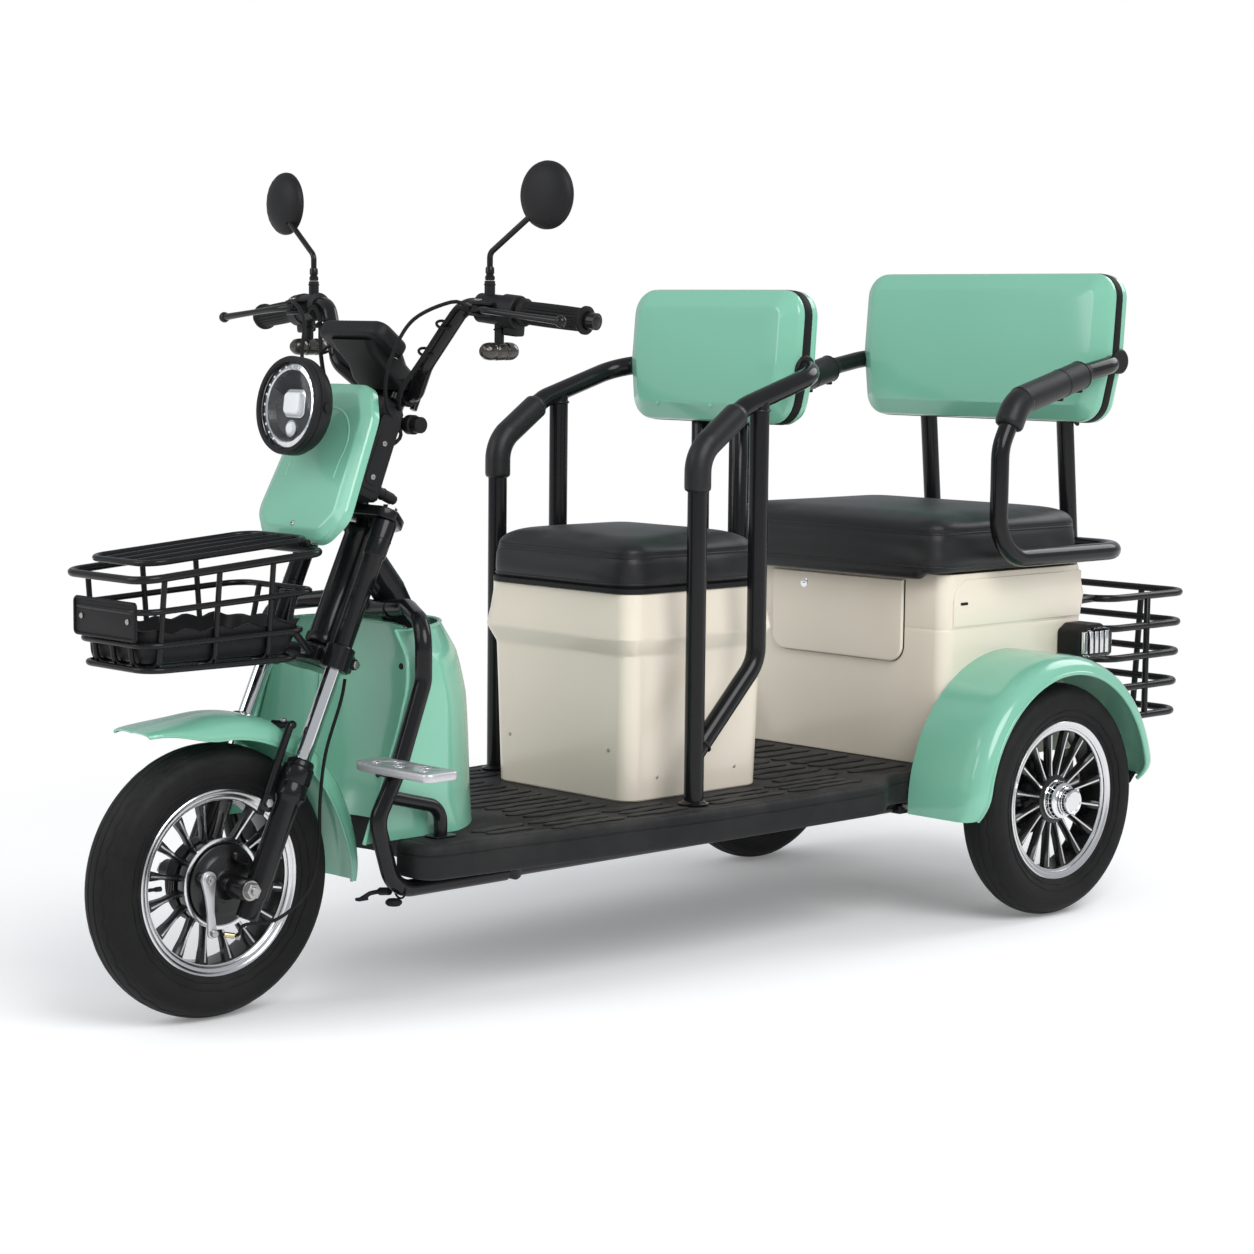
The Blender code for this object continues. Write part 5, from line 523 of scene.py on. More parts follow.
looks = {
    "mint": {
        "color": (0.205, 0.515, 0.370), "rough": 0.20, "spread": 0.05, "shade": 0.05, "grain": 90.0,
        "bump": 0.02, "bumpDepth": 0.0006, "shader": {"Coat Weight": 0.5, "Coat Roughness": 0.06}
    },
    "cream": {
        "color": (0.850, 0.768, 0.640), "rough": 0.24, "spread": 0.06, "shade": 0.05, "grain": 80.0,
        "bump": 0.02, "bumpDepth": 0.0006, "shader": {"Coat Weight": 0.35, "Coat Roughness": 0.08}
    },
    "blackPaint": {
        "color": (0.008, 0.008, 0.009), "rough": 0.17, "spread": 0.08, "shade": 0.3, "grain": 140.0,
        "bump": 0.03, "bumpDepth": 0.0004, "shader": {"Specular IOR Level": 0.28}
    },
    "blackWire": {
        "color": (0.008, 0.008, 0.009), "rough": 0.26, "spread": 0.10, "shade": 0.3, "grain": 220.0,
        "bump": 0.05, "bumpDepth": 0.0004, "shader": {"Specular IOR Level": 0.26}
    },
    "mattBlack": {
        "color": (0.011, 0.011, 0.012), "rough": 0.50, "spread": 0.12, "shade": 0.25, "grain": 900.0,
        "bump": 0.10, "bumpDepth": 0.0002, "shader": {"Specular IOR Level": 0.20}
    },
    "deck": {
        "color": (0.0125, 0.0128, 0.0138), "rough": 0.55, "spread": 0.14, "shade": 0.3, "pebble": 700.0,
        "bump": 0.16, "bumpDepth": 0.0003, "dust": 0.10, "shader": {"Specular IOR Level": 0.18}
    },
    "tyre": {
        "color": (0.0085, 0.0085, 0.009), "rough": 0.62, "spread": 0.14, "shade": 0.35, "grain": 600.0,
        "bump": 0.18, "bumpDepth": 0.0003, "dust": 0.07, "shader": {"Specular IOR Level": 0.16}
    },
    "rubber": {
        "color": (0.009, 0.009, 0.0095), "rough": 0.58, "spread": 0.12, "shade": 0.3, "grain": 800.0,
        "bump": 0.12, "bumpDepth": 0.0002, "shader": {"Specular IOR Level": 0.16}
    },
    "leatherette": {
        "color": (0.0085, 0.0085, 0.0095), "rough": 0.40, "spread": 0.12, "shade": 0.3, "pebble": 620.0,
        "bump": 0.22, "bumpDepth": 0.0003, "shader": {"Specular IOR Level": 0.34, "Sheen Weight": 0.04}
    },
    "thread": {
        "color": (0.012, 0.012, 0.013), "rough": 0.7, "spread": 0.1, "shade": 0.3, "grain": 2500.0,
        "bump": 0.3, "bumpDepth": 0.0002
    },
    "chrome": {
        "color": (0.80, 0.81, 0.82), "rough": 0.07, "spread": 0.05, "shade": 0.04, "grain": 300.0,
        "shader": {"Metallic": 1.0}
    },
    "polished": {
        "color": (0.70, 0.70, 0.71), "rough": 0.20, "spread": 0.14, "shade": 0.08, "grain": 500.0,
        "bump": 0.04, "bumpDepth": 0.0002, "shader": {"Metallic": 1.0}
    },
    "castAlloy": {
        "color": (0.62, 0.62, 0.635), "rough": 0.40, "spread": 0.16, "shade": 0.12, "grain": 700.0,
        "bump": 0.12, "bumpDepth": 0.0003, "shader": {"Metallic": 0.85}
    },
    "steel": {
        "color": (0.42, 0.41, 0.40), "rough": 0.34, "spread": 0.2, "shade": 0.25, "grain": 900.0,
        "bump": 0.08, "bumpDepth": 0.0002, "shader": {"Metallic": 1.0}
    },
    "brass": {
        "color": (0.62, 0.50, 0.28), "rough": 0.34, "spread": 0.2, "shade": 0.2, "grain": 900.0,
        "shader": {"Metallic": 1.0}
    },
    "wheelBlack": {
        "color": (0.0095, 0.0095, 0.010), "rough": 0.24, "spread": 0.12, "shade": 0.3, "grain": 260.0,
        "bump": 0.05, "bumpDepth": 0.0004, "dust": 0.03, "shader": {"Specular IOR Level": 0.42}
    },
    "reflector": {
        "color": (0.78, 0.79, 0.80), "rough": 0.13, "spread": 0.08, "shade": 0.05, "grain": 300.0,
        "shader": {"Metallic": 1.0}
    },
    "lampDark": {
        "color": (0.030, 0.031, 0.034), "rough": 0.25, "spread": 0.1, "shade": 0.3, "grain": 300.0,
        "bump": 0.05
    },
    "lampWhite": {
        "color": (0.86, 0.88, 0.90), "rough": 0.18, "spread": 0.06, "shade": 0.05, "grain": 260.0,
        "shader": {"Emission Color": (0.95, 0.97, 1.0, 1.0), "Emission Strength": 0.25}
    },
    "lensClear": {
        "color": (0.97, 0.98, 0.985), "rough": 0.03, "spread": 0.02, "shade": 0.02, "grain": 120.0,
        "shader": {"Transmission Weight": 1.0, "IOR": 1.25}
    },
    "lensRed": {
        "color": (0.42, 0.010, 0.012), "rough": 0.10, "spread": 0.05, "shade": 0.1, "grain": 200.0,
        "shader": {"Transmission Weight": 0.55, "IOR": 1.45}
    },
    "lensSmoke": {
        "color": (0.030, 0.026, 0.022), "rough": 0.16, "spread": 0.06, "shade": 0.2, "grain": 260.0,
        "shader": {"Coat Weight": 0.5}
    },
    "mirrorGlass": {
        "color": (0.80, 0.82, 0.84), "rough": 0.03, "spread": 0.02, "shade": 0.03, "grain": 40.0,
        "shader": {"Metallic": 1.0}
    },
    "screen": {
        "color": (0.010, 0.012, 0.014), "rough": 0.08, "spread": 0.04, "shade": 0.2, "grain": 120.0,
        "shader": {"Coat Weight": 0.6}
    }
}
mats = {name: finish(name, look) for name, look in looks.items()}
print("finishes ready:", len(mats))


# wheels
wheel = {
    "treadHalf": 0.0335, "treadDrop": 0.0115, "around": 324, "scallops": 36, "grooveDepth": 0.0020,
    "rimLip": 0.1395, "barrel": 0.1205, "spokes": 16, "frontRoot": 0.060, "rearRoot": 0.040,
    "spokeRootFace": 0.014, "spokeTipFace": 0.0235, "spokeDepth": 0.016
}


def tyreProfile():
    # radius and offset from the crown to the bead, one side
    points = []
    for i in range(30):
        y = wheel["treadHalf"] * i / 29
        points.append((layout["axleHeight"] - wheel["treadDrop"] * (y / wheel["treadHalf"]) ** 2.3, y))
    wall = [
        Vector((r, y, 0.0))
        for r, y in (
            (0.1935, 0.0335), (0.1868, 0.0385), (0.1755, 0.0408), (0.1630, 0.0398), (0.1515, 0.0362),
            (0.1440, 0.0325), (0.1400, 0.0308), (0.1345, 0.0270)
        )
    ]
    points += [(p.x, p.y) for p in smoothThrough(wall, 0.0022)[1:]]
    return points


def treadCut(y, angle):
    # scalloped shoulder groove, faint outer arcs and two straight grooves
    swing = abs(math.sin(angle * wheel["scallops"] / 2))
    shoulder = 0.0195 + 0.0042 * swing
    arc = 0.0282 + 0.0038 * abs(math.cos(angle * wheel["scallops"] / 2))
    cut = wheel["grooveDepth"] * math.exp(-((y - shoulder) / 0.0011) ** 2)
    cut += 0.0008 * math.exp(-((y - arc) / 0.0009) ** 2)
    cut += wheel["grooveDepth"] * 0.9 * math.exp(-((y - 0.0070) / 0.0011) ** 2)
    if y > shoulder:
        cut += 0.0006
    return cut


def addTyre(name, centre, body, node):
    half = tyreProfile()
    outline = [(r, -y) for r, y in reversed(half[1:])] + half
    loops = []
    for i in range(wheel["around"]):
        angle = 2 * math.pi * i / wheel["around"]
        loop = []
        for r, y in outline:
            radius = r - (treadCut(abs(y), angle) if r > 0.186 else 0.0)
            loop.append(centre + Vector((radius * math.cos(angle), y, radius * math.sin(angle))))
        loops.append(loop)
    shape = Shape()
    shape.loft(loops, ring=True)
    for side in (1, -1):
        for radius, y, thick in (
            (0.1600, 0.0390, 0.0011), (0.1490, 0.0349, 0.0009), (0.1815, 0.0398, 0.0008)
        ):
            shape.bead(centre + sideways(y * side), leftward, radius, thick)
    shape.piece(name, [mats["tyre"]], body, [node], "tyre_rubber", smooth=50.0)


def wheelFrame(centre, side):
    # z outward on the wheel's face
    return axes(centre, onward, upward(-side), sideways(side))


def spokeFace(share):
    # height of a spoke's face from its root to its tip
    return wheel["spokeRootFace"] + (wheel["spokeTipFace"] - wheel["spokeRootFace"]) * share ** 1.3


def addRim(name, centre, side, body, node, root):
    place = wheelFrame(centre, side)
    lip = wheel["rimLip"]
    edge = [
        (lip - 0.0003, 0.0294), (lip + 0.0002, 0.0312), (lip - 0.0012, 0.0322), (lip - 0.0040, 0.0318),
        (lip - 0.0058, 0.0300), (lip - 0.0080, 0.0292)
    ]
    edge += [
        (lip - 0.0112, 0.0292), (lip - 0.0124, 0.0284), (lip - 0.0128, 0.0262), (lip - 0.0148, 0.0246),
        (lip - 0.0165, 0.0244), (lip - 0.0172, 0.0225)
    ]
    back = [(lip - 0.0140, 0.0225), (lip - 0.0080, 0.0262)]
    shape = Shape()
    shape.lathe(edge + back, place, 0, 128, ring=True)
    shape.lathe([(r, -h) for r, h in edge + back], place, 0, 128, ring=True)
    shape.piece(name + "Lip", [mats["polished"]], body, slotName="bright_alloy")
    drop = wheel["barrel"]
    shape = Shape()
    shape.lathe(
        [
            (lip - 0.0172, 0.0226), (drop + 0.0008, 0.0170), (drop, 0.0), (drop + 0.0008, -0.0170),
            (lip - 0.0172, -0.0226), (lip - 0.0085, -0.0258), (drop + 0.0060, 0.0),
            (lip - 0.0085, 0.0258)
        ],
        place, 0, 128, ring=True
    )
    bright = Shape()
    for i in range(wheel["spokes"]):
        turn = Matrix.Rotation(2 * math.pi * (i + 0.5) / wheel["spokes"], 4, "Z")
        loops = []
        for k in range(9):
            share = k / 8
            radius = root + (drop + 0.002 - root) * share
            width = 0.0062 - 0.0026 * math.sin(math.pi * min(share * 1.2, 1.0)) + 0.0016 * share ** 3
            face = spokeFace(share)
            low = face - wheel["spokeDepth"]
            loops.append(
                [
                    (radius, -width, low + 0.003), (radius, -width * 0.5, low),
                    (radius, width * 0.5, low), (radius, width, low + 0.003),
                    (radius, width, face - 0.0028), (radius, width * 0.55, face),
                    (radius, -width * 0.55, face), (radius, -width, face - 0.0028)
                ]
            )
        shape.loft(loops, 0, place @ turn)
        strip = []
        for k in range(9):
            share = 0.04 + 0.94 * k / 8
            radius = root + (drop - root) * share
            face = spokeFace(share)
            half = 0.0017
            strip.append(
                [
                    (radius, -half, face - 0.0010), (radius, half, face - 0.0010),
                    (radius, half * 0.8, face + 0.0006), (radius, -half * 0.8, face + 0.0006)
                ]
            )
        bright.loft(strip, 0, place @ turn)
    shape.piece(name + "Web", [mats["wheelBlack"]], body, [node], "black_alloy")
    bright.piece(name + "SpokeEdges", [mats["polished"]], body, slotName="bright_alloy")
    valve = Shape()
    stem = place @ Vector((drop - 0.001, 0.0, 0.006))
    valve.rod(stem, place @ Vector((drop - 0.028, 0.0, 0.010)), 0.0028, 0, 16)
    valve.rod(
        place @ Vector((drop - 0.020, 0.0, 0.0089)), place @ Vector((drop - 0.030, 0.0, 0.0103)),
        0.0038, 1, 16
    )
    valve.piece(name + "Valve", [mats["rubber"], mats["blackPaint"]], body)


def addFrontHub():
    place = wheelFrame(frontAxle, 1)
    hub = Shape()
    outline = [
        (0.0, -0.0440), (0.0210, -0.0440), (0.0220, -0.0425), (0.0225, -0.0260), (0.0300, -0.0225),
        (0.0420, -0.0205)
    ]
    for i in range(6):
        fin = i * 0.0042
        outline += [(0.0430, -0.0195 + fin), (0.0640, -0.0190 + fin)]
        outline += [(0.0640, -0.0172 + fin), (0.0450, -0.0168 + fin)]
    outline += [
        (0.0610, 0.0080), (0.0640, 0.0150), (0.0665, 0.0300), (0.0662, 0.0352), (0.0600, 0.0352),
        (0.0597, 0.0098), (0.0, 0.0096)
    ]
    hub.lathe(outline, place, 0, 96)
    hub.piece("frontHubFins", [mats["wheelBlack"]], "wheel_front", slotName="black_alloy")
    ring = Shape()
    ring.lathe(
        [
            (0.0612, 0.0340), (0.0672, 0.0332), (0.0682, 0.0344), (0.0680, 0.0362), (0.0640, 0.0368),
            (0.0614, 0.0360)
        ],
        place, 0, 96, ring=True
    )
    ring.piece("frontDrumRing", [mats["polished"]], "wheel_front", slotName="bright_alloy")


# one web of the rear hub, from its foot to its top
hubWeb = (
    ((0.040, -0.004, -0.022), (0.068, -0.004, -0.022), (0.068, 0.004, -0.022), (0.040, 0.004, -0.022)),
    ((0.040, -0.003, -0.012), (0.060, -0.003, -0.014), (0.060, 0.003, -0.014), (0.040, 0.003, -0.012))
)


def addRearHub(label, side, body, place):
    hub = Shape()
    hub.lathe(
        [
            (0.0, -0.0320), (0.0420, -0.0320), (0.0440, -0.0300), (0.0440, 0.0100), (0.0425, 0.0150),
            (0.0380, 0.0168), (0.0, 0.0168)
        ],
        place, 0, 72
    )
    for i in range(8):
        turn = place @ Matrix.Rotation(math.pi * i / 4, 4, "Z")
        hub.loft([[turn @ Vector(p) for p in loop] for loop in hubWeb])
    hub.piece(label + "HubShell", [mats["wheelBlack"]], body, slotName="black_alloy")
    cap = Shape()
    cap.lathe(
        [
            (0.0, 0.0168), (0.0338, 0.0168), (0.0342, 0.0185), (0.0325, 0.0200), (0.0322, 0.0335),
            (0.0312, 0.0352), (0.0262, 0.0362), (0.0242, 0.0385), (0.0240, 0.0420), (0.0228, 0.0432),
            (0.0226, 0.0552), (0.0216, 0.0575), (0.0180, 0.0582), (0.0170, 0.0572), (0.0120, 0.0570),
            (0.0, 0.0574)
        ],
        place, 0, 72
    )
    for y, radius in ((0.0262, 0.0324), (0.0472, 0.0228)):
        cap.bead(place @ upward(y), sideways(side), radius, 0.0011)
    cap.piece(label + "HubCap", [mats["chrome"]], body, slotName="bright_alloy")


def addWheels():
    addTyre("frontTyreSkin", frontAxle, "wheel_front", "front_tyre")
    addRim("frontWheel", frontAxle, 1, "wheel_front", "front_rim", wheel["frontRoot"])
    addFrontHub()
    for label, side in sides:
        centre = at(0.0, layout["halfTrack"] * side, layout["axleHeight"])
        body = "wheel_rear_" + label
        addTyre(label + "TyreSkin", centre, body, "rear_tyre_" + label)
        addRim(label + "Wheel", centre, side, body, "rear_rim_" + label, wheel["rearRoot"])
        addRearHub(label, side, body, wheelFrame(centre, side))


addWheels()
print("wheels ready")


# sprung front fork, brake and mudguard
fork = {
    "stanchion": 0.013, "legTop": 0.2947,
    "lugOut": 0.105, "clamp": 0.0225, "yokeLow": 0.055, "yokeHigh": 0.092,
    "camX": 0.041, "camZ": 0.014, "armTipX": 0.0354, "armTipZ": -0.0655, "cableRadius": 0.0026,
}


def legFrame(side):
    # x forward, z up the leg
    return axes(raked(0.0, layout["legHalf"] * side), rakeForward, leftward, rakeUp)


def stemFrame():
    return axes(raked(0.0, 0.0, -layout["stemSetback"]), rakeForward, leftward, rakeUp)


def addFork():
    for label, side in sides:
        place = legFrame(side)
        tube = Shape()
        tube.lathe(
            [
                (0.0, -0.236), (fork["stanchion"], -0.236), (fork["stanchion"], fork["legTop"] - 0.002),
                (0.011, fork["legTop"]), (0.0, fork["legTop"])
            ],
            place, 0, 48
        )
        tube.piece(
            "stanchionTube" + label.title(), [mats["chrome"]], "steering", ["stanchion_" + label],
            "chrome_tube"
        )
        cover = Shape()
        cover.lathe(
            [
                (0.0134, 0.0925), (0.0150, 0.0925), (0.0156, 0.0940), (0.0156, 0.2350),
                (0.0178, 0.2380), (0.0182, 0.2400), (0.0182, 0.2920), (0.0175, 0.2938), (0.0134, 0.2938)
            ],
            place, 0, 48, ring=True
        )
        for along, radius in ((0.130, 0.0156), (0.185, 0.0156), (0.265, 0.0182)):
            cover.bead(place @ upward(along), rakeUp, radius, 0.0008)
        cover.piece("forkCover" + label.title(), [mats["blackPaint"]], "steering", slotName="black_paint")
        leg = Shape()
        outline = [
            (0.0, -0.3350), (0.0140, -0.3350), (0.0160, -0.3335), (0.0165, -0.3310), (0.0168, -0.3050),
            (0.0185, -0.2960), (0.0185, -0.1560), (0.0205, -0.1500), (0.0232, -0.1455),
            (0.0235, -0.1430), (0.0235, -0.1270), (0.0225, -0.1255), (0.0225, -0.1225),
            (0.0235, -0.1210), (0.0235, -0.1010), (0.0228, -0.0985), (0.0205, -0.0965),
            (0.0200, -0.0900), (0.0178, -0.0872), (0.0140, -0.0862), (0.0133, -0.0880),
            (0.0133, -0.2300), (0.0, -0.2300)
        ]
        leg.lathe(outline, place, 0, 56)
        axle = frontAxle
        leg.rod(
            axle + sideways(side * 0.0658), axle + sideways(side * fork["lugOut"]), 0.0170, 0, 40,
            0.0015
        )
        boss = place @ Vector((-0.020, 0.0, -0.300))
        leg.rod(boss, boss + rakeUp * 0.030, 0.0062, 0, 20)
        leg.piece(
            "forkLeg" + label.title(), [mats["blackPaint"]], "fork_lowers", ["fork_lower_" + label],
            "black_paint"
        )
        hardware = Shape()
        out = axle + sideways(side * fork["lugOut"])
        across = sideways(side)
        hardware.rod(out, out + across * 0.0018, 0.0150, 0, 32, 0.0004)
        hardware.hexNut(out + across * 0.0018, across, 0.0125, 0.0085)
        hardware.rod(out + across * 0.009, out + across * 0.0145, 0.0062, 0, 24)
        hardware.rod(axle + sideways(side * 0.0535), axle + sideways(side * 0.0655), 0.0105, 0, 32)
        hardware.piece("axleNut" + label.title(), [mats["steel"]], "fork_lowers")


def addLowerYoke():
    yoke = Shape()
    for side in (1, -1):
        yoke.lathe(
            [
                (0.0135, fork["yokeLow"]), (fork["clamp"] - 0.0015, fork["yokeLow"]),
                (fork["clamp"], fork["yokeLow"] + 0.0015), (fork["clamp"], fork["yokeHigh"] - 0.0015),
                (fork["clamp"] - 0.0015, fork["yokeHigh"]), (0.0135, fork["yokeHigh"])
            ],
            legFrame(side), 0, 48, ring=True
        )
        bolt = raked(0.0735, layout["legHalf"] * side, -0.024)
        yoke.rod(bolt + sideways(-0.014), bolt + sideways(0.014), 0.0085, 0, 24)
        yoke.hexNut(bolt + sideways(side * 0.014), sideways(side), 0.0065, 0.0055, 1)
    plate = [
        (-0.052, -0.050), (-0.040, -0.078), (0.004, -0.082), (0.012, -0.060), (0.012, 0.060),
        (0.004, 0.082), (-0.040, 0.078), (-0.052, 0.050)
    ]
    yoke.slab(roundedFlat(plate, 0.016, 5), 0.0615, 0.0865, 0, legFrame(0), ease=0.003)
    yoke.lathe(
        [
            (0.0, 0.0600), (0.030, 0.0600), (0.0310, 0.0615), (0.0310, 0.0930), (0.0265, 0.0960),
            (0.015, 0.0962), (0.015, 0.300), (0.0, 0.300)
        ],
        stemFrame(), 0, 48
    )
    yoke.piece(
        "lowerYokeCasting", [mats["blackPaint"], mats["steel"]], "steering", ["lower_yoke"],
        "black_paint"
    )


addFork()
addLowerYoke()


def addBrake():
    axle = frontAxle
    place = wheelFrame(axle, 1)
    plate = Shape()
    plate.lathe(
        [
            (0.0, 0.0108), (0.0560, 0.0108), (0.0575, 0.0130), (0.0575, 0.0360), (0.0590, 0.0372),
            (0.0592, 0.0392), (0.0570, 0.0405), (0.0520, 0.0412), (0.0440, 0.0450), (0.0420, 0.0462),
            (0.0260, 0.0490), (0.0225, 0.0508), (0.0215, 0.0530), (0.0120, 0.0536), (0.0, 0.0536)
        ],
        place, 0, 96
    )
    cam = axle + Vector((fork["camX"], 0.0, fork["camZ"]))
    plate.rod(cam + sideways(0.030), cam + sideways(0.0552), 0.0112, 0, 40, 0.0012)
    web = [
        (fork["camX"] - 0.012, fork["camZ"] + 0.011), (fork["camX"] + 0.010, fork["camZ"] + 0.002),
        (0.010, -0.020), (-0.016, 0.004)
    ]
    face = axes(axle, onward, skyward, sideways(-1.0))
    plate.slab(roundedFlat(web, 0.006, 4), -0.0485, -0.0400, 0, face, ease=0.0015)
    stop = axle + Vector((-0.020, 0.046, 0.038))
    plate.slab(
        roundRect(0.014, 0.006, 0.005, 4), -0.012, 0.006, 0,
        axes(stop, rakeForward, rakeUp, sideways(-1.0)), ease=0.001
    )
    plate.piece(
        "brakePlateCasting", [mats["wheelBlack"]], "fork_lowers", ["front_brake_plate"], "black_alloy"
    )
    tip = axle + Vector((fork["armTipX"], 0.0, fork["armTipZ"]))
    arm = Shape()
    run = tip - cam
    across = Vector((-run.z, 0.0, run.x)).normalized()
    outline = []
    for i in range(13):
        angle = math.pi * i / 12
        outline.append(cam + (across * math.cos(angle) - run.normalized() * math.sin(angle)) * 0.0128)
    for share, half in ((0.30, 0.0082), (0.62, 0.0058)):
        outline.append(cam + run * share - across * half)
    for i in range(13):
        angle = math.pi * i / 12
        outline.append(tip + (across * -math.cos(angle) + run.normalized() * math.sin(angle)) * 0.0078)
    for share, half in ((0.62, 0.0058), (0.30, 0.0082)):
        outline.append(cam + run * share + across * half)
    flat = axes(Vector(), onward, skyward, sideways(-1.0))
    arm.slab([(p.x, p.z, 0.0) for p in outline], -0.0612, -0.0560, 0, flat, ease=0.0011)
    arm.rod(cam + sideways(0.0556), cam + sideways(0.0632), 0.0098, 0, 40, 0.0012)
    arm.hexNut(cam + sideways(0.0632), leftward, 0.0074, 0.0050, 1)
    arm.rod(cam + sideways(0.0682), cam + sideways(0.0708), 0.0040, 1, 24)
    arm.rod(tip + sideways(0.0540), tip + sideways(0.0680), 0.0056, 1, 28, 0.0008)
    arm.piece(
        "brakeArmForging", [mats["castAlloy"], mats["steel"]], "brake_arm", ["front_brake_arm"],
        "lever_alloy"
    )
    return tip + sideways(0.0643)


armTip = addBrake()


def addBrakeCable():
    spots = (
        (0.0547, 0.060, -0.045), (0.020, 0.062, -0.050), (-0.060, 0.066, -0.052),
        (-0.130, 0.078, -0.062), (-0.200, 0.100, -0.072), (-0.265, 0.117, -0.066),
        (-0.320, 0.116, -0.030), (-0.345, 0.108, 0.018)
    )
    route = [raked(*spot) for spot in spots]
    end = Vector((armTip.x, 0.0643, armTip.z))
    route += [end + Vector((-0.030, 0.0157, -0.004)), end + Vector((-0.0085, 0.002, -0.001))]
    path = smoothThrough(route, 0.006)
    run = Shape()
    run.tube(path, fork["cableRadius"], 0, 16)
    cable = run.build("frontBrakeCableRun", [mats["rubber"]], 180.0)
    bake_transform(cable)
    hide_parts("front_brake_cable")
    ends = Shape()
    way = (path[-1] - path[-4]).normalized()
    ends.rod(path[-1] - way * 0.022, path[-1] - way * 0.006, 0.0042, 0, 24)
    ends.hexNut(path[-1] - way * 0.030, way, 0.0056, 0.0060, 1)
    ends.piece("cableAdjuster", [mats["brass"], mats["steel"]], "fork_lowers")


addBrakeCable()

guard = {
    "radius": 0.252, "thick": 0.003, "half": 0.056, "skirt": 0.034, "tipSkirt": 0.006,
    "tailSkirt": 0.018, "start": 60.0, "end": 186.0, "tipRise": 0.020, "stay": 0.006
}


def addMudguard():
    axle = frontAxle
    loops = []
    steps = 64
    for i in range(steps + 1):
        share = i / steps
        angle = math.radians(guard["start"] + (guard["end"] - guard["start"]) * share)
        rise = guard["tipRise"] * max(0.0, 1.0 - share / 0.18) ** 2
        grow = min(1.0, share / 0.22)
        grow = grow * grow * (3 - 2 * grow)
        skirt = guard["tipSkirt"] + (guard["skirt"] - guard["tipSkirt"]) * grow
        if share > 0.75:
            skirt += (guard["tailSkirt"] - guard["skirt"]) * ((share - 0.75) / 0.25) ** 1.5
        half = guard["half"] * (0.80 + 0.20 * min(1.0, share / 0.10) ** 0.5)
        half *= 1.0 - 0.10 * max(0.0, (share - 0.93) / 0.07) ** 2
        outward = Vector((math.cos(angle), 0.0, math.sin(angle)))
        centre = axle + outward * rise
        section = []
        for inner in (0.0, guard["thick"]):
            line = []
            for k in range(25):
                t = -1.0 + 2.0 * k / 24
                bend = abs(t) ** 3.2
                y = (half - inner) * math.sin(t * math.pi / 2 * (0.75 + 0.25 * abs(t)))
                radius = guard["radius"] - inner - skirt * bend - 0.0015 * math.exp(-(t / 0.10) ** 2)
                line.append(centre + outward * radius + sideways(y))
            section.append(line)
        loops.append(section[0] + list(reversed(section[1])))
    shell = Shape()
    shell.loft(loops)
    for k in (0, 24):
        edge = [(loop[k] + loop[-1 - k]) / 2 for loop in loops]
        shell.tube(edge, 0.0024, 0, 12)
    shell.piece(
        "mudguardShell", [mats["mint"]], "fork_lowers", ["front_mudguard"], "mint_panel", smooth=60.0
    )
    stays = Shape()
    angle = math.radians(113.0)
    for side in (1, -1):
        top = axle + Vector((math.cos(angle), 0.0, math.sin(angle))) * (guard["radius"] - 0.004)
        seat = raked(-0.165, 0.072 * side, 0.031)
        bend = raked(-0.042, 0.070 * side, 0.031)
        path = rounded(
            [
                top + sideways(0.030 * side), top + Vector((-0.012, 0.066 * side, 0.0)), bend, seat,
                seat - rakeUp * 0.020
            ],
            0.020, 8
        )
        stays.tube(path, guard["stay"], 0, 18)
        stays.slab(
            roundRect(0.011, 0.013, 0.006), -0.002, 0.002, 0,
            axes(seat + sideways(0.008 * side), rakeForward, rakeUp, sideways(-1.0)), ease=0.0006
        )
        stays.hexNut(seat + sideways(0.010 * side), sideways(side), 0.0068, 0.0052, 1)
        foot = top + Vector((-0.004, 0.050 * side, 0.004))
        stays.rod(
            foot, foot + Vector((math.cos(angle), 0.0, math.sin(angle))) * 0.006, 0.0052, 1, 20, 0.0015
        )
    stays.piece("mudguardStays", [mats["blackPaint"], mats["steel"]], "fork_lowers", slotName="black_paint")


addMudguard()
print("fork, brake and mudguard ready")


# steering column, panel and headlamp
column = {
    "housingLow": 0.3123, "housingHigh": 0.470, "housingHalf": 0.080, "housingTaper": 0.010,
    "housingBack": 0.0177, "panelBack": 0.078, "panelFace": 0.100,
    "panelSides": ((0.222, 0.072), (0.262, 0.106), (0.425, 0.090), (0.478, 0.058)), "panelCorner": 0.036
}
lamp = {"x": 1.405, "z": 0.905, "tilt": math.radians(7.3), "radius": 0.074, "flutes": 20}


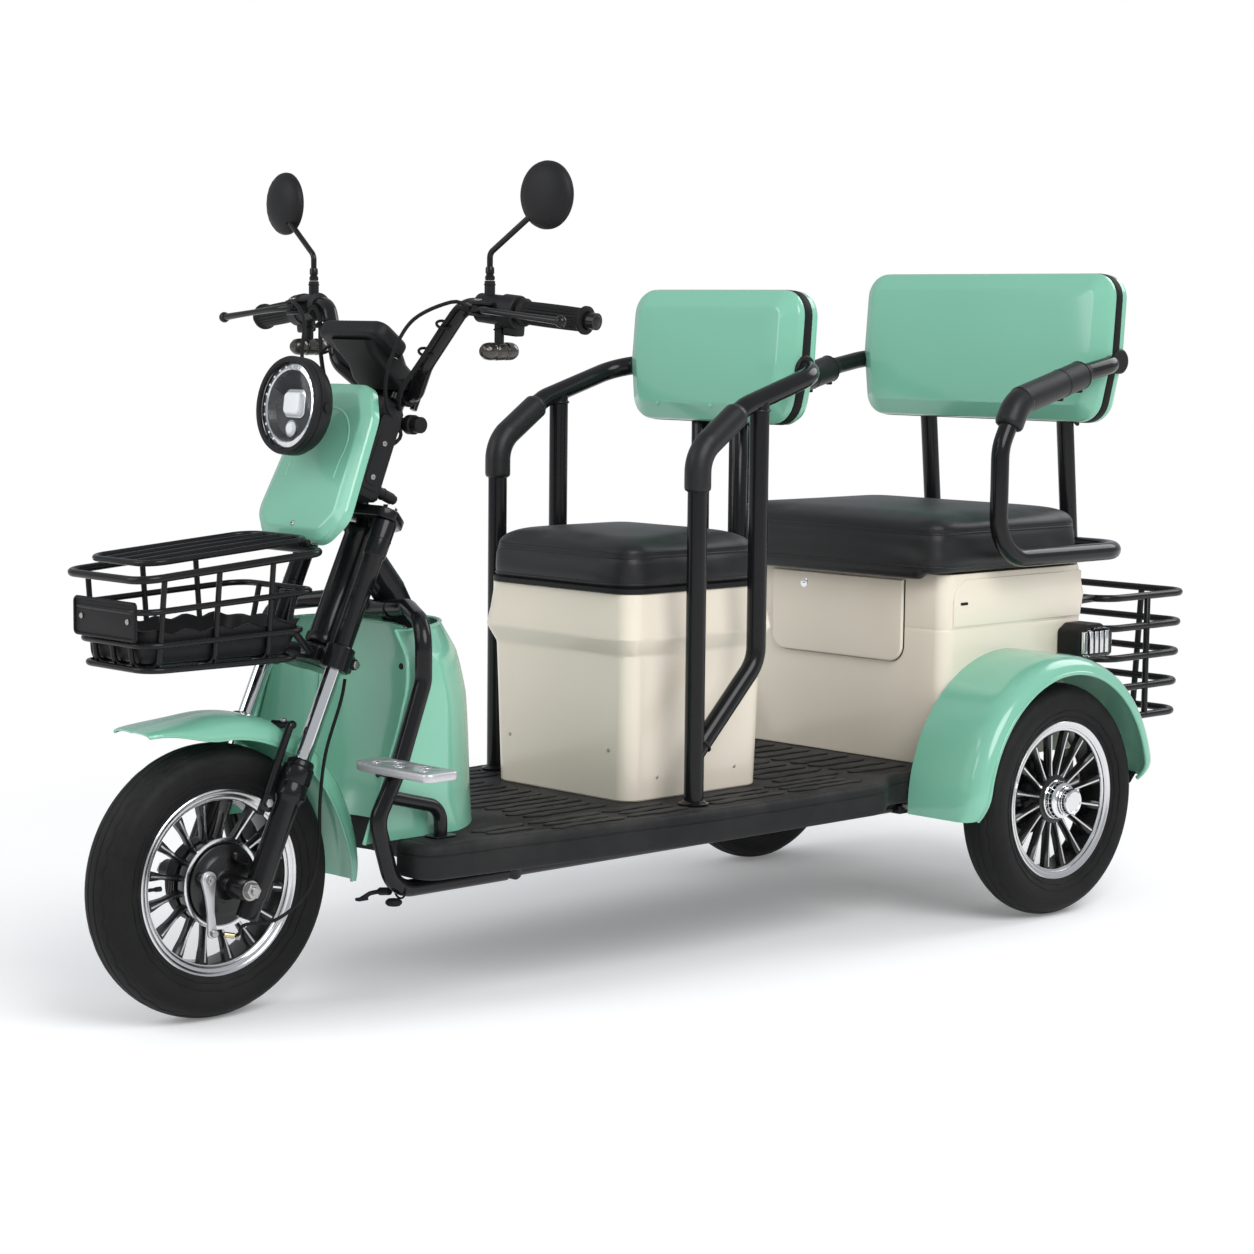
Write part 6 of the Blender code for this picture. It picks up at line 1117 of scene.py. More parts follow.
def addColumn():
    box = Shape()
    loops = []
    low, high = column["housingLow"], column["housingHigh"]
    for along, pull in (
        (low, 0.010), (low + 0.0027, 0.003), (low + 0.0077, 0.0), (high - 0.012, 0.0),
        (high - 0.0045, 0.003), (high, 0.011)
    ):
        half = column["housingHalf"] - column["housingTaper"] * (along - low) / (high - low) - pull
        rear, face = column["housingBack"] + pull, column["panelBack"] - 0.0003
        corners = ((rear, -half, 0.0), (face, -half, 0.0), (face, half, 0.0), (rear, half, 0.0))
        loops.append([raked(along, p.y, p.x) for p in rounded(corners, 0.013, 6, True)])
    box.loft(loops)
    for side in (1, -1):
        place = axes(raked(0.0), rakeForward, rakeUp, sideways(side))
        outline = [
            (0.030, 0.326, 0.0), (0.068, 0.326, 0.0), (0.068, 0.440, 0.0), (0.040, 0.452, 0.0),
            (0.030, 0.440, 0.0)
        ]
        box.slab(rounded(outline, 0.008, 5, True), 0.0640, 0.0812, 0, place, ease=0.0014)
        inner = [(0.036, 0.334, 0.0), (0.062, 0.334, 0.0), (0.062, 0.412, 0.0), (0.036, 0.412, 0.0)]
        box.slab(rounded(inner, 0.010, 5, True), 0.0640, 0.0826, 0, place, ease=0.0010)
        for forward, along in ((0.049, 0.346), (0.049, 0.400)):
            spot = raked(along, 0.0824 * side, forward)
            box.rod(spot, spot + sideways(0.0016 * side), 0.0042, 1, 24, 0.0006)
            box.slab(
                [(-0.0022, -0.0004), (0.0022, -0.0004), (0.0022, 0.0004), (-0.0022, 0.0004)], 0.0,
                0.0018, 2, axes(spot, rakeForward, rakeUp, sideways(side))
            )
    box.piece(
        "columnShroud", [mats["mattBlack"], mats["steel"], mats["blackPaint"]], "steering",
        ["column_housing"], "black_plastic"
    )


def addColumnPegs():
    knob = Shape()
    peg = raked(0.335, 0.062, 0.0360)
    knob.rod(peg, peg - rakeForward * 0.050, 0.0088, 0, 32, 0.0010)
    knob.rod(peg - rakeForward * 0.050, peg - rakeForward * 0.0560, 0.0072, 0, 32, 0.0010)
    knob.bead(peg - rakeForward * 0.030, rakeForward, 0.0088, 0.0010)
    barrel = raked(0.452, 0.0, 0.0)
    for low, high, radius in ((0.058, 0.074, 0.0150), (0.075, 0.090, 0.0125)):
        for side in (1, -1):
            knob.rod(barrel + sideways(low * side), barrel + sideways(high * side), radius, 0, 40, 0.0020)
    knob.rod(barrel + sideways(-0.060), barrel + sideways(0.060), 0.0100, 0, 32)
    knob.piece("columnPegs", [mats["mattBlack"]], "steering", slotName="black_plastic")


def addTopYoke():
    crown = Shape()
    plate = [
        (-0.056, -0.046), (-0.046, -0.070), (0.000, -0.106), (0.024, -0.096), (0.024, 0.096),
        (0.000, 0.106), (-0.046, 0.070), (-0.056, 0.046)
    ]
    crown.slab(roundedFlat(plate, 0.014, 5), 0.2952, 0.3118, 0, legFrame(0), ease=0.0028)
    crown.lathe(
        [
            (0.0, 0.298), (0.0185, 0.298), (0.0180, 0.440), (0.0205, 0.470), (0.0205, 0.494),
            (0.0180, 0.500), (0.0, 0.500)
        ],
        legFrame(0), 0, 48
    )
    stem = raked(0.3118, 0.0, -layout["stemSetback"])
    crown.rod(stem, stem + rakeUp * 0.004, 0.0190, 1, 40)
    crown.hexNut(stem + rakeUp * 0.004, rakeUp, 0.0160, 0.0100, 1)
    for side in (1, -1):
        spot = raked(0.3118, layout["legHalf"] * side)
        crown.hexNut(spot, rakeUp, 0.0115, 0.0065, 1)
    crown.piece(
        "topYokeCasting", [mats["blackPaint"], mats["steel"]], "steering", ["top_yoke"], "black_paint"
    )


addColumn()
addColumnPegs()
addTopYoke()


def addPanel():
    half = [Vector((a, s, 0.0)) for a, s in column["panelSides"]]
    corners = half + [Vector((p.x, -p.y, 0.0)) for p in reversed(half)]
    outline = rounded(corners, column["panelCorner"], 9, True)
    centre = Vector((0.350, 0.0, 0.0))
    back, face = column["panelBack"], column["panelFace"]
    steps = (
        (0.0, 0.0), (0.0, 0.45), (0.0006, 0.56), (0.0022, 0.66), (0.0050, 0.72), (0.0160, 0.94),
        (0.0178, 0.985), (0.0200, 1.0), (0.0240, 1.0)
    )
    loops = []
    for inset, share in steps:
        ring = insetLoop(outline, inset) if inset else outline
        loops.append([raked(p.x, p.y, back + (face - back) * share) for p in ring])
    inner = [p + (centre - p) * 0.45 for p in insetLoop(outline, 0.0240)]
    loops.append([raked(p.x, p.y, face + 0.0004) for p in inner])
    panel = Shape()
    panel.loft(loops)
    # arch bead that carries the lamp
    arch = []
    for i in range(33):
        angle = math.radians(-200.0 + 220.0 * i / 32)
        arch.append(raked(0.372 + 0.0615 * -math.sin(angle), 0.0615 * math.cos(angle), face - 0.0018))
    panel.tube([arch[0] - rakeUp * 0.030] + arch + [arch[-1] - rakeUp * 0.030], 0.0030, 0, 16)
    panel.piece("frontPanelShell", [mats["mint"]], "steering", ["front_panel"], "mint_panel", smooth=24.0)
    trim = Shape()
    spot = raked(0.246, 0.0, face)
    trim.lathe(
        [(0.0, 0.0012), (0.0034, 0.0012), (0.0042, 0.0006), (0.0042, -0.001), (0.0, -0.001)],
        aimed(spot, rakeForward), 0, 24
    )
    trim.slab(
        [(-0.0026, -0.0004), (0.0026, -0.0004), (0.0026, 0.0004), (-0.0026, 0.0004)], 0.0004, 0.0016, 1,
        aimed(spot, rakeForward)
    )
    trim.piece("panelScrew", [mats["steel"], mats["mattBlack"]], "steering")


addPanel()


def addHeadlamp():
    direction = Vector((math.cos(lamp["tilt"]), 0.0, math.sin(lamp["tilt"])))
    place = aimed(at(lamp["x"], 0.0, lamp["z"]), direction)
    radius = lamp["radius"]
    shell = Shape()
    outline = [
        (0.0, -0.050), (0.040, -0.050), (0.058, -0.044), (0.068, -0.036), (0.0735, -0.026),
        (radius, -0.018), (radius, -0.0120), (0.0728, -0.0112), (0.0728, -0.0098), (radius, -0.0090),
        (radius, -0.0040), (0.0725, -0.0010), (0.0700, 0.0), (0.0668, -0.0004), (0.0650, -0.0020),
        (0.0648, -0.0080), (0.0628, -0.0100), (0.0620, -0.0240), (0.0, -0.0240)
    ]
    shell.lathe(outline, place, 0, 96)
    back = place @ upward(-0.030)
    shell.rod(back, back - rakeForward * 0.036, 0.0300, 0, 48, 0.003)
    for side in (1, -1):
        ear = place @ Vector((0.070 * side, 0.0, -0.022))
        shell.rod(ear, ear + sideways(0.008 * side), 0.0075, 0, 24, 0.0012)
    shell.piece(
        "lampShell", [mats["mattBlack"]], "steering", ["headlamp_housing"], "black_plastic", smooth=30.0
    )
    bowl = Shape()
    bowl.lathe(
        [(0.0625, -0.0082), (0.0555, -0.0066), (0.0535, -0.0082), (0.0530, -0.0110), (0.0625, -0.0110)],
        place, 1, 96, ring=True
    )
    bowl.lathe(
        [(0.0530, -0.0090), (0.0470, -0.0190), (0.0, -0.0225), (0.0, -0.0235), (0.0530, -0.0235)],
        place, 0, 96
    )
    flute = (
        ((0.0220, -0.0012, -0.0222), (0.0220, 0.0012, -0.0222), (0.0220, 0.0, -0.0200)),
        ((0.0515, -0.0018, -0.0150), (0.0515, 0.0018, -0.0150), (0.0515, 0.0, -0.0108))
    )
    for i in range(lamp["flutes"]):
        angle = math.radians(30.0 + 120.0 * i / (lamp["flutes"] - 1))
        turn = place @ Matrix.Rotation(angle, 4, "Z")
        bowl.loft([[turn @ Vector(p) for p in loop] for loop in flute], 2)
    bowl.piece("lampReflector", [mats["lampDark"], mats["reflector"], mats["lampDark"]], "steering")
    lights = Shape()
    lights.slab(roundRect(0.0200, 0.0165, 0.0080, 6, (0.0, 0.004)), -0.0226, -0.0105, 0, place, ease=0.0040)
    lights.slab(roundRect(0.0245, 0.0215, 0.0105, 6, (0.0, 0.004)), -0.0228, -0.0180, 1, place, ease=0.0012)
    lights.lathe(
        [(0.0, -0.0225), (0.0100, -0.0225), (0.0100, -0.0150), (0.0075, -0.0118), (0.0, -0.0108)],
        place @ Matrix.Translation((0.0, -0.0335, 0.0)), 0, 40
    )
    lights.lathe(
        [(0.0106, -0.0225), (0.0130, -0.0222), (0.0126, -0.0150), (0.0106, -0.0150)],
        place @ Matrix.Translation((0.0, -0.0335, 0.0)), 1, 40, ring=True
    )
    for i in range(24):
        angle = 2 * math.pi * i / 24
        spot = place @ Vector((0.0585 * math.cos(angle), 0.0585 * math.sin(angle), -0.0076))
        lights.rod(spot, spot + direction * 0.0010, 0.0020, 0, 12, 0.0003)
    lights.piece("lampProjectors", [mats["lampWhite"], mats["reflector"]], "steering")
    cover = Shape()
    cover.lathe(
        [
            (0.0, 0.0002), (0.030, -0.0006), (0.050, -0.0024), (0.0640, -0.0052), (0.0640, -0.0066),
            (0.050, -0.0040), (0.030, -0.0022), (0.0, -0.0014)
        ],
        place, 0, 72
    )
    cover.piece("lampLens", [mats["lensClear"]], "steering", ["headlamp_lens"], "lamp_lens", smooth=60.0)


addHeadlamp()
print("column and headlamp ready")

# handlebar, pod, controls and mirrors
bar = {
    "radius": 0.0125, "clampHalf": 0.050, "knee": (1.222, 0.105, 0.965),
    "shoulder": (1.196, 0.165, 1.056), "end": (1.150, 0.405, 1.033), "bend": 0.035, "gripStart": 0.110,
    "gripEnd": 0.228, "grooves": 22
}
pod = {
    "x": 1.257, "z": 1.002, "tilt": math.radians(36.0), "halfWidth": 0.078, "length": 0.072,
    "thick": 0.026
}
mirror = {
    "x": 1.165, "y": 0.313, "z": 1.216, "radius": 0.050, "back": 0.020, "toe": 0.10,
    "seat": (1.18735, 0.2120, 1.0921)
}


def gripFrame(side):
    start = at(bar["shoulder"][0], bar["shoulder"][1] * side, bar["shoulder"][2])
    end = at(bar["end"][0], bar["end"][1] * side, bar["end"][2])
    axis = (end - start).normalized()
    ahead = (onward - axis * axis.x).normalized()
    return axes(start, ahead.cross(axis) * side, ahead, axis)


def barPath(side):
    spots = [raked(0.5) + sideways(bar["clampHalf"] * side)]
    for spot in (bar["knee"], bar["shoulder"], bar["end"]):
        spots.append(at(spot[0], spot[1] * side, spot[2]))
    return spots


def addBar():
    tube = Shape()
    tube.tube(rounded(list(reversed(barPath(-1))) + barPath(1), bar["bend"], 14), bar["radius"], 0, 32)
    centre = raked(0.5)
    for offset in (-0.030, 0.030):
        tube.rod(centre + sideways(offset - 0.010), centre + sideways(offset + 0.010), 0.0185, 0, 40, 0.002)
        for forward in (-0.021, 0.021):
            spot = centre + sideways(offset) + rakeForward * forward
            tube.rod(spot - rakeUp * 0.016, spot + rakeUp * 0.012, 0.0058, 0, 24)
            tube.rod(spot + rakeUp * 0.012, spot + rakeUp * 0.0175, 0.0046, 1, 24)
    for side in (1, -1):
        place = gripFrame(side)
        end = place @ upward(bar["gripEnd"] - 0.004)
        axis = place.to_3x3() @ skyward
        tube.lathe(
            [
                (0.0, 0.0), (0.0124, 0.0), (0.0124, 0.0170), (0.0118, 0.0196), (0.0100, 0.0212),
                (0.0060, 0.0220), (0.0, 0.0222)
            ],
            aimed(end, axis), 0, 40
        )
    tube.piece(
        "handlebarTube", [mats["blackPaint"], mats["steel"]], "steering", ["handlebar"], "black_paint"
    )


addBar()


def addGrip(side, name, body, node):
    place = gripFrame(side)
    low, high = bar["gripStart"], bar["gripEnd"]
    stations = [
        (low, 0.0135, 0), (low, 0.0195, 0), (low + 0.0008, 0.0209, 0), (low + 0.0052, 0.0209, 0),
        (low + 0.0062, 0.0200, 0), (low + 0.0085, 0.0172, 0), (low + 0.0120, 0.0172, 1)
    ]
    stations += [
        (low + 0.0120 + (high - low - 0.0260) * i / 10, 0.0172 + 0.0004 * math.sin(math.pi * i / 10), 1)
        for i in range(1, 11)
    ]
    stations += [
        (high - 0.0115, 0.0172, 0), (high - 0.0062, 0.0200, 0), (high - 0.0050, 0.0209, 0),
        (high - 0.0008, 0.0209, 0), (high, 0.0195, 0), (high, 0.0135, 0)
    ]
    count = bar["grooves"] * 4
    loops = []
    for along, radius, ribbed in stations:
        loop = []
        for i in range(count):
            angle = 2 * math.pi * i / count
            size = radius - (0.0011 if ribbed and i % 4 == 0 else 0.0)
            loop.append(place @ Vector((size * math.cos(angle), size * math.sin(angle), along)))
        loops.append(loop)
    shape = Shape()
    shape.loft(loops, ring=True)
    shape.piece(name, [mats["rubber"]], body, [node], "grip_rubber", smooth=30.0)


addGrip(1, "gripSleeveLeft", "steering", "grip_left")
addGrip(-1, "gripSleeveRight", "throttle", "throttle_grip")


def mirrorSeat(side):
    x, y, z = mirror["seat"]
    return at(x, y * side, z)


def addControl(label, side):
    place = gripFrame(side)
    body = Shape()
    stations = (
        (0.030, 0.0190), (0.0312, 0.0208), (0.058, 0.0212), (0.0700, 0.0214), (0.0770, 0.0222),
        (0.0785, 0.0240), (0.1025, 0.0240), (0.1040, 0.0225)
    )
    loops = []
    for along, radius in stations:
        loop = []
        for i in range(40):
            angle = 2 * math.pi * i / 40
            squash = 1.0 + 0.12 * max(0.0, -math.sin(angle)) if along > 0.06 else 1.0
            x = radius * math.cos(angle) * (1.0 if math.cos(angle) > 0 else 1.10)
            loop.append(place @ Vector((x, radius * math.sin(angle) * squash, along)))
        loops.append(loop)
    body.loft(loops)
    perch = roundedFlat(
        ((0.0, 0.034), (0.030, 0.034), (0.0440, 0.042), (0.0440, 0.062), (0.030, 0.072), (0.0, 0.072)),
        0.008, 5
    )
    tilt = place.to_3x3()
    up = tilt @ onward
    turn = axes(place.to_translation(), tilt @ leftward, tilt @ skyward, up)
    for low, high in ((-0.0112, -0.0066), (0.0066, 0.0112)):
        body.slab(perch, low, high, 0, turn, ease=0.0012)
    body.slab(
        roundedFlat(((0.0, 0.034), (0.020, 0.034), (0.020, 0.072), (0.0, 0.072)), 0.004, 3), -0.0090,
        0.0090, 0, turn
    )
    pivot = place @ Vector((0.0112, 0.035, 0.052))
    body.rod(pivot, pivot + up * 0.0030, 0.0062, 1, 28, 0.0010)
    body.slab(
        roundRect(0.013, 0.0115, 0.004), -0.012, 0.012, 0,
        place @ Matrix.Translation((-0.024, -0.006, 0.091)), ease=0.002
    )
    for along, rise, half in ((0.0835, 0.006, 0.0032), (0.0915, 0.002, 0.0042), (0.0990, 0.007, 0.0028)):
        button = place @ Vector((rise, -0.0262, along))
        body.rod(button, button - (tilt @ leftward) * 0.0042, half, 2, 24, 0.0008)
    seat = mirrorSeat(side)
    body.rod(seat - upward(0.026), seat - upward(0.0004), 0.0080, 0, 32, 0.0010)
    body.bead(seat - upward(0.006), skyward, 0.0080, 0.0011)
    stem = place @ upward(0.066)
    bulb = stem - upward(0.062)
    body.rod(stem - upward(0.018), bulb + upward(0.008), 0.0072, 0, 28)
    body.bead(stem - upward(0.030), skyward, 0.0074, 0.0016)
    body.piece(
        "controlCluster" + label.title(), [mats["mattBlack"], mats["steel"], mats["rubber"]],
        "steering", ["control_" + label], "black_plastic"
    )
    signal = Shape()
    signal.lathe(
        [
            (0.0, -0.0340), (0.0060, -0.0332), (0.0105, -0.0300), (0.0128, -0.0250), (0.0134, -0.0200),
            (0.0134, -0.0130), (0.0118, -0.0118), (0.0112, -0.0100), (0.0118, -0.0080),
            (0.0134, -0.0062), (0.0136, 0.0060), (0.0120, 0.0078), (0.0114, 0.0096), (0.0122, 0.0114),
            (0.0134, 0.0134), (0.0132, 0.0210), (0.0118, 0.0278), (0.0080, 0.0325), (0.0, 0.0340)
        ],
        aimed(bulb, onward), 0, 48
    )
    signal.piece("turnSignal" + label.title(), [mats["lensSmoke"]], "steering")
    lever = Shape()
    path = [
        place @ Vector(p)
        for p in (
            (0.0, 0.035, 0.052), (0.0, 0.0485, 0.078), (0.0, 0.058, 0.130), (0.0, 0.066, 0.190),
            (0.0, 0.070, 0.232)
        )
    ]
    path = smoothThrough(path, 0.006)
    sizes = [0.0058 - 0.0010 * math.sin(math.pi * i / (len(path) - 1)) for i in range(len(path))]
    lever.tube(path, sizes, 0, 20)
    tip = path[-1]
    lever.lathe(
        [
            (0.0, -0.0088), (0.0045, -0.0076), (0.0078, -0.0040), (0.0088, 0.0), (0.0078, 0.0040),
            (0.0045, 0.0076), (0.0, 0.0088)
        ],
        aimed(tip, path[-1] - path[-2]), 0, 28
    )
    root = place @ Vector((0.0, 0.035, 0.052))
    lever.rod(root - up * 0.0058, root + up * 0.0058, 0.0092, 0, 32, 0.0012)
    lever.piece(
        "leverBlade" + label.title(), [mats["blackPaint"]], "lever_" + label[0],
        ["brake_lever_" + label], "black_paint"
    )


def addMirror(label, side):
    seat = mirrorSeat(side)
    head = at(mirror["x"], mirror["y"] * side, mirror["z"])
    stem = Shape()
    rise = skyward
    stem.lathe(
        [
            (0.0, 0.0), (0.0064, 0.0), (0.0066, 0.0010), (0.0066, 0.0070), (0.0056, 0.0078),
            (0.0056, 0.0096), (0.0066, 0.0104), (0.0066, 0.0175), (0.0058, 0.0200), (0.0, 0.0205)
        ],
        aimed(seat, rise), 0, 32
    )
    stem.hexNut(seat + rise * 0.0010, rise, 0.0078, 0.0050)
    joint = head + Vector((mirror["back"] / 2, -side * mirror["radius"] / 3, -mirror["radius"] / 2))
    stem.tube(rounded([seat + rise * 0.010, seat + rise * 0.040, joint], 0.013, 10), 0.0045, 0, 24)
    stem.piece(
        "mirrorStem" + label.title(), [mats["blackPaint"]], "mirror_" + label[0],
        slotName="black_plastic"
    )
    place = aimed(head, Vector((1.0, side * mirror["toe"], 0.0)))
    dish = Shape()
    dish.lathe(
        [
            (0.0, -0.0010), (0.0462, -0.0010), (0.0465, -0.0030), (0.0485, -0.0032), (0.0498, -0.0018),
            (0.0500, 0.0016), (0.0490, 0.0052), (0.0455, 0.0092), (0.0380, 0.0140), (0.0270, 0.0178),
            (0.0140, 0.0196), (0.0, 0.0200)
        ],
        place, 0, 72
    )
    dish.bead(place @ upward(0.0100), place.to_3x3() @ skyward, 0.0440, 0.0007)
    dish.lathe(
        [(0.0, 0.004), (0.0105, 0.006), (0.0100, 0.0205), (0.0078, 0.0232), (0.0, 0.0238)],
        aimed(joint + Vector((-0.004, 0.0, 0.0)), onward) @ Matrix.Translation((0.0, 0.0, -0.012)), 0,
        32
    )
    dish.piece(
        "mirrorDish" + label.title(), [mats["mattBlack"]], "mirror_" + label[0], ["mirror_" + label],
        "black_plastic"
    )
    glass = Shape()
    glass.lathe(
        [(0.0, -0.0026), (0.0300, -0.0022), (0.0460, -0.0014), (0.0460, -0.0006), (0.0, -0.0006)],
        place, 0, 72
    )
    glass.piece("mirrorGlass" + label.title(), [mats["mirrorGlass"]], "mirror_" + label[0])


for label, side in sides:
    addControl(label, side)
    addMirror(label, side)


def addPod():
    place = Matrix.Translation(at(pod["x"], 0.0, pod["z"])) @ Matrix.Rotation(-pod["tilt"], 4, "Y")
    half, length, thick = pod["halfWidth"], pod["length"] / 2, pod["thick"] / 2
    case = Shape()
    outline = rounded(
        [
            (-length, -half * 0.92, 0.0), (length, -half, 0.0), (length, half, 0.0),
            (-length, half * 0.92, 0.0)
        ],
        0.020, 8, True
    )
    case.slab(outline, -thick, thick, 0, place, ease=0.0075, steps=5)
    case.slab(insetLoop(outline, 0.0110), thick - 0.002, thick + 0.0014, 0, place, ease=0.0010)
    centre = raked(0.5)
    top = at(pod["x"], 0.0, pod["z"])
    loops = []
    for share, depth, width in (
        (0.10, 0.024, 0.050), (0.30, 0.026, 0.054), (0.55, 0.027, 0.044), (0.78, 0.033, 0.044),
        (1.0, 0.030, 0.050)
    ):
        spot = centre + (top - centre) * share
        corners = ((-depth, -width, 0.0), (depth, -width, 0.0), (depth, width, 0.0), (-depth, width, 0.0))
        loops.append([spot + p for p in rounded(corners, 0.012, 5, True)])
    case.loft(loops)
    case.piece("podCase", [mats["mattBlack"]], "steering", ["display_pod"], "black_plastic", smooth=30.0)
    face = Shape()
    face.slab(insetLoop(outline, 0.0150), thick + 0.0008, thick + 0.0022, 0, place, ease=0.0006)
    face.piece("podScreen", [mats["screen"]], "steering")
    trim = Shape()
    for y in (-0.060, 0.060):
        spot = place @ Vector((-0.028, y, -thick))
        down = place.to_3x3() @ upward(-1.0)
        trim.rod(spot, spot + down * 0.0016, 0.0038, 0, 24)
    trim.piece("podScrews", [mats["steel"]], "steering")


addPod()


def addBarWires():
    # short control wires held by clips along the bar
    wires = Shape()
    for side in (1, -1):
        place = gripFrame(side)
        start = place @ Vector((-0.010, 0.016, 0.036))
        inner = [
            start, place @ Vector((-0.004, 0.022, 0.006)), at(1.222, 0.152 * side, 1.030),
            at(1.243, 0.122 * side, 0.975), at(1.255, 0.088 * side, 0.925),
            at(1.238, 0.060 * side, 0.888), raked(0.440, 0.045 * side, 0.030)
        ]
        wires.tube(smoothThrough(inner, 0.006), 0.0034, 0, 16)
        outer = [
            place @ Vector((0.0, 0.040, 0.040)), place @ Vector((0.006, 0.052, 0.016)),
            at(1.270, 0.130 * side, 1.030), at(1.292, 0.105 * side, 0.965),
            at(1.280, 0.085 * side, 0.905), at(1.240, 0.070 * side, 0.860),
            raked(0.400, 0.066 * side, 0.030)
        ]
        wires.tube(smoothThrough(outer, 0.006), 0.0029, 0, 16)
        for spot in (at(1.222, 0.1470 * side, 1.0260), at(1.2330, 0.1190 * side, 0.985)):
            wires.bead(spot, Vector((0.2, 0.5 * side, 0.8)), 0.0105, 0.0022)
    wires.piece("barWires", [mats["rubber"]], "steering")


addBarWires()
print("handlebar ready")

# front wire basket
basket = {
    "rear": 1.404, "front": 1.730, "half": 0.100, "floorRear": 1.440, "floorFront": 1.712,
    "floorHalf": 0.085, "rimZ": 0.666, "floorZ": 0.536, "rise": 0.026, "corner": 0.032,
    "rails": (0.0, 0.27, 0.64, 1.0), "rim": 0.0058, "wire": 0.0046, "lidLift": 0.019, "lidWire": 0.0037,
    "boardZ": 0.6055
}


def basketLevel(share, inset=0.0):
    rear = basket["floorRear"] + (basket["rear"] - basket["floorRear"]) * share + inset
    front = basket["floorFront"] + (basket["front"] - basket["floorFront"]) * share - inset
    return rear, front, basket["floorHalf"] + (basket["half"] - basket["floorHalf"]) * share - inset


def basketZ(x, share):
    back = (basket["front"] - x) / (basket["front"] - basket["rear"])
    return basket["floorZ"] + (basket["rimZ"] - basket["floorZ"]) * share + basket["rise"] * share * back


def basketLoop(share, inset=0.0, lift=0.0):
    rear, front, half = basketLevel(share, inset)
    spots = ((rear, -half), (front, -half), (front, half), (rear, half))
    return rounded([at(x, y, basketZ(x, share) + lift) for x, y in spots], basket["corner"], 8, True)


def addBasket():
    wires = Shape()
    for share in basket["rails"]:
        wires.tube(basketLoop(share), basket["rim"] if share == 1.0 else basket["wire"], 0, 20, closed=True)
    rear, front, half = basketLevel(0.0)
    floor = basket["floorZ"] + 0.0028
    for x in (1.500, 1.595, 1.690):
        top = basketZ(x, 1.0) - 0.003
        spots = [
            at(x, -basket["half"] + 0.003, top), at(x, -half + 0.003, floor),
            at(x, half - 0.003, floor), at(x, basket["half"] - 0.003, top)
        ]
        wires.tube(rounded(spots, 0.016, 8), basket["wire"] * 0.92, 0, 18)
    for y in (-0.045, 0.0, 0.045):
        top = basketLevel(0.64)
        back = [
            at(top[0] + 0.003, y, basketZ(top[0], 0.64)), at(rear + 0.003, y, floor),
            at(front - 0.003, y, floor), at(top[1] - 0.003, y, basketZ(top[1], 0.64))
        ]
        wires.tube(rounded(back, 0.014, 8), basket["wire"] * 0.92, 0, 18)
    middle = 0.0735
    for y in (-0.045, 0.045):
        start = raked(middle, y, 0.016)
        back = basketLevel(0.27)[0]
        wires.tube(
            rounded([start, start + rakeForward * 0.012, at(back, y, basketZ(back, 0.27))], 0.010, 6),
            basket["rim"], 0, 20
        )
    plate = axes(raked(middle, 0.0, 0.0123), leftward, rakeUp, rakeForward)
    wires.slab(roundRect(0.057, 0.0120, 0.006), 0.0, 0.0080, 0, plate, ease=0.0012)
    for y in (-0.030, 0.030):
        wires.hexNut(raked(middle, y, 0.0203), rakeForward, 0.0062, 0.0045, 1)
    wires.piece(
        "frontBasketWires", [mats["blackWire"], mats["steel"]], "steering", ["front_basket"],
        "black_wire", smooth=50.0
    )


def basketShare(z):
    return (z - basket["floorZ"]) / (basket["rimZ"] - basket["floorZ"])


def addBasketBoard():
    board = Shape()
    front = basketLevel(basketShare(basket["boardZ"]))[1] + basket["wire"]
    place = axes(at(front, 0.0, basket["boardZ"]), leftward, skyward, onward)
    board.slab(roundRect(0.078, 0.0285, 0.007), -0.003, 0.0, 0, place, ease=0.0006)
    frameLoop = [place @ Vector((p.x, p.y, 0.0006)) for p in roundRect(0.0755, 0.0260, 0.006)]
    board.tube(frameLoop, 0.0019, 0, 12, closed=True)
    for y in (-0.058, 0.058):
        board.rod(place @ Vector((y, 0.0, 0.0)), place @ Vector((y, 0.0, 0.0022)), 0.0042, 1, 24, 0.0008)
    board.piece("basketBoard", [mats["mattBlack"], mats["steel"]], "steering", slotName="black_wire")


def addBasketTray():
    tray = Shape()
    loops = []
    low = basket["floorZ"] + basket["wire"] * 1.6 + 0.0003
    levels = (
        (0.0147, low, 0), (0.0118, low + 0.0025, 0), (0.0085, low + 0.020, 0), (0.0079, 0.590, 1),
        (0.0064, 0.5905, 1), (0.0104, 0.590, 1), (0.0110, low + 0.020, 0), (0.0143, low + 0.0050, 0),
        (0.0190, low + 0.0025, 0)
    )
    for inset, z, wavy in levels:
        rear, front, half = basketLevel(basketShare(z), inset)
        ring = rectLoop(rear, front, half, 0.024, 8)
        dense = []
        for a, b in zip(ring, ring[1:] + ring[:1]):
            count = 24 if (b - a).length > 0.05 else 1
            dense += [a + (b - a) * k / count for k in range(count)]
        wave = 0.0035 if wavy else 0.0
        loops.append([at(p.x, p.y, z + wave * math.sin(p.x * 120.0 + p.y * 70.0)) for p in dense])
    tray.loft(loops)
    for x in (1.480, 1.520, 1.560, 1.600, 1.640, 1.675):
        tray.slab(
            roundRect(0.0035, 0.055, 0.0034), 0.0, 0.0013, 0,
            Matrix.Translation(at(x, 0.0, low + 0.0024)), ease=0.0005
        )
    tray.piece(
        "basketTray", [mats["mattBlack"]], "steering", ["basket_liner"], "black_plastic", smooth=45.0
    )


def lidAt(x, y):
    return at(x, y, basketZ(x, 1.0) + basket["lidLift"])


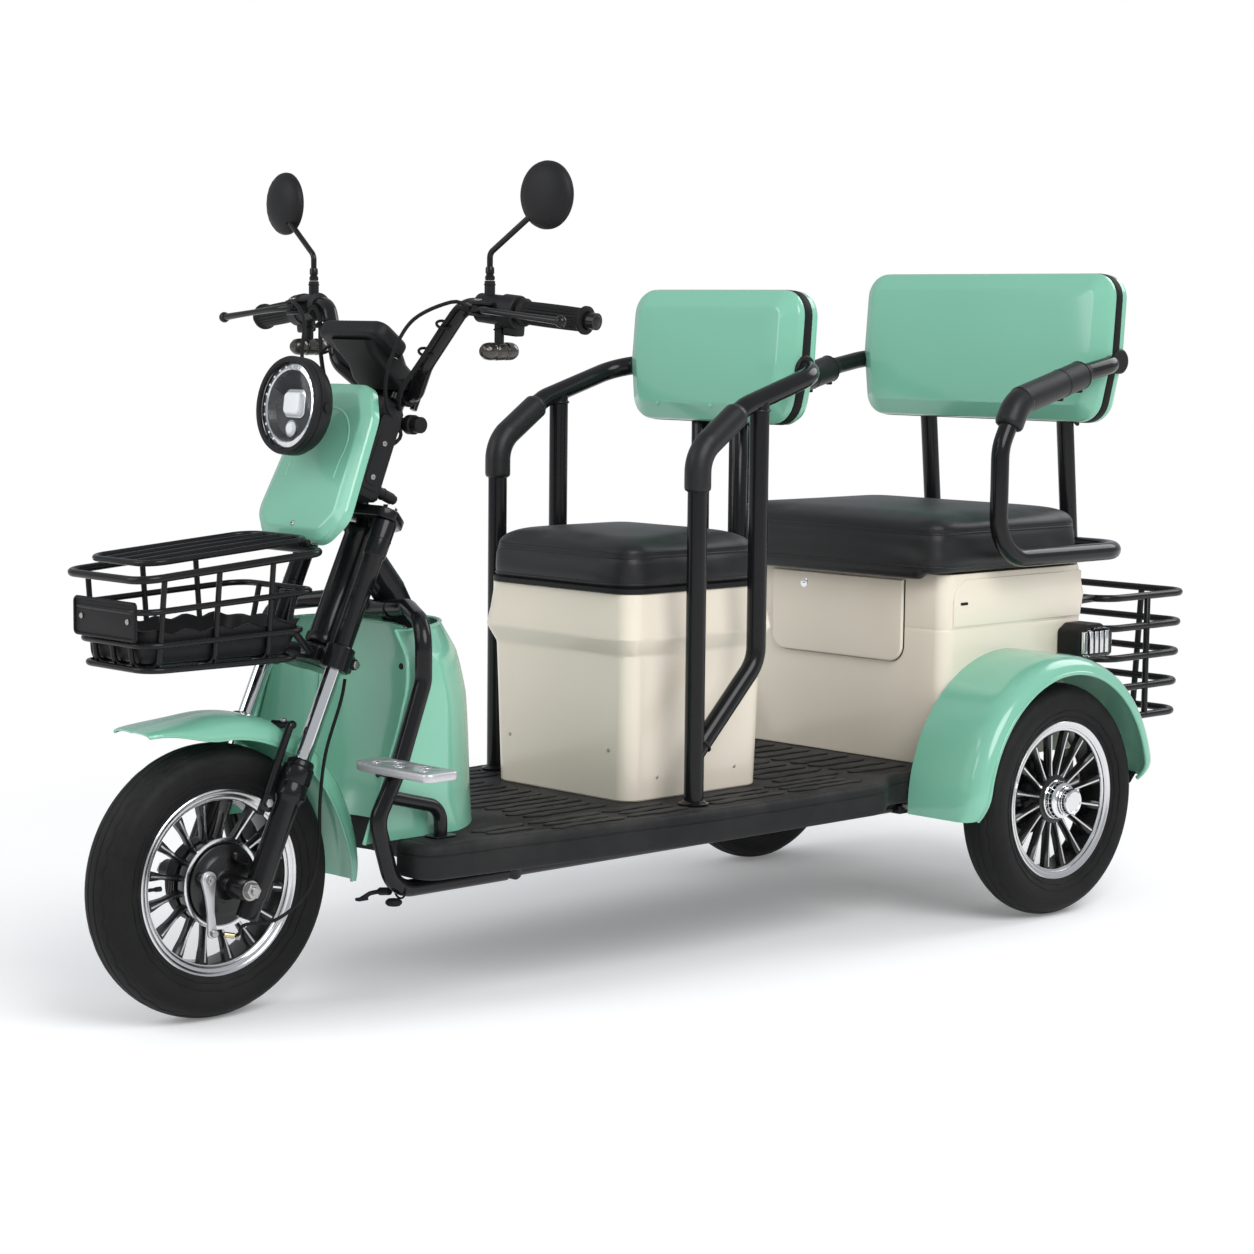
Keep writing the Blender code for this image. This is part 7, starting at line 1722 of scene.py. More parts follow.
def addBasketLid():
    cover = Shape()
    rear, front, half = basket["rear"] + 0.012, basket["front"] - 0.026, basket["half"] - 0.022
    corners = ((rear, -half), (front, -half), (front, half), (rear, half))
    hoop = rounded([lidAt(x, y) for x, y in corners], basket["corner"], 8, True)
    cover.tube(hoop, basket["wire"], 0, 20, closed=True)
    for y in (-0.036, 0.0, 0.036):
        middle = lidAt((rear + front) / 2, y) + upward(0.0015)
        cover.tube([lidAt(rear, y), middle, lidAt(front, y)], basket["lidWire"], 0, 18)
    axle = at(basket["rear"], 0.0, basketZ(basket["rear"], 1.0) + basket["rim"] + basket["wire"] + 0.0003)
    reach = half * 0.7
    cover.rod(axle - sideways(reach), axle + sideways(reach), basket["wire"], 0, 24)
    for y in (-0.036, 0.036):
        spots = [axle + sideways(y), axle + Vector((0.006, y, 0.006)), lidAt(rear, y)]
        cover.tube(rounded(spots, 0.004, 4), basket["lidWire"], 0, 18)
    cover.piece("basketLidWires", [mats["blackWire"]], "lid", ["basket_lid"], "black_wire", smooth=50.0)


addBasket()
addBasketBoard()
addBasketTray()
addBasketLid()
print("front basket ready")


# deck, leg shield, crash bar and pedal
deck = {
    "top": 0.263, "bottom": 0.2093, "rear": 0.140, "rearHalf": 0.247, "stepX": 0.300, "half": 0.300,
    "taperX": 0.760, "noseX": 1.335, "noseHalf": 0.247, "corner": 0.070, "ribRise": 0.0021,
    "notchX": 1.392, "notchDepth": 0.152, "notchHalf": 0.178, "notchGap": 0.012, "notchSteps": 24
}
shield = {
    "z": (0.2633, 0.310, 0.460, 0.530, 0.570), "lipX": (1.392, 1.370, 1.318, 1.305, 1.296),
    "arch": (0.152, 0.142, 0.098, 0.078, 0.064), "half": (0.172, 0.172, 0.172, 0.166, 0.128),
    "sideX": (1.214, 1.235, 1.238, 1.252, 1.262), "backX": (1.085, 1.082, 1.093, 1.112, 1.128),
    "wall": 0.004
}


def shieldAt(z):
    # values of the shield's section at one height
    levels = shield["z"]
    i = max(k for k in range(len(levels) - 1) if levels[k] <= z + 1e-9)
    t = (z - levels[i]) / (levels[i + 1] - levels[i])
    found = []
    for key in ("lipX", "arch", "half", "sideX", "backX"):
        values = shield[key]
        last = len(values) - 1
        p0, p1, p2, p3 = values[max(i - 1, 0)], values[i], values[i + 1], values[min(i + 2, last)]
        slopeA = (p2 - p0) / 2 if i else p2 - p1
        slopeB = (p3 - p1) / 2 if i + 2 < len(values) else p2 - p1
        found.append(
            p1 + slopeA * t + (3 * (p2 - p1) - 2 * slopeA - slopeB) * t * t
            + (slopeA + slopeB - 2 * (p2 - p1)) * t ** 3
        )
    return found


def shieldLoop(z, wall, count=33):
    lipX, arch, half, sideX, backX = shieldAt(z)
    half -= wall
    shares = [-math.cos(math.pi * i / (count - 1)) for i in range(count)]
    loop = []
    for share in shares:
        # hollow front with a flat middle and a soft crease
        hollow = math.sqrt(max(0.0, 1.0 - share * share))
        x = lipX - arch * (hollow - 0.06 * math.exp(-((abs(share) - 0.62) / 0.10) ** 2)) - wall
        loop.append(at(x, half * share, z))
    for share in reversed(shares):
        swell = max(0.0, 1.0 - share * share) ** 0.8
        loop.append(at(sideX + (backX - sideX) * swell + wall, half * share, z))
    return loop


def addShield():
    levels = [shield["z"][0] + (shield["z"][-1] - shield["z"][0]) * i / 36 for i in range(37)]
    outer = [shieldLoop(z, 0.0) for z in levels]
    inner = [shieldLoop(z, shield["wall"]) for z in reversed(levels)]
    shell = Shape()
    shell.loft(outer + inner, ring=True)
    for index in (0, 32):
        shell.tube([loop[index] for loop in outer], 0.0034, 0, 12)
    shell.tube(outer[-1], 0.0026, 0, 12, closed=True)
    for offset in (-8, 8):
        shell.tube([loop[16 + offset] + Vector((0.0003, 0.0, 0.0)) for loop in outer[2:34]], 0.0022, 0, 10)
    shell.piece("legShieldShell", [mats["mint"]], "chassis", ["leg_shield"], "mint_panel", smooth=50.0)
    trim = Shape()
    for z, y in ((0.330, 0.0), (0.505, 0.060), (0.505, -0.060)):
        lipX, arch, half = shieldAt(z)[:3]
        share = y / half
        x = lipX - arch * math.sqrt(1.0 - share * share)
        trim.rod(at(x - 0.001, y, z), at(x + 0.0022, y, z), 0.0050, 0, 24, 0.0008)
    trim.piece("shieldScrews", [mats["mattBlack"]], "chassis")


addShield()


def deckOutline():
    side = [
        (deck["rear"], deck["rearHalf"], 0.0), (deck["stepX"], deck["rearHalf"], 0.0),
        (deck["stepX"] + deck["corner"], deck["half"], 0.0), (deck["taperX"], deck["half"], 0.0)
    ]
    side += [(deck["noseX"], deck["noseHalf"], 0.0), (deck["noseX"], deck["notchHalf"], 0.0)]
    path = rounded(side, deck["corner"], 12)
    notch = []
    for i in range(1, deck["notchSteps"]):
        share = math.cos(math.pi * i / deck["notchSteps"])
        arch = deck["notchX"] - deck["notchDepth"] * math.sqrt(max(0.0, 1.0 - share * share))
        x = min(arch, deck["noseX"]) - deck["notchGap"]
        notch.append(Vector((x, deck["notchHalf"] * share, 0.0)))
    return path + notch + [Vector((p.x, -p.y, 0.0)) for p in reversed(path)]


def wavyRib(span, y, half, seed):
    # tread island with a stepped, wandering outline
    rear, front = span
    count = 40
    upper, lower = [], []
    for i in range(count + 1):
        t = i / count
        x = rear + (front - rear) * t
        ends = min(1.0, min(t, 1.0 - t) * (front - rear) / 0.014)
        wander = 0.0016 * math.sin(x * 95.0 + seed * 1.7) + 0.0012 * math.sin(x * 41.0 + seed * 2.9)
        step = 0.0024 * (1.0 if math.sin(x * 27.0 + seed) > 0.2 else 0.0)
        width = half * (0.35 + 0.65 * ends ** 0.6)
        upper.append(Vector((x, y + width + wander - step, 0.0)))
        lower.append(Vector((x, y - width + wander * 0.7 + step * 0.6, 0.0)))
    return upper + list(reversed(lower))


def addDeck():
    outline = deckOutline()
    base = Shape()
    levels = (
        (0.0085, deck["bottom"]), (0.0030, deck["bottom"] + 0.0030), (0.0006, deck["bottom"] + 0.0090),
        (0.0, deck["bottom"] + 0.0150), (0.0, deck["top"] - 0.0185), (0.0012, deck["top"] - 0.0178),
        (0.0012, deck["top"] - 0.0160), (0.0, deck["top"] - 0.0152), (0.0004, deck["top"] - 0.0100),
        (0.0020, deck["top"] - 0.0050), (0.0056, deck["top"] - 0.0014), (0.0100, deck["top"]),
        (0.0170, deck["top"]), (0.0185, deck["top"] - 0.0012), (0.0205, deck["top"] - 0.0012),
        (0.0220, deck["top"] - 0.0003)
    )
    loops = []
    notchCount = deck["notchSteps"] - 1
    count = (len(outline) - notchCount) // 2
    for inset, z in levels:
        ring = insetLoop(outline, inset) if inset else list(outline)
        edge = deck["noseX"] - inset
        ring[count - 1] = Vector((edge, deck["notchHalf"], 0.0))
        ring[-count] = Vector((edge, -deck["notchHalf"], 0.0))
        for i in range(count, count + notchCount):
            ring[i] = Vector((min(outline[i].x, edge - deck["notchGap"]), outline[i].y, 0.0))
        loops.append([at(p.x, p.y, z) for p in ring])
    base.loft(loops)
    base.piece("deckPan", [mats["deck"]], "chassis", ["floor_deck"], "deck_plastic", smooth=45.0)
    ribs = Shape()
    place = Matrix.Translation(at(0.0, 0.0, deck["top"]))

    def addRib(span, y, half, seed):
        ribs.slab(wavyRib(span, y, half, seed), -0.0008, deck["ribRise"], 0, place, ease=0.0008, steps=2)

    for i in range(11):
        addRib((0.880 + 0.006 * (i % 2), 1.066 - 0.010 * (i % 3)), round(-0.150 + 0.030 * i, 3), 0.0105, i)
    for side in (1, -1):
        runs = ((0.385, 0.560), (0.572, 0.745), (0.800, 0.930), (0.942, 1.090), (1.100, 1.205))
        for k, run in enumerate(runs):
            for lane in range(3):
                y = 0.198 + 0.0270 * lane
                if k == 4 and lane == 2:
                    continue
                shift = 0.008 * (lane % 2)
                addRib((run[0] + shift, run[1] - shift), y * side, 0.0098, k * 3 + lane)
    for i in range(9):
        y = -0.180 + 0.045 * i
        addRib((0.190, 0.330), y, 0.0150, i + 4)
        addRib((0.345, 0.505), y * 0.92, 0.0150, i + 9)
    ribs.piece("deckTread", [mats["deck"]], "chassis", slotName="deck_plastic", smooth=45.0)


addDeck()

crash = {
    "radius": 0.013, "bend": 0.045, "branch": 0.0104, "half": 0.192, "footX": 1.352, "branchX": 1.262,
    "lowZ": 0.1924
}
pedal = {
    "x": 1.3536, "z": 0.377, "length": 0.062, "inner": 0.176, "outer": 0.345, "thick": 0.014,
    "holes": ((0.36, 0.30), (0.36, 0.70), (0.72, 0.18), (0.72, 0.50), (0.72, 0.82)), "hole": 0.006
}


def addCrashBar():
    half, low, footX, branchX = crash["half"], crash["lowZ"], crash["footX"], crash["branchX"]
    spots = ((1.296, 0.585), (1.296, 0.500), (1.343, 0.375), (1.385, 0.300), (footX, low), (1.133, low))
    left = [at(1.246, 0.095, 0.600)] + [at(x, half, z) for x, z in spots]
    right = mirrorY(left, -1)
    hoop = rounded(list(reversed(right)) + [at(1.232, 0.0, 0.589)] + left, crash["bend"], 12)
    tubes = Shape()
    tubes.tube(hoop, crash["radius"], 0, 28)
    for side in (1, -1):
        y = half * side
        path = rounded(
            [at(1.366, y, 0.335), at(branchX, y, 0.308), at(branchX, y, deck["top"])], crash["bend"], 12
        )
        tubes.tube(path, crash["branch"], 0, 24)
        tubes.bead(at(1.3625, y, 0.334), Vector((0.97, 0.0, 0.25)), crash["branch"] + 0.0010, 0.0020)
        tubes.slab(
            roundRect(0.022, 0.016, 0.008), 0.0, 0.0024, 0,
            Matrix.Translation(at(branchX, y, deck["top"] + 0.0002)), ease=0.0006
        )
        tubes.rod(at(footX, y, 0.1795), at(footX, y, 0.1700), 0.0125, 1, 32, 0.003)
        tubes.bead(at(1.340, y, low), onward, crash["radius"], 0.0016, 1)
    saddle = at(1.2345, 0.0, 0.5885)
    for y in (-0.045, 0.045):
        tubes.bead(saddle + Vector((0.004, y, 0.004)), Vector((0.15, 1.0, 0.1)), crash["radius"], 0.0020)
    tubes.piece(
        "crashBarTubes", [mats["blackPaint"], mats["rubber"]], "chassis", ["crash_bar"], "black_paint",
        smooth=50.0
    )
    hook = Shape()
    hook.tube(
        rounded(
            [
                at(1.380, 0.148, 0.1760), at(1.366, 0.154, 0.1845), at(1.352, 0.160, 0.1865),
                at(1.300, 0.163, 0.1880)
            ],
            0.008, 8
        ),
        0.0034, 1, 18
    )
    hook.slab(
        roundRect(0.010, 0.006, 0.004), -0.002, 0.002, 1, Matrix.Translation(at(1.378, 0.149, 0.1765)),
        ease=0.0009
    )
    hook.rod(at(1.352, 0.160, 0.1865), at(1.352, 0.182, 0.1900), 0.0060, 1, 20)
    hook.piece("deckCatchRod", [mats["steel"], mats["mattBlack"]], "chassis")


addCrashBar()


def bakedMesh(made):
    # the mesh with its modifiers applied, which then go
    graph = bpy.context.evaluated_depsgraph_get()
    mesh = bpy.data.meshes.new_from_object(made.evaluated_get(graph))
    made.modifiers.clear()
    return mesh


def cutAway(solid, cutter, finishes):
    # takes the cutter's shells out of a finished piece
    tool = cutter.build("cutter", finishes)
    boolean = solid.modifiers.new("cut", "BOOLEAN")
    boolean.operation = "DIFFERENCE"
    boolean.object = tool
    solid.data = bakedMesh(solid)
    bpy.data.objects.remove(tool)


def addPedal():
    low, length = pedal["x"], pedal["length"]
    middle = (pedal["inner"] + pedal["outer"]) / 2
    place = Matrix.Translation(at(low + length / 2, middle, pedal["z"]))
    halfY = (pedal["outer"] - pedal["inner"]) / 2
    made = Shape()
    made.slab(roundRect(length / 2, halfY, 0.012, 6), 0.0, pedal["thick"], 0, place, ease=0.0045, steps=4)
    solid = made.piece(
        "brakePedalPlate", [mats["castAlloy"], mats["mattBlack"]], "foot_brake", ["brake_pedal"],
        "lever_alloy", smooth=40.0
    )
    holes = Shape()
    for ahead, across in pedal["holes"]:
        spot = at(low + length * ahead, pedal["inner"] + halfY * 2 * across, pedal["z"])
        holes.rod(spot - upward(0.02), spot + upward(0.04), pedal["hole"], 1, 28)
    cutAway(solid, holes, [mats["castAlloy"], mats["mattBlack"]])
    edge = Shape()
    y, z = pedal["inner"] + 0.004, pedal["z"] + 0.010
    edge.tube([at(low + 0.006, y, z), at(low + length - 0.006, y, z)], 0.0050, 0, 20)
    for ahead, across in pedal["holes"]:
        spot = at(low + length * ahead, pedal["inner"] + halfY * 2 * across, pedal["z"] + pedal["thick"])
        edge.bead(spot, skyward, pedal["hole"] + 0.0010, 0.0009)
    edge.piece("brakePedalRims", [mats["castAlloy"]], "foot_brake", slotName="lever_alloy")
    arm = Shape()
    arm.slab(
        roundRect(0.016, 0.012, 0.006), -0.0110, 0.0, 0,
        Matrix.Translation(at(low + 0.010, 0.196, pedal["z"])), ease=0.002
    )
    arm.piece("brakePedalBoss", [mats["blackPaint"]], "foot_brake")


addPedal()


rails = {"low": 0.1942, "high": 0.300, "half": 0.170, "tube": 0.016, "cross": 0.0135, "neck": 0.0268}


def addMainFrame():
    tubes = Shape()
    low, high = rails["low"], rails["high"]
    for side in (1, -1):
        y = rails["half"] * side
        spots = [at(1.120, y, low), at(0.105, y, low), at(0.035, y, high), at(-0.300, y, high)]
        tubes.tube(rounded(spots, 0.050, 10), rails["tube"], 0, 28)
        for x, root in ((0.195, low), (-0.270, high)):
            foot = 0.188 if x > 0.0 else 0.186
            tubes.slab(
                roundRect(0.016, 0.012, 0.004), min(foot, root) - 0.010, max(foot, root), 0,
                Matrix.Translation(at(x, 0.182 * side, 0.0)), ease=0.002
            )
    for x, z, reach in ((1.120, low, 0.205), (0.560, low, rails["half"]), (-0.292, high, 0.196)):
        tubes.rod(at(x, -reach, z), at(x, reach, z), rails["cross"], 0, 28, 0.001)
        for side in (1, -1):
            tubes.bead(at(x, 0.1555 * side, z), leftward, 0.0140, 0.0020)
    spots = ((1.208, 0.617), (1.170, 0.550), (1.145, 0.450), (1.135, 0.320), (1.120, low))
    neck = [raked(0.262, 0.0, -layout["stemSetback"])] + [at(x, 0.0, z) for x, z in spots]
    tubes.tube(smoothThrough(rounded(neck, 0.054, 6), 0.012), rails["neck"], 0, 36)
    tubes.lathe(
        [
            (0.0155, 0.0972), (0.0285, 0.0972), (0.0290, 0.0990), (0.0290, 0.1100), (0.0262, 0.1130),
            (0.0258, 0.2740), (0.0290, 0.2770), (0.0290, 0.2885), (0.0280, 0.2898), (0.0155, 0.2898)
        ],
        stemFrame(), 0, 48, ring=True
    )
    tubes.piece(
        "mainFrameTubes", [mats["blackPaint"]], "chassis", ["main_frame"], "black_paint", smooth=50.0
    )


addMainFrame()
print("deck and chassis front ready")

# soft seats
seatBox = {"rear": 0.525, "front": 0.855, "half": 0.173, "low": 0.2633, "round": 0.030, "wall": 0.006}
frontPad = {
    "rear": 0.539, "front": 0.861, "half": 0.176, "bottom": 0.6040, "top": 0.680, "crown": 0.012,
    "round": 0.045, "edge": 0.020, "puff": 0.006, "seamDrop": 0.022, "smoothing": 14
}
benchPad = {
    "rear": -0.216, "front": 0.210, "half": 0.264, "bottom": 0.6040, "top": 0.698, "crown": 0.010,
    "round": 0.045, "edge": 0.022, "puff": 0.006, "seamDrop": 0.026, "smoothing": 16
}


def cushionBase(pad, droop):
    rows = []
    edge = pad["edge"]
    levels = [
        (pad["bottom"], edge * 0.5), (pad["bottom"] + edge * 0.35, edge * 0.12),
        (pad["bottom"] + edge * 0.9, 0.0), ((pad["bottom"] + pad["top"]) / 2, 0.002),
        (pad["top"] - edge, 0.0)
    ]
    for i in range(1, 6):
        angle = math.pi / 2 * i / 5
        levels.append((pad["top"] - edge + edge * math.sin(angle), edge * (1 - math.cos(angle))))
    dense = densified(rectLoop(pad["rear"], pad["front"], pad["half"], pad["round"], 8), 0.015)
    for z, inset in levels:
        ring = insetLoop(dense, inset) if inset else dense
        rows.append([at(p.x, p.y, z) for p in ring])
    centre = at((pad["rear"] + pad["front"]) / 2, 0.0, 0.0)
    top = rows[-1]
    for share in (0.85, 0.65, 0.42, 0.20):
        rise = pad["top"] + pad["crown"] * (1.0 - share ** 2)
        rows.append([Vector((centre.x + (p.x - centre.x) * share, p.y * share, rise)) for p in top])
    shape = Shape()
    shape.loft(rows)
    if droop:
        x, z = pad["front"] - 0.0175, pad["bottom"] - droop + 0.014
        shape.rod(at(x, -pad["half"] + 0.042, z), at(x, pad["half"] - 0.042, z), 0.0165, 0, 28, 0.008)
        block = rounded(
            [
                (x - 0.0160, pad["bottom"] - droop + 0.012, 0.0),
                (x + 0.0165, pad["bottom"] - droop + 0.012, 0.0),
                (x + 0.0165, pad["bottom"] + 0.020, 0.0), (x - 0.0160, pad["bottom"] + 0.020, 0.0)
            ],
            0.003, 3, True
        )
        shape.loft([[at(p.x, y, p.y) for p in block] for y in (-pad["half"] + 0.042, pad["half"] - 0.042)])
    return shape


# cloth that swells the padding, and the heights that it keeps clear of
stuffing = {
    "voxel": 0.006, "pressure": 4.0, "stretch": 12.0, "shear": 6.0, "bend": 0.8, "quality": 5,
    "frames": 20, "held": 0.012, "tray": 0.6012, "lip": 0.5910, "lipX": 0.170
}


def stuffed(name, pad, even):
    # lets a copy swell as cloth and takes over its shape, up to the pad's puff
    scene = bpy.context.scene
    rest = [v.co.copy() for v in even.vertices]
    trial = bpy.data.objects.new(name + "Trial", even.copy())
    scene.collection.objects.link(trial)
    held = trial.vertex_groups.new(name="held")
    floor = pad["bottom"] + stuffing["held"]
    held.add([i for i, co in enumerate(rest) if co.z < floor], 1.0, "REPLACE")
    cloth = trial.modifiers.new("stuffing", "CLOTH")
    cloth.settings.use_pressure = True
    cloth.settings.uniform_pressure_force = stuffing["pressure"]
    cloth.settings.effector_weights.gravity = 0.0
    cloth.settings.vertex_group_mass = "held"
    cloth.settings.tension_stiffness = stuffing["stretch"]
    cloth.settings.compression_stiffness = stuffing["stretch"]
    cloth.settings.shear_stiffness = stuffing["shear"]
    cloth.settings.bending_stiffness = stuffing["bend"]
    cloth.settings.quality = stuffing["quality"]
    cloth.collision_settings.use_collision = False
    cloth.point_cache.frame_start = 1
    cloth.point_cache.frame_end = stuffing["frames"]
    for frameNumber in range(1, stuffing["frames"] + 1):
        scene.frame_set(frameNumber)
    graph = bpy.context.evaluated_depsgraph_get()
    posed = trial.evaluated_get(graph).to_mesh()
    for vertex, start, end in zip(even.vertices, rest, posed.vertices):
        move = end.co - start
        if move.length > pad["puff"]:
            move *= pad["puff"] / move.length
        vertex.co = start + move
    trial.evaluated_get(graph).to_mesh_clear()
    bpy.data.objects.remove(trial)
    scene.frame_set(1)


def drawSeam(even, pad, seam):
    # drawn-in channel where the top panel is sewn to the sides
    bm = bmesh.new()
    bm.from_mesh(even)
    for _ in range(pad["smoothing"]):
        bmesh.ops.smooth_vert(
            bm, verts=[v for v in bm.verts if v.co.z > pad["bottom"] + 0.004], factor=0.5,
            use_axis_x=True, use_axis_y=True, use_axis_z=True
        )
    bm.normal_update()
    for vertex in bm.verts:
        depth = 0.0030 * math.exp(-((vertex.co.z - seam) / 0.0045) ** 2)
        if abs(vertex.normal.z) < 0.8:
            vertex.co -= vertex.normal * depth
    bm.to_mesh(even)
    bm.free()


def addPiping(name, pad, body, made, seam):
    # piping and stitches laid on the finished skin
    tree = bvh(made)
    out = 0.02
    ring = densified(
        rectLoop(pad["rear"] - out, pad["front"] + out, pad["half"] + out, pad["round"] + out, 10),
        0.006
    )
    sewn = Shape()
    for z, radius, sink in ((seam, 0.0021, 0.0004), (pad["bottom"] + 0.011, 0.0024, 0.0004)):
        centre = at((pad["rear"] + pad["front"]) / 2, 0.0, z)
        laid = [layOn(tree, at(p.x, p.y, z), centre, -sink) for p in ring]
        sewn.tube(laid, radius, 0, 10, closed=True)
    z = seam + 0.0075
    centre = at((pad["rear"] + pad["front"]) / 2, 0.0, z)
    for p, q in zip(ring, ring[1:]):
        if (q - p).length > 0.012:
            continue
        a = layOn(tree, at(p.x, p.y, z), centre, 0.0003)
        b = layOn(tree, at(p.x + (q.x - p.x) * 0.6, p.y + (q.y - p.y) * 0.6, z), centre, 0.0003)
        if (b - a).length < 0.010:
            sewn.tube([a, (a + b) / 2, b], 0.0005, 1, 6)
    sewn.piece(name + "Piping", [mats["leatherette"], mats["thread"]], body, slotName="black_leatherette")


def addCushion(name, pad, body, node, droop=0.0):
    made = cushionBase(pad, droop).piece(
        name, [mats["leatherette"]], body, [node], "black_leatherette", smooth=70.0
    )
    remesh = made.modifiers.new("evenSkin", "REMESH")
    remesh.mode = "VOXEL"
    remesh.voxel_size = stuffing["voxel"]
    even = bakedMesh(made)
    stuffed(name, pad, even)
    tray, lipX = stuffing["tray"], at(stuffing["lipX"], 0.0, 0.0).x
    lowest = stuffing["lip"] if droop else tray
    for vertex in even.vertices:
        vertex.co.z = max(vertex.co.z, lowest)
        if droop and vertex.co.z < tray and vertex.co.x < lipX:
            vertex.co.z = tray
    seam = pad["top"] - pad["seamDrop"]
    drawSeam(even, pad, seam)
    even.shade_smooth()
    even.materials.clear()
    even.materials.append(mats["leatherette"])
    made.data = even
    smoothSkin = made.modifiers.new("softSkin", "SUBSURF")
    smoothSkin.levels = 1
    smoothSkin.render_levels = 1
    addPiping(name, pad, body, made, seam)


def bvh(obj):
    return BVHTree.FromPolygons([v.co for v in obj.data.vertices], [p.vertices for p in obj.data.polygons])


def layOn(tree, outside, inside, lift):
    # point where the line from outside meets the skin
    run = (inside - outside).normalized()
    hit = tree.ray_cast(outside - run * 0.02, run)[0]
    return hit - run * lift if hit is not None else outside


addCushion("driverCushion", frontPad, "front_seat", "front_seat_cushion")
addCushion("benchCushion", benchPad, "rear_seat", "rear_seat_cushion", droop=0.010)
print("cushions ready")


def boxLoft(levels, corner):
    loops = []
    for z, rear, front, half in levels:
        loops.append([at(p.x, p.y, z) for p in rectLoop(rear, front, half, corner, 10)])
    return loops


def innerLevels(levels, wall):
    return [(z, rear + wall, front - wall, half - wall) for z, rear, front, half in reversed(levels)]


def addSeatBox():
    box = Shape()
    levels = []
    for z, out in (
        (0.2633, -0.0115), (0.2655, -0.0102), (0.300, -0.0093), (0.440, -0.0058), (0.4950, -0.0042),
        (0.5000, -0.0036), (0.5035, -0.0020), (0.5240, 0.0066), (0.5280, 0.0078), (0.5320, 0.0076),
        (0.5560, 0.0034), (0.5840, 0.0002), (0.5990, 0.0), (0.600, -0.0008)
    ):
        levels.append((z, seatBox["rear"] - out, seatBox["front"] + out, seatBox["half"] + out))
    inside = innerLevels(levels[2:], seatBox["wall"])
    floor = seatBox["low"] + seatBox["wall"]
    inside.append((floor, inside[-1][1], inside[-1][2], inside[-1][3]))
    box.loft(boxLoft(levels, seatBox["round"]) + boxLoft(inside, seatBox["round"] - seatBox["wall"]))
    box.piece("driverBoxShell", [mats["cream"]], "chassis", ["front_seat_box"], "cream_panel", smooth=22.0)
    trim = Shape()
    for y in (-0.120, 0.120):
        spot = at(seatBox["front"] - 0.0074, y, 0.345)
        trim.rod(spot - Vector((0.002, 0.0, 0.0)), spot + Vector((0.0006, 0.0, 0.0)), 0.0030, 0, 20)
    for x in (0.600, 0.780):
        for side in (1, -1):
            spot = at(x, (seatBox["half"] - 0.0090) * side, 0.300)
            trim.rod(spot, spot + sideways(0.0012 * side), 0.0030, 0, 20)
    trim.piece("driverBoxScrews", [mats["steel"]], "chassis")
    tray = Shape()
    levels = []
    for z, out in ((0.6003, 0.0), (0.6010, 0.002), (0.6085, 0.002), (0.6095, 0.0)):
        rear, front = seatBox["rear"] + 0.010 - out, seatBox["front"] + 0.004 + out
        levels.append((z, rear, front, seatBox["half"] + 0.001 + out))
    tray.loft(boxLoft(levels, 0.044))
    tray.piece("driverSeatTray", [mats["mattBlack"]], "front_seat", slotName="black_leatherette")


addSeatBox()


# driver's arm frame: front posts, rear posts and the two that carry the backrest
arms = {
    "tube": 0.016, "bend": 0.060, "half": 0.240, "frontX": 0.772, "rearX": 0.632, "backX": 0.478,
    "backHalf": 0.045, "branchZ": 0.345, "backZ": 0.958, "pad": 0.0215
}


def armLeft():
    spots = (
        (arms["frontX"], deck["top"]), (arms["frontX"], 0.826), (0.668, 0.899),
        (arms["backX"], arms["backZ"])
    )
    return [at(x, arms["half"], z) for x, z in spots]


def addFrontFrame():
    left = armLeft()
    frontX, rearX, backX = arms["frontX"], arms["rearX"], arms["backX"]
    tubes = Shape()
    tubes.tube(rounded(left + list(reversed(mirrorY(left, -1))), arms["bend"], 12), arms["tube"], 0, 32)
    for side in (1, -1):
        y, post = arms["half"] * side, arms["backHalf"] * side
        branch = arms["branchZ"]
        knee = branch + frontX - rearX
        path = rounded([at(frontX, y, branch), at(rearX, y, knee), at(rearX, y, 0.905)], arms["bend"], 12)
        tubes.tube(path, arms["tube"], 0, 32)
        tubes.bead(at(0.757, y, 0.360), Vector((-0.7, 0.0, 0.7)), 0.0165, 0.0024)
        tubes.bead(at(rearX, y, 0.8925), skyward, 0.0162, 0.0024)
        tubes.rod(at(backX, post, deck["top"]), at(backX, post, arms["backZ"]), arms["tube"], 0, 32)
        flange = [
            (0.0, 0.0003), (0.0240, 0.0003), (0.0246, 0.0012), (0.0246, 0.0034), (0.0200, 0.0050),
            (0.0172, 0.0080), (0.0, 0.0080)
        ]
        for x, foot in ((frontX, y), (backX, post)):
            tubes.lathe(flange, Matrix.Translation(at(x, foot, deck["top"])), 0, 36)
    tubes.piece(
        "driverArmFrame", [mats["blackPaint"]], "chassis", ["front_seat_frame"], "black_paint",
        smooth=50.0
    )
    for label, side in sides:
        knee, middle = Vector(left[1]), Vector(left[2])
        spots = mirrorY([knee - upward(arms["bend"]), knee, knee.lerp(middle, 0.9)], side)
        path = rounded(spots, arms["bend"], 16)
        addArmSleeve("driverArmPad" + label.title(), path, arms["pad"], "front_arm_pad_" + label)


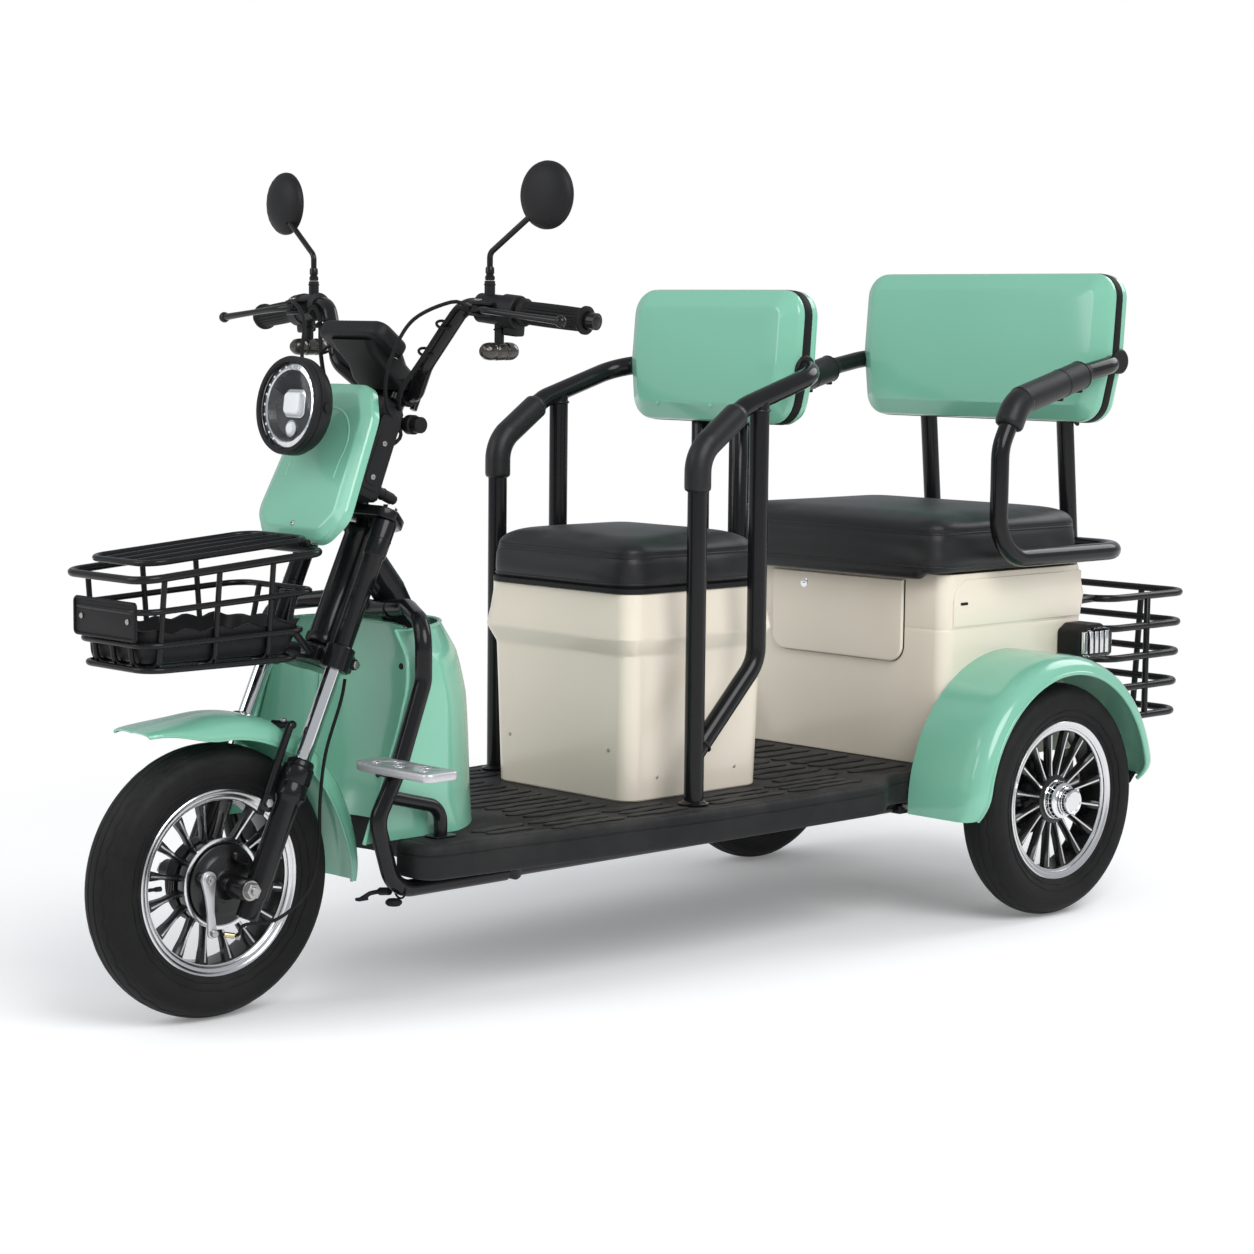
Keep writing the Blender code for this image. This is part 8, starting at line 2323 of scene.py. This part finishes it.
def addArmSleeve(name, path, radius, node):
    # foam sleeve, closed over the tube, with eased ends
    total = sum((b - a).length for a, b in zip(path, path[1:]))
    spots, sizes = [], []
    dense = smoothThrough(path, 0.004)
    run = 0.0
    for i, p in enumerate(dense):
        if i:
            run += (p - dense[i - 1]).length
        near = min(run, total - run)
        ease = math.sqrt(max(0.0, 1.0 - max(0.0, 1.0 - near / 0.007) ** 2))
        spots.append(p)
        sizes.append(0.0166 + (radius - 0.0166) * ease)
    pad = Shape()
    pad.tube(spots, sizes, 0, 32)
    made = pad.piece(name, [mats["leatherette"]], "chassis", [node], "grip_rubber", smooth=60.0)


addFrontFrame()

rest = {"round": 0.045, "lean": math.radians(4.0), "band": 0.0095}


def addBackrest(name, x, low, high, lowHalf, half, node):
    tall = high - low
    waist = tall * 0.45
    corners = [
        (-lowHalf, 0.0, 0.0), (-half, waist, 0.0), (-half, tall, 0.0), (half, tall, 0.0),
        (half, waist, 0.0), (lowHalf, 0.0, 0.0)
    ]
    outline = rounded(corners, rest["round"], 12, True)
    lean = Matrix.Rotation(-rest["lean"], 4, "Y")
    place = Matrix.Translation(at(x, 0.0, low)) @ lean @ axes(Vector(), leftward, skyward, onward)
    band = rest["band"]
    gasket = Shape()
    gasket.slab(insetLoop(outline, -0.0006), -band - 0.002, band - 0.001, 0, place, ease=0.0024)
    gasket.piece(name + "Gasket", [mats["rubber"]], "chassis", slotName="black_leatherette")

    def faceDepth(y, depth):
        # upper face leans back a little above the crease
        crease = tall * 0.36
        return depth - max(0.0, y - crease) / tall * 0.004

    front = Shape()
    loops = []
    for inset, depth in (
        (0.0016, band - 0.001), (0.0004, band), (0.0002, band + 0.006), (0.0010, band + 0.0095),
        (0.0030, band + 0.0130), (0.0060, band + 0.0150), (0.0280, band + 0.0286),
        (0.0296, band + 0.0294), (0.0330, band + 0.0298)
    ):
        loops.append([(p.x, p.y, faceDepth(p.y, depth)) for p in insetLoop(outline, inset)])
    inner = insetLoop(outline, 0.0330)
    for share in (0.75, 0.45, 0.15):
        depth = band + 0.0298 + 0.0012 * (1 - share)
        loop = []
        for p in inner:
            y = tall / 2 + (p.y - tall / 2) * share
            loop.append((p.x * share, y, faceDepth(y, depth)))
        loops.append(loop)
    front.loft(loops, 0, place)
    front.piece(name + "Front", [mats["mint"]], "chassis", [node], "mint_panel", smooth=20.0)
    back = Shape()
    loops = []
    for inset, depth in (
        (0.0016, -band - 0.001), (0.0002, -band - 0.002), (0.0002, -band - 0.010),
        (0.0030, -band - 0.0170), (0.0090, -band - 0.0210), (0.0220, -band - 0.0235),
        (0.0245, -band - 0.0225), (0.0300, -band - 0.0225)
    ):
        loops.append([(p.x, p.y, depth) for p in insetLoop(outline, inset)])
    loops.append([(p.x * 0.6, tall / 2 + (p.y - tall / 2) * 0.6, -band - 0.0225) for p in inner])
    back.loft(loops, 0, place)
    back.piece(name + "Back", [mats["mint"]], "chassis", slotName="mint_panel", smooth=20.0)
    trim = Shape()
    for y, z in ((-half * 0.55, tall * 0.12), (half * 0.10, tall * 0.12), (half * 0.62, tall * 0.12)):
        spot = Vector((y, z, band + 0.0292))
        trim.lathe(
            [(0.0, 0.0010), (0.0030, 0.0008), (0.0038, 0.0), (0.0038, -0.002), (0.0, -0.002)],
            place @ Matrix.Translation(spot), 0, 20
        )
    trim.piece(name + "Studs", [mats["mint"]], "chassis")


addBackrest("driverRest", 0.486, 0.864, 1.088, 0.180, 0.197, "front_backrest")
addBackrest("benchRest", -0.235, 0.858, 1.128, 0.272, 0.293, "rear_backrest")


def addRestFittings():
    # collars where the arm tubes enter and brackets below the panels
    fit = Shape()
    for x, z, y in ((0.478, 0.958, 0.1975), (-0.258, 0.970, 0.2935)):
        for side in (1, -1):
            spot = at(x, y * side, z)
            fit.rod(spot - sideways(0.012 * side), spot + sideways(0.0035 * side), 0.0225, 0, 40, 0.0025)
    for x, z, y in ((0.478, 0.852, 0.045), (-0.270, 0.846, 0.164)):
        for side in (1, -1):
            corners = [(-0.016, 0.0, 0.0), (0.020, 0.022, 0.0), (0.020, 0.034, 0.0), (-0.016, 0.034, 0.0)]
            place = axes(at(x, (y + 0.017) * side, z), onward, skyward, sideways(-side))
            fit.slab(rounded(corners, 0.004, 4, True), -0.004, 0.0, 0, place, ease=0.0010)
            fit.hexNut(at(x + 0.006, (y + 0.021) * side, z + 0.024), sideways(side), 0.0060, 0.0045, 1)
    lean, back = Vector((0.10, 0.0, 0.995)), Vector((-0.995, 0.0, 0.10))
    for side in (1, -1):
        block = axes(at(-0.266, 0.164 * side, 0.905), leftward, lean, back)
        fit.slab(roundRect(0.024, 0.046, 0.010, 6), -0.002, 0.0225, 0, block, ease=0.005)
        for rise in (0.024, -0.024):
            fit.hexNut(block @ Vector((0.0, rise, 0.0225)), back, 0.0065, 0.0045, 1)
    fit.piece("restFittings", [mats["mattBlack"], mats["steel"]], "chassis")


addRestFittings()
print("driver seat ready")

# rear body, bench frame, fenders, lamps and basket
rearBox = {"rear": -0.232, "front": 0.165, "half": 0.250, "round": 0.028, "wall": 0.005}


def addRearBody():
    box = Shape()
    levels = []
    for z, out, side in (
        (0.2633, -0.001, -0.001), (0.2645, 0.0, 0.0), (0.4950, 0.0, 0.0), (0.5000, 0.0004, 0.0),
        (0.5030, 0.0012, -0.0008), (0.5060, 0.0022, 0.0), (0.5450, 0.0120, 0.0), (0.5500, 0.0110, 0.0),
        (0.5980, -0.0055, 0.0), (0.6000, -0.0060, -0.0008)
    ):
        levels.append((z, rearBox["rear"] - out, rearBox["front"] + side, rearBox["half"] + side))
    inside = innerLevels(levels, rearBox["wall"])
    box.loft(
        boxLoft(levels, rearBox["round"]) + boxLoft(inside, rearBox["round"] - rearBox["wall"]),
        ring=True
    )
    for side in (1, -1):
        place = axes(at(0.0, rearBox["half"] * side, 0.0), onward, skyward, sideways(-side))
        corners = [
            Vector((-0.215, 0.508, 0.0)), Vector((0.145, 0.508, 0.0)), Vector((0.145, 0.590, 0.0)),
            Vector((-0.215, 0.590, 0.0))
        ]
        outline = corners[:2] + filletCorner(*corners[1:], 0.045, 10) + corners[3:]
        box.slab(outline, -0.0022, 0.002, 0, place, ease=0.0012)
    shell = box.piece(
        "rearBodyShell", [mats["cream"]], "chassis", ["rear_body"], "cream_panel", smooth=24.0
    )
    way = Shape()
    front = axes(at(rearBox["front"], 0.0, 0.0), leftward, skyward, onward)
    way.slab(roundRect(0.146, 0.063, 0.020, 8, (0.0, 0.513)), -0.03, 0.03, 0, front)
    cutAway(shell, way, [mats["cream"]])
    trim = Shape()
    for side in (1, -1):
        spot = at(0.118, (rearBox["half"] + 0.0022) * side, 0.548)
        place = axes(spot, onward, skyward, sideways(side))
        trim.slab(roundRect(0.010, 0.0025, 0.0024), -0.001, 0.0008, 0, place, ease=0.0003)
    trim.piece("rearBodySlots", [mats["mattBlack"]], "chassis")


def addHatch():
    door = Shape()
    corners = [
        Vector((-0.156, 0.586, 0.0)), Vector((-0.156, 0.440, 0.0)), Vector((0.156, 0.440, 0.0)),
        Vector((0.156, 0.586, 0.0))
    ]
    low = filletCorner(*corners[:3], 0.030, 12) + filletCorner(*corners[1:], 0.030, 12)
    outline = corners[:1] + low + corners[3:]
    place = axes(at(rearBox["front"] + 0.0003, 0.0, 0.0), leftward, skyward, onward)
    door.slab(outline, 0.0, 0.0078, 0, place, ease=0.0034, steps=5)
    door.piece("hatchPanel", [mats["cream"]], "hatch_door", ["rear_hatch"], "cream_panel", smooth=30.0)
    lock = Shape()
    spot = at(rearBox["front"] + 0.0078, -0.077, 0.565)
    lock.lathe(
        [
            (0.0, 0.0014), (0.0062, 0.0014), (0.0086, 0.0008), (0.0090, 0.0), (0.0090, -0.002),
            (0.0, -0.002)
        ],
        aimed(spot, onward), 0, 36
    )
    lock.slab(roundRect(0.0030, 0.0006, 0.0005), 0.0006, 0.0018, 1, aimed(spot, onward))
    lock.piece("hatchLock", [mats["chrome"], mats["mattBlack"]], "hatch_door")
    # dark line along the hatch's sides and lower edge, in the crease under its rounded lip: the panel's
    # joint with the wall, darkened as painted shadow
    seam = Shape()
    seam.tube([at(rearBox["front"] + 0.0006, p.x, p.y) for p in outline], 0.0011, 0, 8)
    seam.piece("hatchSeamShadow", [mats["mattBlack"]], "chassis")


addRearBody()
addHatch()


# bench arm frame: one closed hoop and two posts
bench = {
    "tube": 0.016, "bend": 0.075, "half": 0.300, "low": 0.627, "rearX": -0.292, "frontX": 0.088,
    "backX": -0.258, "backZ": 0.970, "post": 0.164, "postLow": 0.3150, "postBend": 0.060, "lug": 0.204,
    "pad": 0.0255
}


def addRearFrame():
    low, y, rearX, frontX = bench["low"], bench["half"], bench["rearX"], bench["frontX"]
    knee, middle, top = at(frontX, y, 0.822), at(0.045, y, 0.900), at(-0.150, y, 0.951)
    left = [at(rearX, y, low), at(frontX, y, low), knee, middle, top, at(bench["backX"], y, bench["backZ"])]
    path = rounded(left + list(reversed(mirrorY(left, -1))), bench["bend"], 12, True)
    tubes = Shape()
    tubes.tube(path, bench["tube"], 0, 32, closed=True)
    for side in (1, -1):
        post = bench["post"] * side
        spots = [
            at(rearX, post, bench["postLow"]), at(rearX, post, low),
            at(bench["backX"], post, bench["backZ"])
        ]
        tubes.tube(rounded(spots, bench["postBend"], 12), bench["tube"], 0, 32)
        tubes.bead(at(-0.260, post, 0.9520), Vector((0.1, 0.0, 1.0)), 0.0162, 0.0024)
        tubes.bead(at(-0.2915, post, 0.6100), skyward, 0.0162, 0.0024)
        lug = bench["lug"] * side
        tubes.slab(
            roundRect(0.034, 0.020, 0.008), 0.0, 0.0157, 0,
            Matrix.Translation(at(-0.2578, lug, 0.6003)), ease=0.002
        )
        tubes.hexNut(at(-0.2400, lug, 0.6160), skyward, 0.0075, 0.0055, 1)
    tubes.piece(
        "benchArmFrame", [mats["blackPaint"], mats["steel"]], "chassis", ["rear_seat_frame"],
        "black_paint", smooth=50.0
    )
    for label, side in sides:
        path = rounded(mirrorY([knee.lerp(middle, 0.45), middle, top], side), bench["bend"], 16)
        addArmSleeve("benchArmPad" + label.title(), path, bench["pad"], "rear_arm_pad_" + label)
        clip = Shape()
        for share in (0.62, 0.9):
            spot = Vector(
                (middle.x + (top.x - middle.x) * share, y * side, middle.z + (top.z - middle.z) * share)
            )
            clip.bead(spot, Vector((-0.96, 0.0, 0.25)), 0.0250, 0.0014)
            clip.rod(spot - upward(0.020), spot - upward(0.031), 0.0062, 0, 24, 0.0015)
        clip.piece("benchArmClips" + label.title(), [mats["mattBlack"]], "chassis")


addRearFrame()

fender = {
    "radius": 0.256, "thick": 0.003, "inner": 0.2503, "outer": 0.4065, "lip": 0.024, "start": -3.0,
    "end": 176.0
}


def addFender(label, side):
    centre = layout["halfTrack"]
    reach = fender["outer"] - centre
    profile = [(fender["inner"], fender["radius"]), ((fender["inner"] + centre) / 2, fender["radius"])]
    for i in range(13):
        t = i / 12
        profile.append(
            (
                centre + reach * math.sin(t * math.pi / 2) ** 0.92,
                fender["radius"] - fender["lip"] * (1 - math.cos(t * math.pi / 2)) ** 1.15
            )
        )
    profile.append((fender["outer"], fender["radius"] - fender["lip"] - 0.004))
    loops = []
    steps = 72
    middle = at(0.0, 0.0, layout["axleHeight"])
    for i in range(steps + 1):
        share = i / steps
        angle = math.radians(fender["start"] + (fender["end"] - fender["start"]) * share)
        outward = Vector((math.cos(angle), 0.0, math.sin(angle)))
        # the outer corner rounds off toward both ends
        trim = max(0.0, 1.0 - share / 0.07) ** 2 + max(0.0, 1.0 - (1.0 - share) / 0.05) ** 2
        line, under = [], []
        for y, r in profile:
            far = max(0.0, (y - centre) / reach)
            yy = y - trim * far * reach * 0.45
            line.append(middle + outward * r + sideways(yy * side))
            wall = fender["thick"] if far > 0.9 else 0.0
            under.append(middle + outward * (r - fender["thick"]) + sideways((yy - wall) * side))
        loops.append(line + list(reversed(under)))
    shell = Shape()
    shell.loft(loops)
    count = len(profile)
    rim = [(loop[count - 1] + loop[count]) / 2 for loop in loops]
    shell.tube(rim, 0.0040, 0, 14)
    shell.piece(
        "fenderShell" + label.title(), [mats["mint"]], "chassis", ["rear_fender_" + label],
        "mint_panel", smooth=50.0
    )
    flap = Shape()
    tips = []
    for angle in (175.0, 176.5, 178.0, 179.5):
        turn = math.radians(angle)
        outward = Vector((math.cos(turn), 0.0, math.sin(turn)))
        shrink = 0.030 + 0.012 * (angle - 175.0) / 4.5
        tips.append(
            [
                middle + outward * r + sideways(y * side)
                for y, r in (
                    (0.2520, 0.2570), (0.330, 0.2570), (0.392 - shrink, 0.2500),
                    (0.398 - shrink, 0.2400), (0.392 - shrink, 0.2380), (0.330, 0.2520),
                    (0.2520, 0.2520)
                )
            ]
        )
    flap.loft(tips)
    flap.piece("fenderFlap" + label.title(), [mats["rubber"]], "chassis", smooth=40.0)


def addRearLamp(label, side):
    block = Shape()
    profile = [
        (-0.150, 0.432), (-0.236, 0.432), (-0.236, 0.4861), (-0.2143, 0.497), (-0.1717, 0.497),
        (-0.150, 0.485)
    ]
    place = axes(at(0.0, 0.2503 * side, 0.0), onward, skyward, sideways(side))
    block.slab(roundedFlat(profile, 0.010, 5), 0.0, 0.050, 0, place, ease=0.003)
    block.piece(
        "tailLampBlock" + label.title(), [mats["mattBlack"]], "chassis", ["rear_lamp_" + label],
        "black_plastic"
    )
    lens = Shape()
    inset = [
        (-0.156, 0.438), (-0.230, 0.438), (-0.230, 0.4835), (-0.2120, 0.4915), (-0.1740, 0.4915),
        (-0.156, 0.481)
    ]
    lens.slab(roundedFlat(inset, 0.008, 5), 0.0500, 0.0655, 0, place, ease=0.005)
    for i in range(5):
        x = -0.222 + 0.0145 * i
        lens.slab(
            [(x, 0.445), (x + 0.010, 0.445), (x + 0.010, 0.484), (x, 0.484)], 0.0520, 0.0590, 1, place,
            ease=0.0012
        )
    lens.piece("tailLampSide" + label.title(), [mats["lensClear"], mats["reflector"]], "chassis")
    red = Shape()
    rear = axes(at(-0.236, 0.0, 0.0), sideways(side), skyward, Vector((-1.0, 0.0, 0.0)))
    red.slab(
        roundedFlat(((0.256, 0.438), (0.296, 0.438), (0.296, 0.480), (0.256, 0.480)), 0.006, 4), -0.004,
        0.0022, 0, rear, ease=0.0014
    )
    red.piece("tailLampRear" + label.title(), [mats["lensRed"]], "chassis")


for label, side in sides:
    addFender(label, side)
    addRearLamp(label, side)

rack = {
    "front": -0.335, "rear": -0.598, "half": 0.220, "low": 0.298, "high": 0.526, "taper": 0.018,
    "corner": 0.045, "radius": 0.0068, "wire": 0.0060, "loops": 5
}


def addRack():
    wires = Shape()
    for i in range(rack["loops"]):
        share = i / (rack["loops"] - 1)
        rear = rack["rear"] + rack["taper"] * (1.0 - share)
        z = rack["low"] + (rack["high"] - rack["low"]) * share
        spots = [
            at(x, y, z)
            for x, y in (
                (rack["front"], -rack["half"]), (rear, -rack["half"]), (rear, rack["half"]),
                (rack["front"], rack["half"])
            )
        ]
        wires.tube(rounded(spots, rack["corner"], 10, True), rack["radius"], 0, 20, closed=True)
    for side in (1, -1):
        y = rack["half"] * side
        wires.rod(at(-0.465, y, rack["low"]), at(-0.465, y, rack["high"]), rack["wire"], 0, 18)
        mount = 0.190 * side
        wires.rod(at(-0.2435, mount, 0.5225), at(rack["front"], mount, rack["high"]), rack["radius"], 0, 20)
        wires.slab(
            roundRect(0.016, 0.016, 0.005), 0.0, 0.003, 0,
            axes(at(-0.2442, mount, 0.5210), leftward, skyward, Vector((-1.0, 0.0, 0.0))), ease=0.0008
        )
    for y in (-0.110, 0.110):
        corner = at(rack["rear"] + rack["taper"], y, rack["low"])
        path = rounded(
            [
                at(rack["rear"], y, rack["high"]), corner, at(rack["front"], y, rack["low"]),
                at(rack["front"], y, rack["low"] + 0.057)
            ],
            0.012, 6
        )
        wires.tube(path, rack["wire"], 0, 18)
    wires.piece(
        "rearBasketWires", [mats["blackWire"]], "chassis", ["rear_basket"], "black_wire", smooth=50.0
    )


addRack()
print("rear half ready")

# leaf packs, cambered between the hangers and the axle
leaf = {
    "y": 0.212, "width": 0.036, "thick": 0.0055, "pitch": 0.006, "leaves": 3, "step": 0.28,
    "flat": 0.032, "camber": 0.030, "top": 0.1690, "eye": 0.0108
}


def leafZ(x, hanger):
    share = max(0.0, abs(x) - leaf["flat"]) / (abs(hanger) - leaf["flat"])
    return leaf["top"] - leaf["pitch"] / 2 + leaf["camber"] * share ** 1.5


def addLeafHalf(label, side, hanger, name):
    pack = Shape()
    for k in range(leaf["leaves"]):
        reach = hanger * (1.0 - leaf["step"] * k)
        loops = []
        for i in range(25):
            x = reach * i / 24
            z = leafZ(x, hanger) - leaf["pitch"] * k
            half = leaf["thick"] / 2
            loops.append(
                [
                    at(x, (leaf["y"] + w) * side, z + h)
                    for w, h in (
                        (-leaf["width"] / 2, -half), (leaf["width"] / 2, -half),
                        (leaf["width"] / 2, half), (-leaf["width"] / 2, half)
                    )
                ]
            )
        pack.loft(loops)
    tip = leafZ(hanger, hanger)
    pack.rod(
        at(hanger, (leaf["y"] - leaf["width"] / 2) * side, tip),
        at(hanger, (leaf["y"] + leaf["width"] / 2) * side, tip), leaf["eye"], 0, 32
    )
    made = pack.build(name, [mats["steel"]], 40.0)
    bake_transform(made)
    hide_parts("leaf_spring_" + label)


for label, side in sides:
    addLeafHalf(label, side, 0.195, "leafFront" + label.title())
    addLeafHalf(label, side, -0.270, "leafRear" + label.title())

# pieces that keep their solid and take a finish
carried = {"battery_pack": "mattBlack", "rear_axle": "blackPaint"}
for nodeName, look in carried.items():
    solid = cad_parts[nodeName]
    for slot in solid.material_slots:
        slot.material = mats[look]
    if not solid.material_slots:
        solid.data.materials.append(mats[look])
print("carried solids finished")

# studio: pale floor, soft lights, camera at the photo's angle
studio = {
    "floor": (0.93, 0.93, 0.93), "floorSize": 14.0, "glow": 0.16, "fadeNear": 0.95, "fadeFar": 2.2,
    "world": 0.52, "key": 135.0, "fill": 55.0, "rim": 45.0
}
photo = {
    "place": (3.4427, 3.449, 1.040), "ahead": (-0.690, -0.716, -0.107), "over": (-0.066, -0.084, 0.994),
    "lens": 82.62, "sensor": 36.0
}


def floorFinish():
    # pale floor that turns to plain white away from the object
    material = finish(
        "studioFloor",
        {
            "color": studio["floor"], "rough": 0.9, "spread": 0.02, "shade": 0.004,
            "shader": {"Emission Strength": 1.0, "Specular IOR Level": 0.0}
        }
    )
    tree = material.node_tree
    shader = tree.nodes["Principled BSDF"]
    place = addNode(tree, "ShaderNodeTexCoord")
    length = addNode(tree, "ShaderNodeVectorMath", {"operation": "LENGTH"}, ((place.outputs["Object"], 0),))
    fade = addNode(
        tree, "ShaderNodeMapRange",
        {
            "interpolation_type": "SMOOTHSTEP", "From Min": studio["fadeNear"],
            "From Max": studio["fadeFar"]
        },
        ((length.outputs["Value"], "Value"),)
    )
    lit = shader.inputs["Base Color"].links[0].from_socket
    base = addNode(
        tree, "ShaderNodeMix", {"data_type": "RGBA", 7: (0.0, 0.0, 0.0, 1.0)},
        ((fade.outputs[0], 0), (lit, 6))
    )
    glow = addNode(
        tree, "ShaderNodeMix",
        {
            "data_type": "RGBA", 6: (studio["glow"], studio["glow"], studio["glow"], 1.0),
            7: (1.0, 1.0, 1.0, 1.0)
        },
        ((fade.outputs[0], 0),)
    )
    tree.links.new(base.outputs[2], shader.inputs["Base Color"])
    tree.links.new(glow.outputs[2], shader.inputs["Emission Color"])
    return material


def addStudio():
    scene = bpy.context.scene
    scene.view_settings.view_transform = "Standard"
    world = bpy.data.worlds.new("studioWorld")
    scene.world = world
    world.use_nodes = True
    nodes, links = world.node_tree.nodes, world.node_tree.links
    nodes.clear()
    output = nodes.new("ShaderNodeOutputWorld")
    seen = nodes.new("ShaderNodeBackground")
    seen.inputs["Color"].default_value = (1.0, 1.0, 1.0, 1.0)
    seen.inputs["Strength"].default_value = 1.0
    lit = nodes.new("ShaderNodeBackground")
    lit.inputs["Color"].default_value = (0.92, 0.95, 1.0, 1.0)
    lit.inputs["Strength"].default_value = studio["world"]
    path = nodes.new("ShaderNodeLightPath")
    pick = nodes.new("ShaderNodeMixShader")
    links.new(path.outputs["Is Camera Ray"], pick.inputs[0])
    links.new(lit.outputs[0], pick.inputs[1])
    links.new(seen.outputs[0], pick.inputs[2])
    links.new(pick.outputs[0], output.inputs["Surface"])
    half = studio["floorSize"]
    ground = Shape()
    ground.slab(roundRect(half, half, 2.0, 10), -0.02, -0.0006, 0)
    ground.build("studioFloor", [floorFinish()])
    for name, power, size, spot in (
        ("keyLight", studio["key"], 3.2, (1.2, 3.6, 3.4)),
        ("fillLight", studio["fill"], 3.0, (3.8, -1.4, 2.6)),
        ("rimLight", studio["rim"], 2.4, (-3.2, 0.6, 2.8))
    ):
        light = bpy.data.lights.new(name, "AREA")
        light.energy = power
        light.shape = "DISK"
        light.size = size
        holder = bpy.data.objects.new(name, light)
        scene.collection.objects.link(holder)
        holder.location = spot
        holder.rotation_euler = (upward(0.5) - Vector(spot)).to_track_quat("-Z", "Y").to_euler()
    eye = bpy.data.cameras.new("photoCamera")
    eye.lens = photo["lens"]
    eye.sensor_width = photo["sensor"]
    camera = bpy.data.objects.new("photoCamera", eye)
    scene.collection.objects.link(camera)
    ahead = Vector(photo["ahead"]).normalized()
    across = ahead.cross(Vector(photo["over"])).normalized()
    camera.matrix_world = axes(Vector(photo["place"]), across, across.cross(ahead), -ahead)
    scene.camera = camera


addStudio()
print("studio ready")
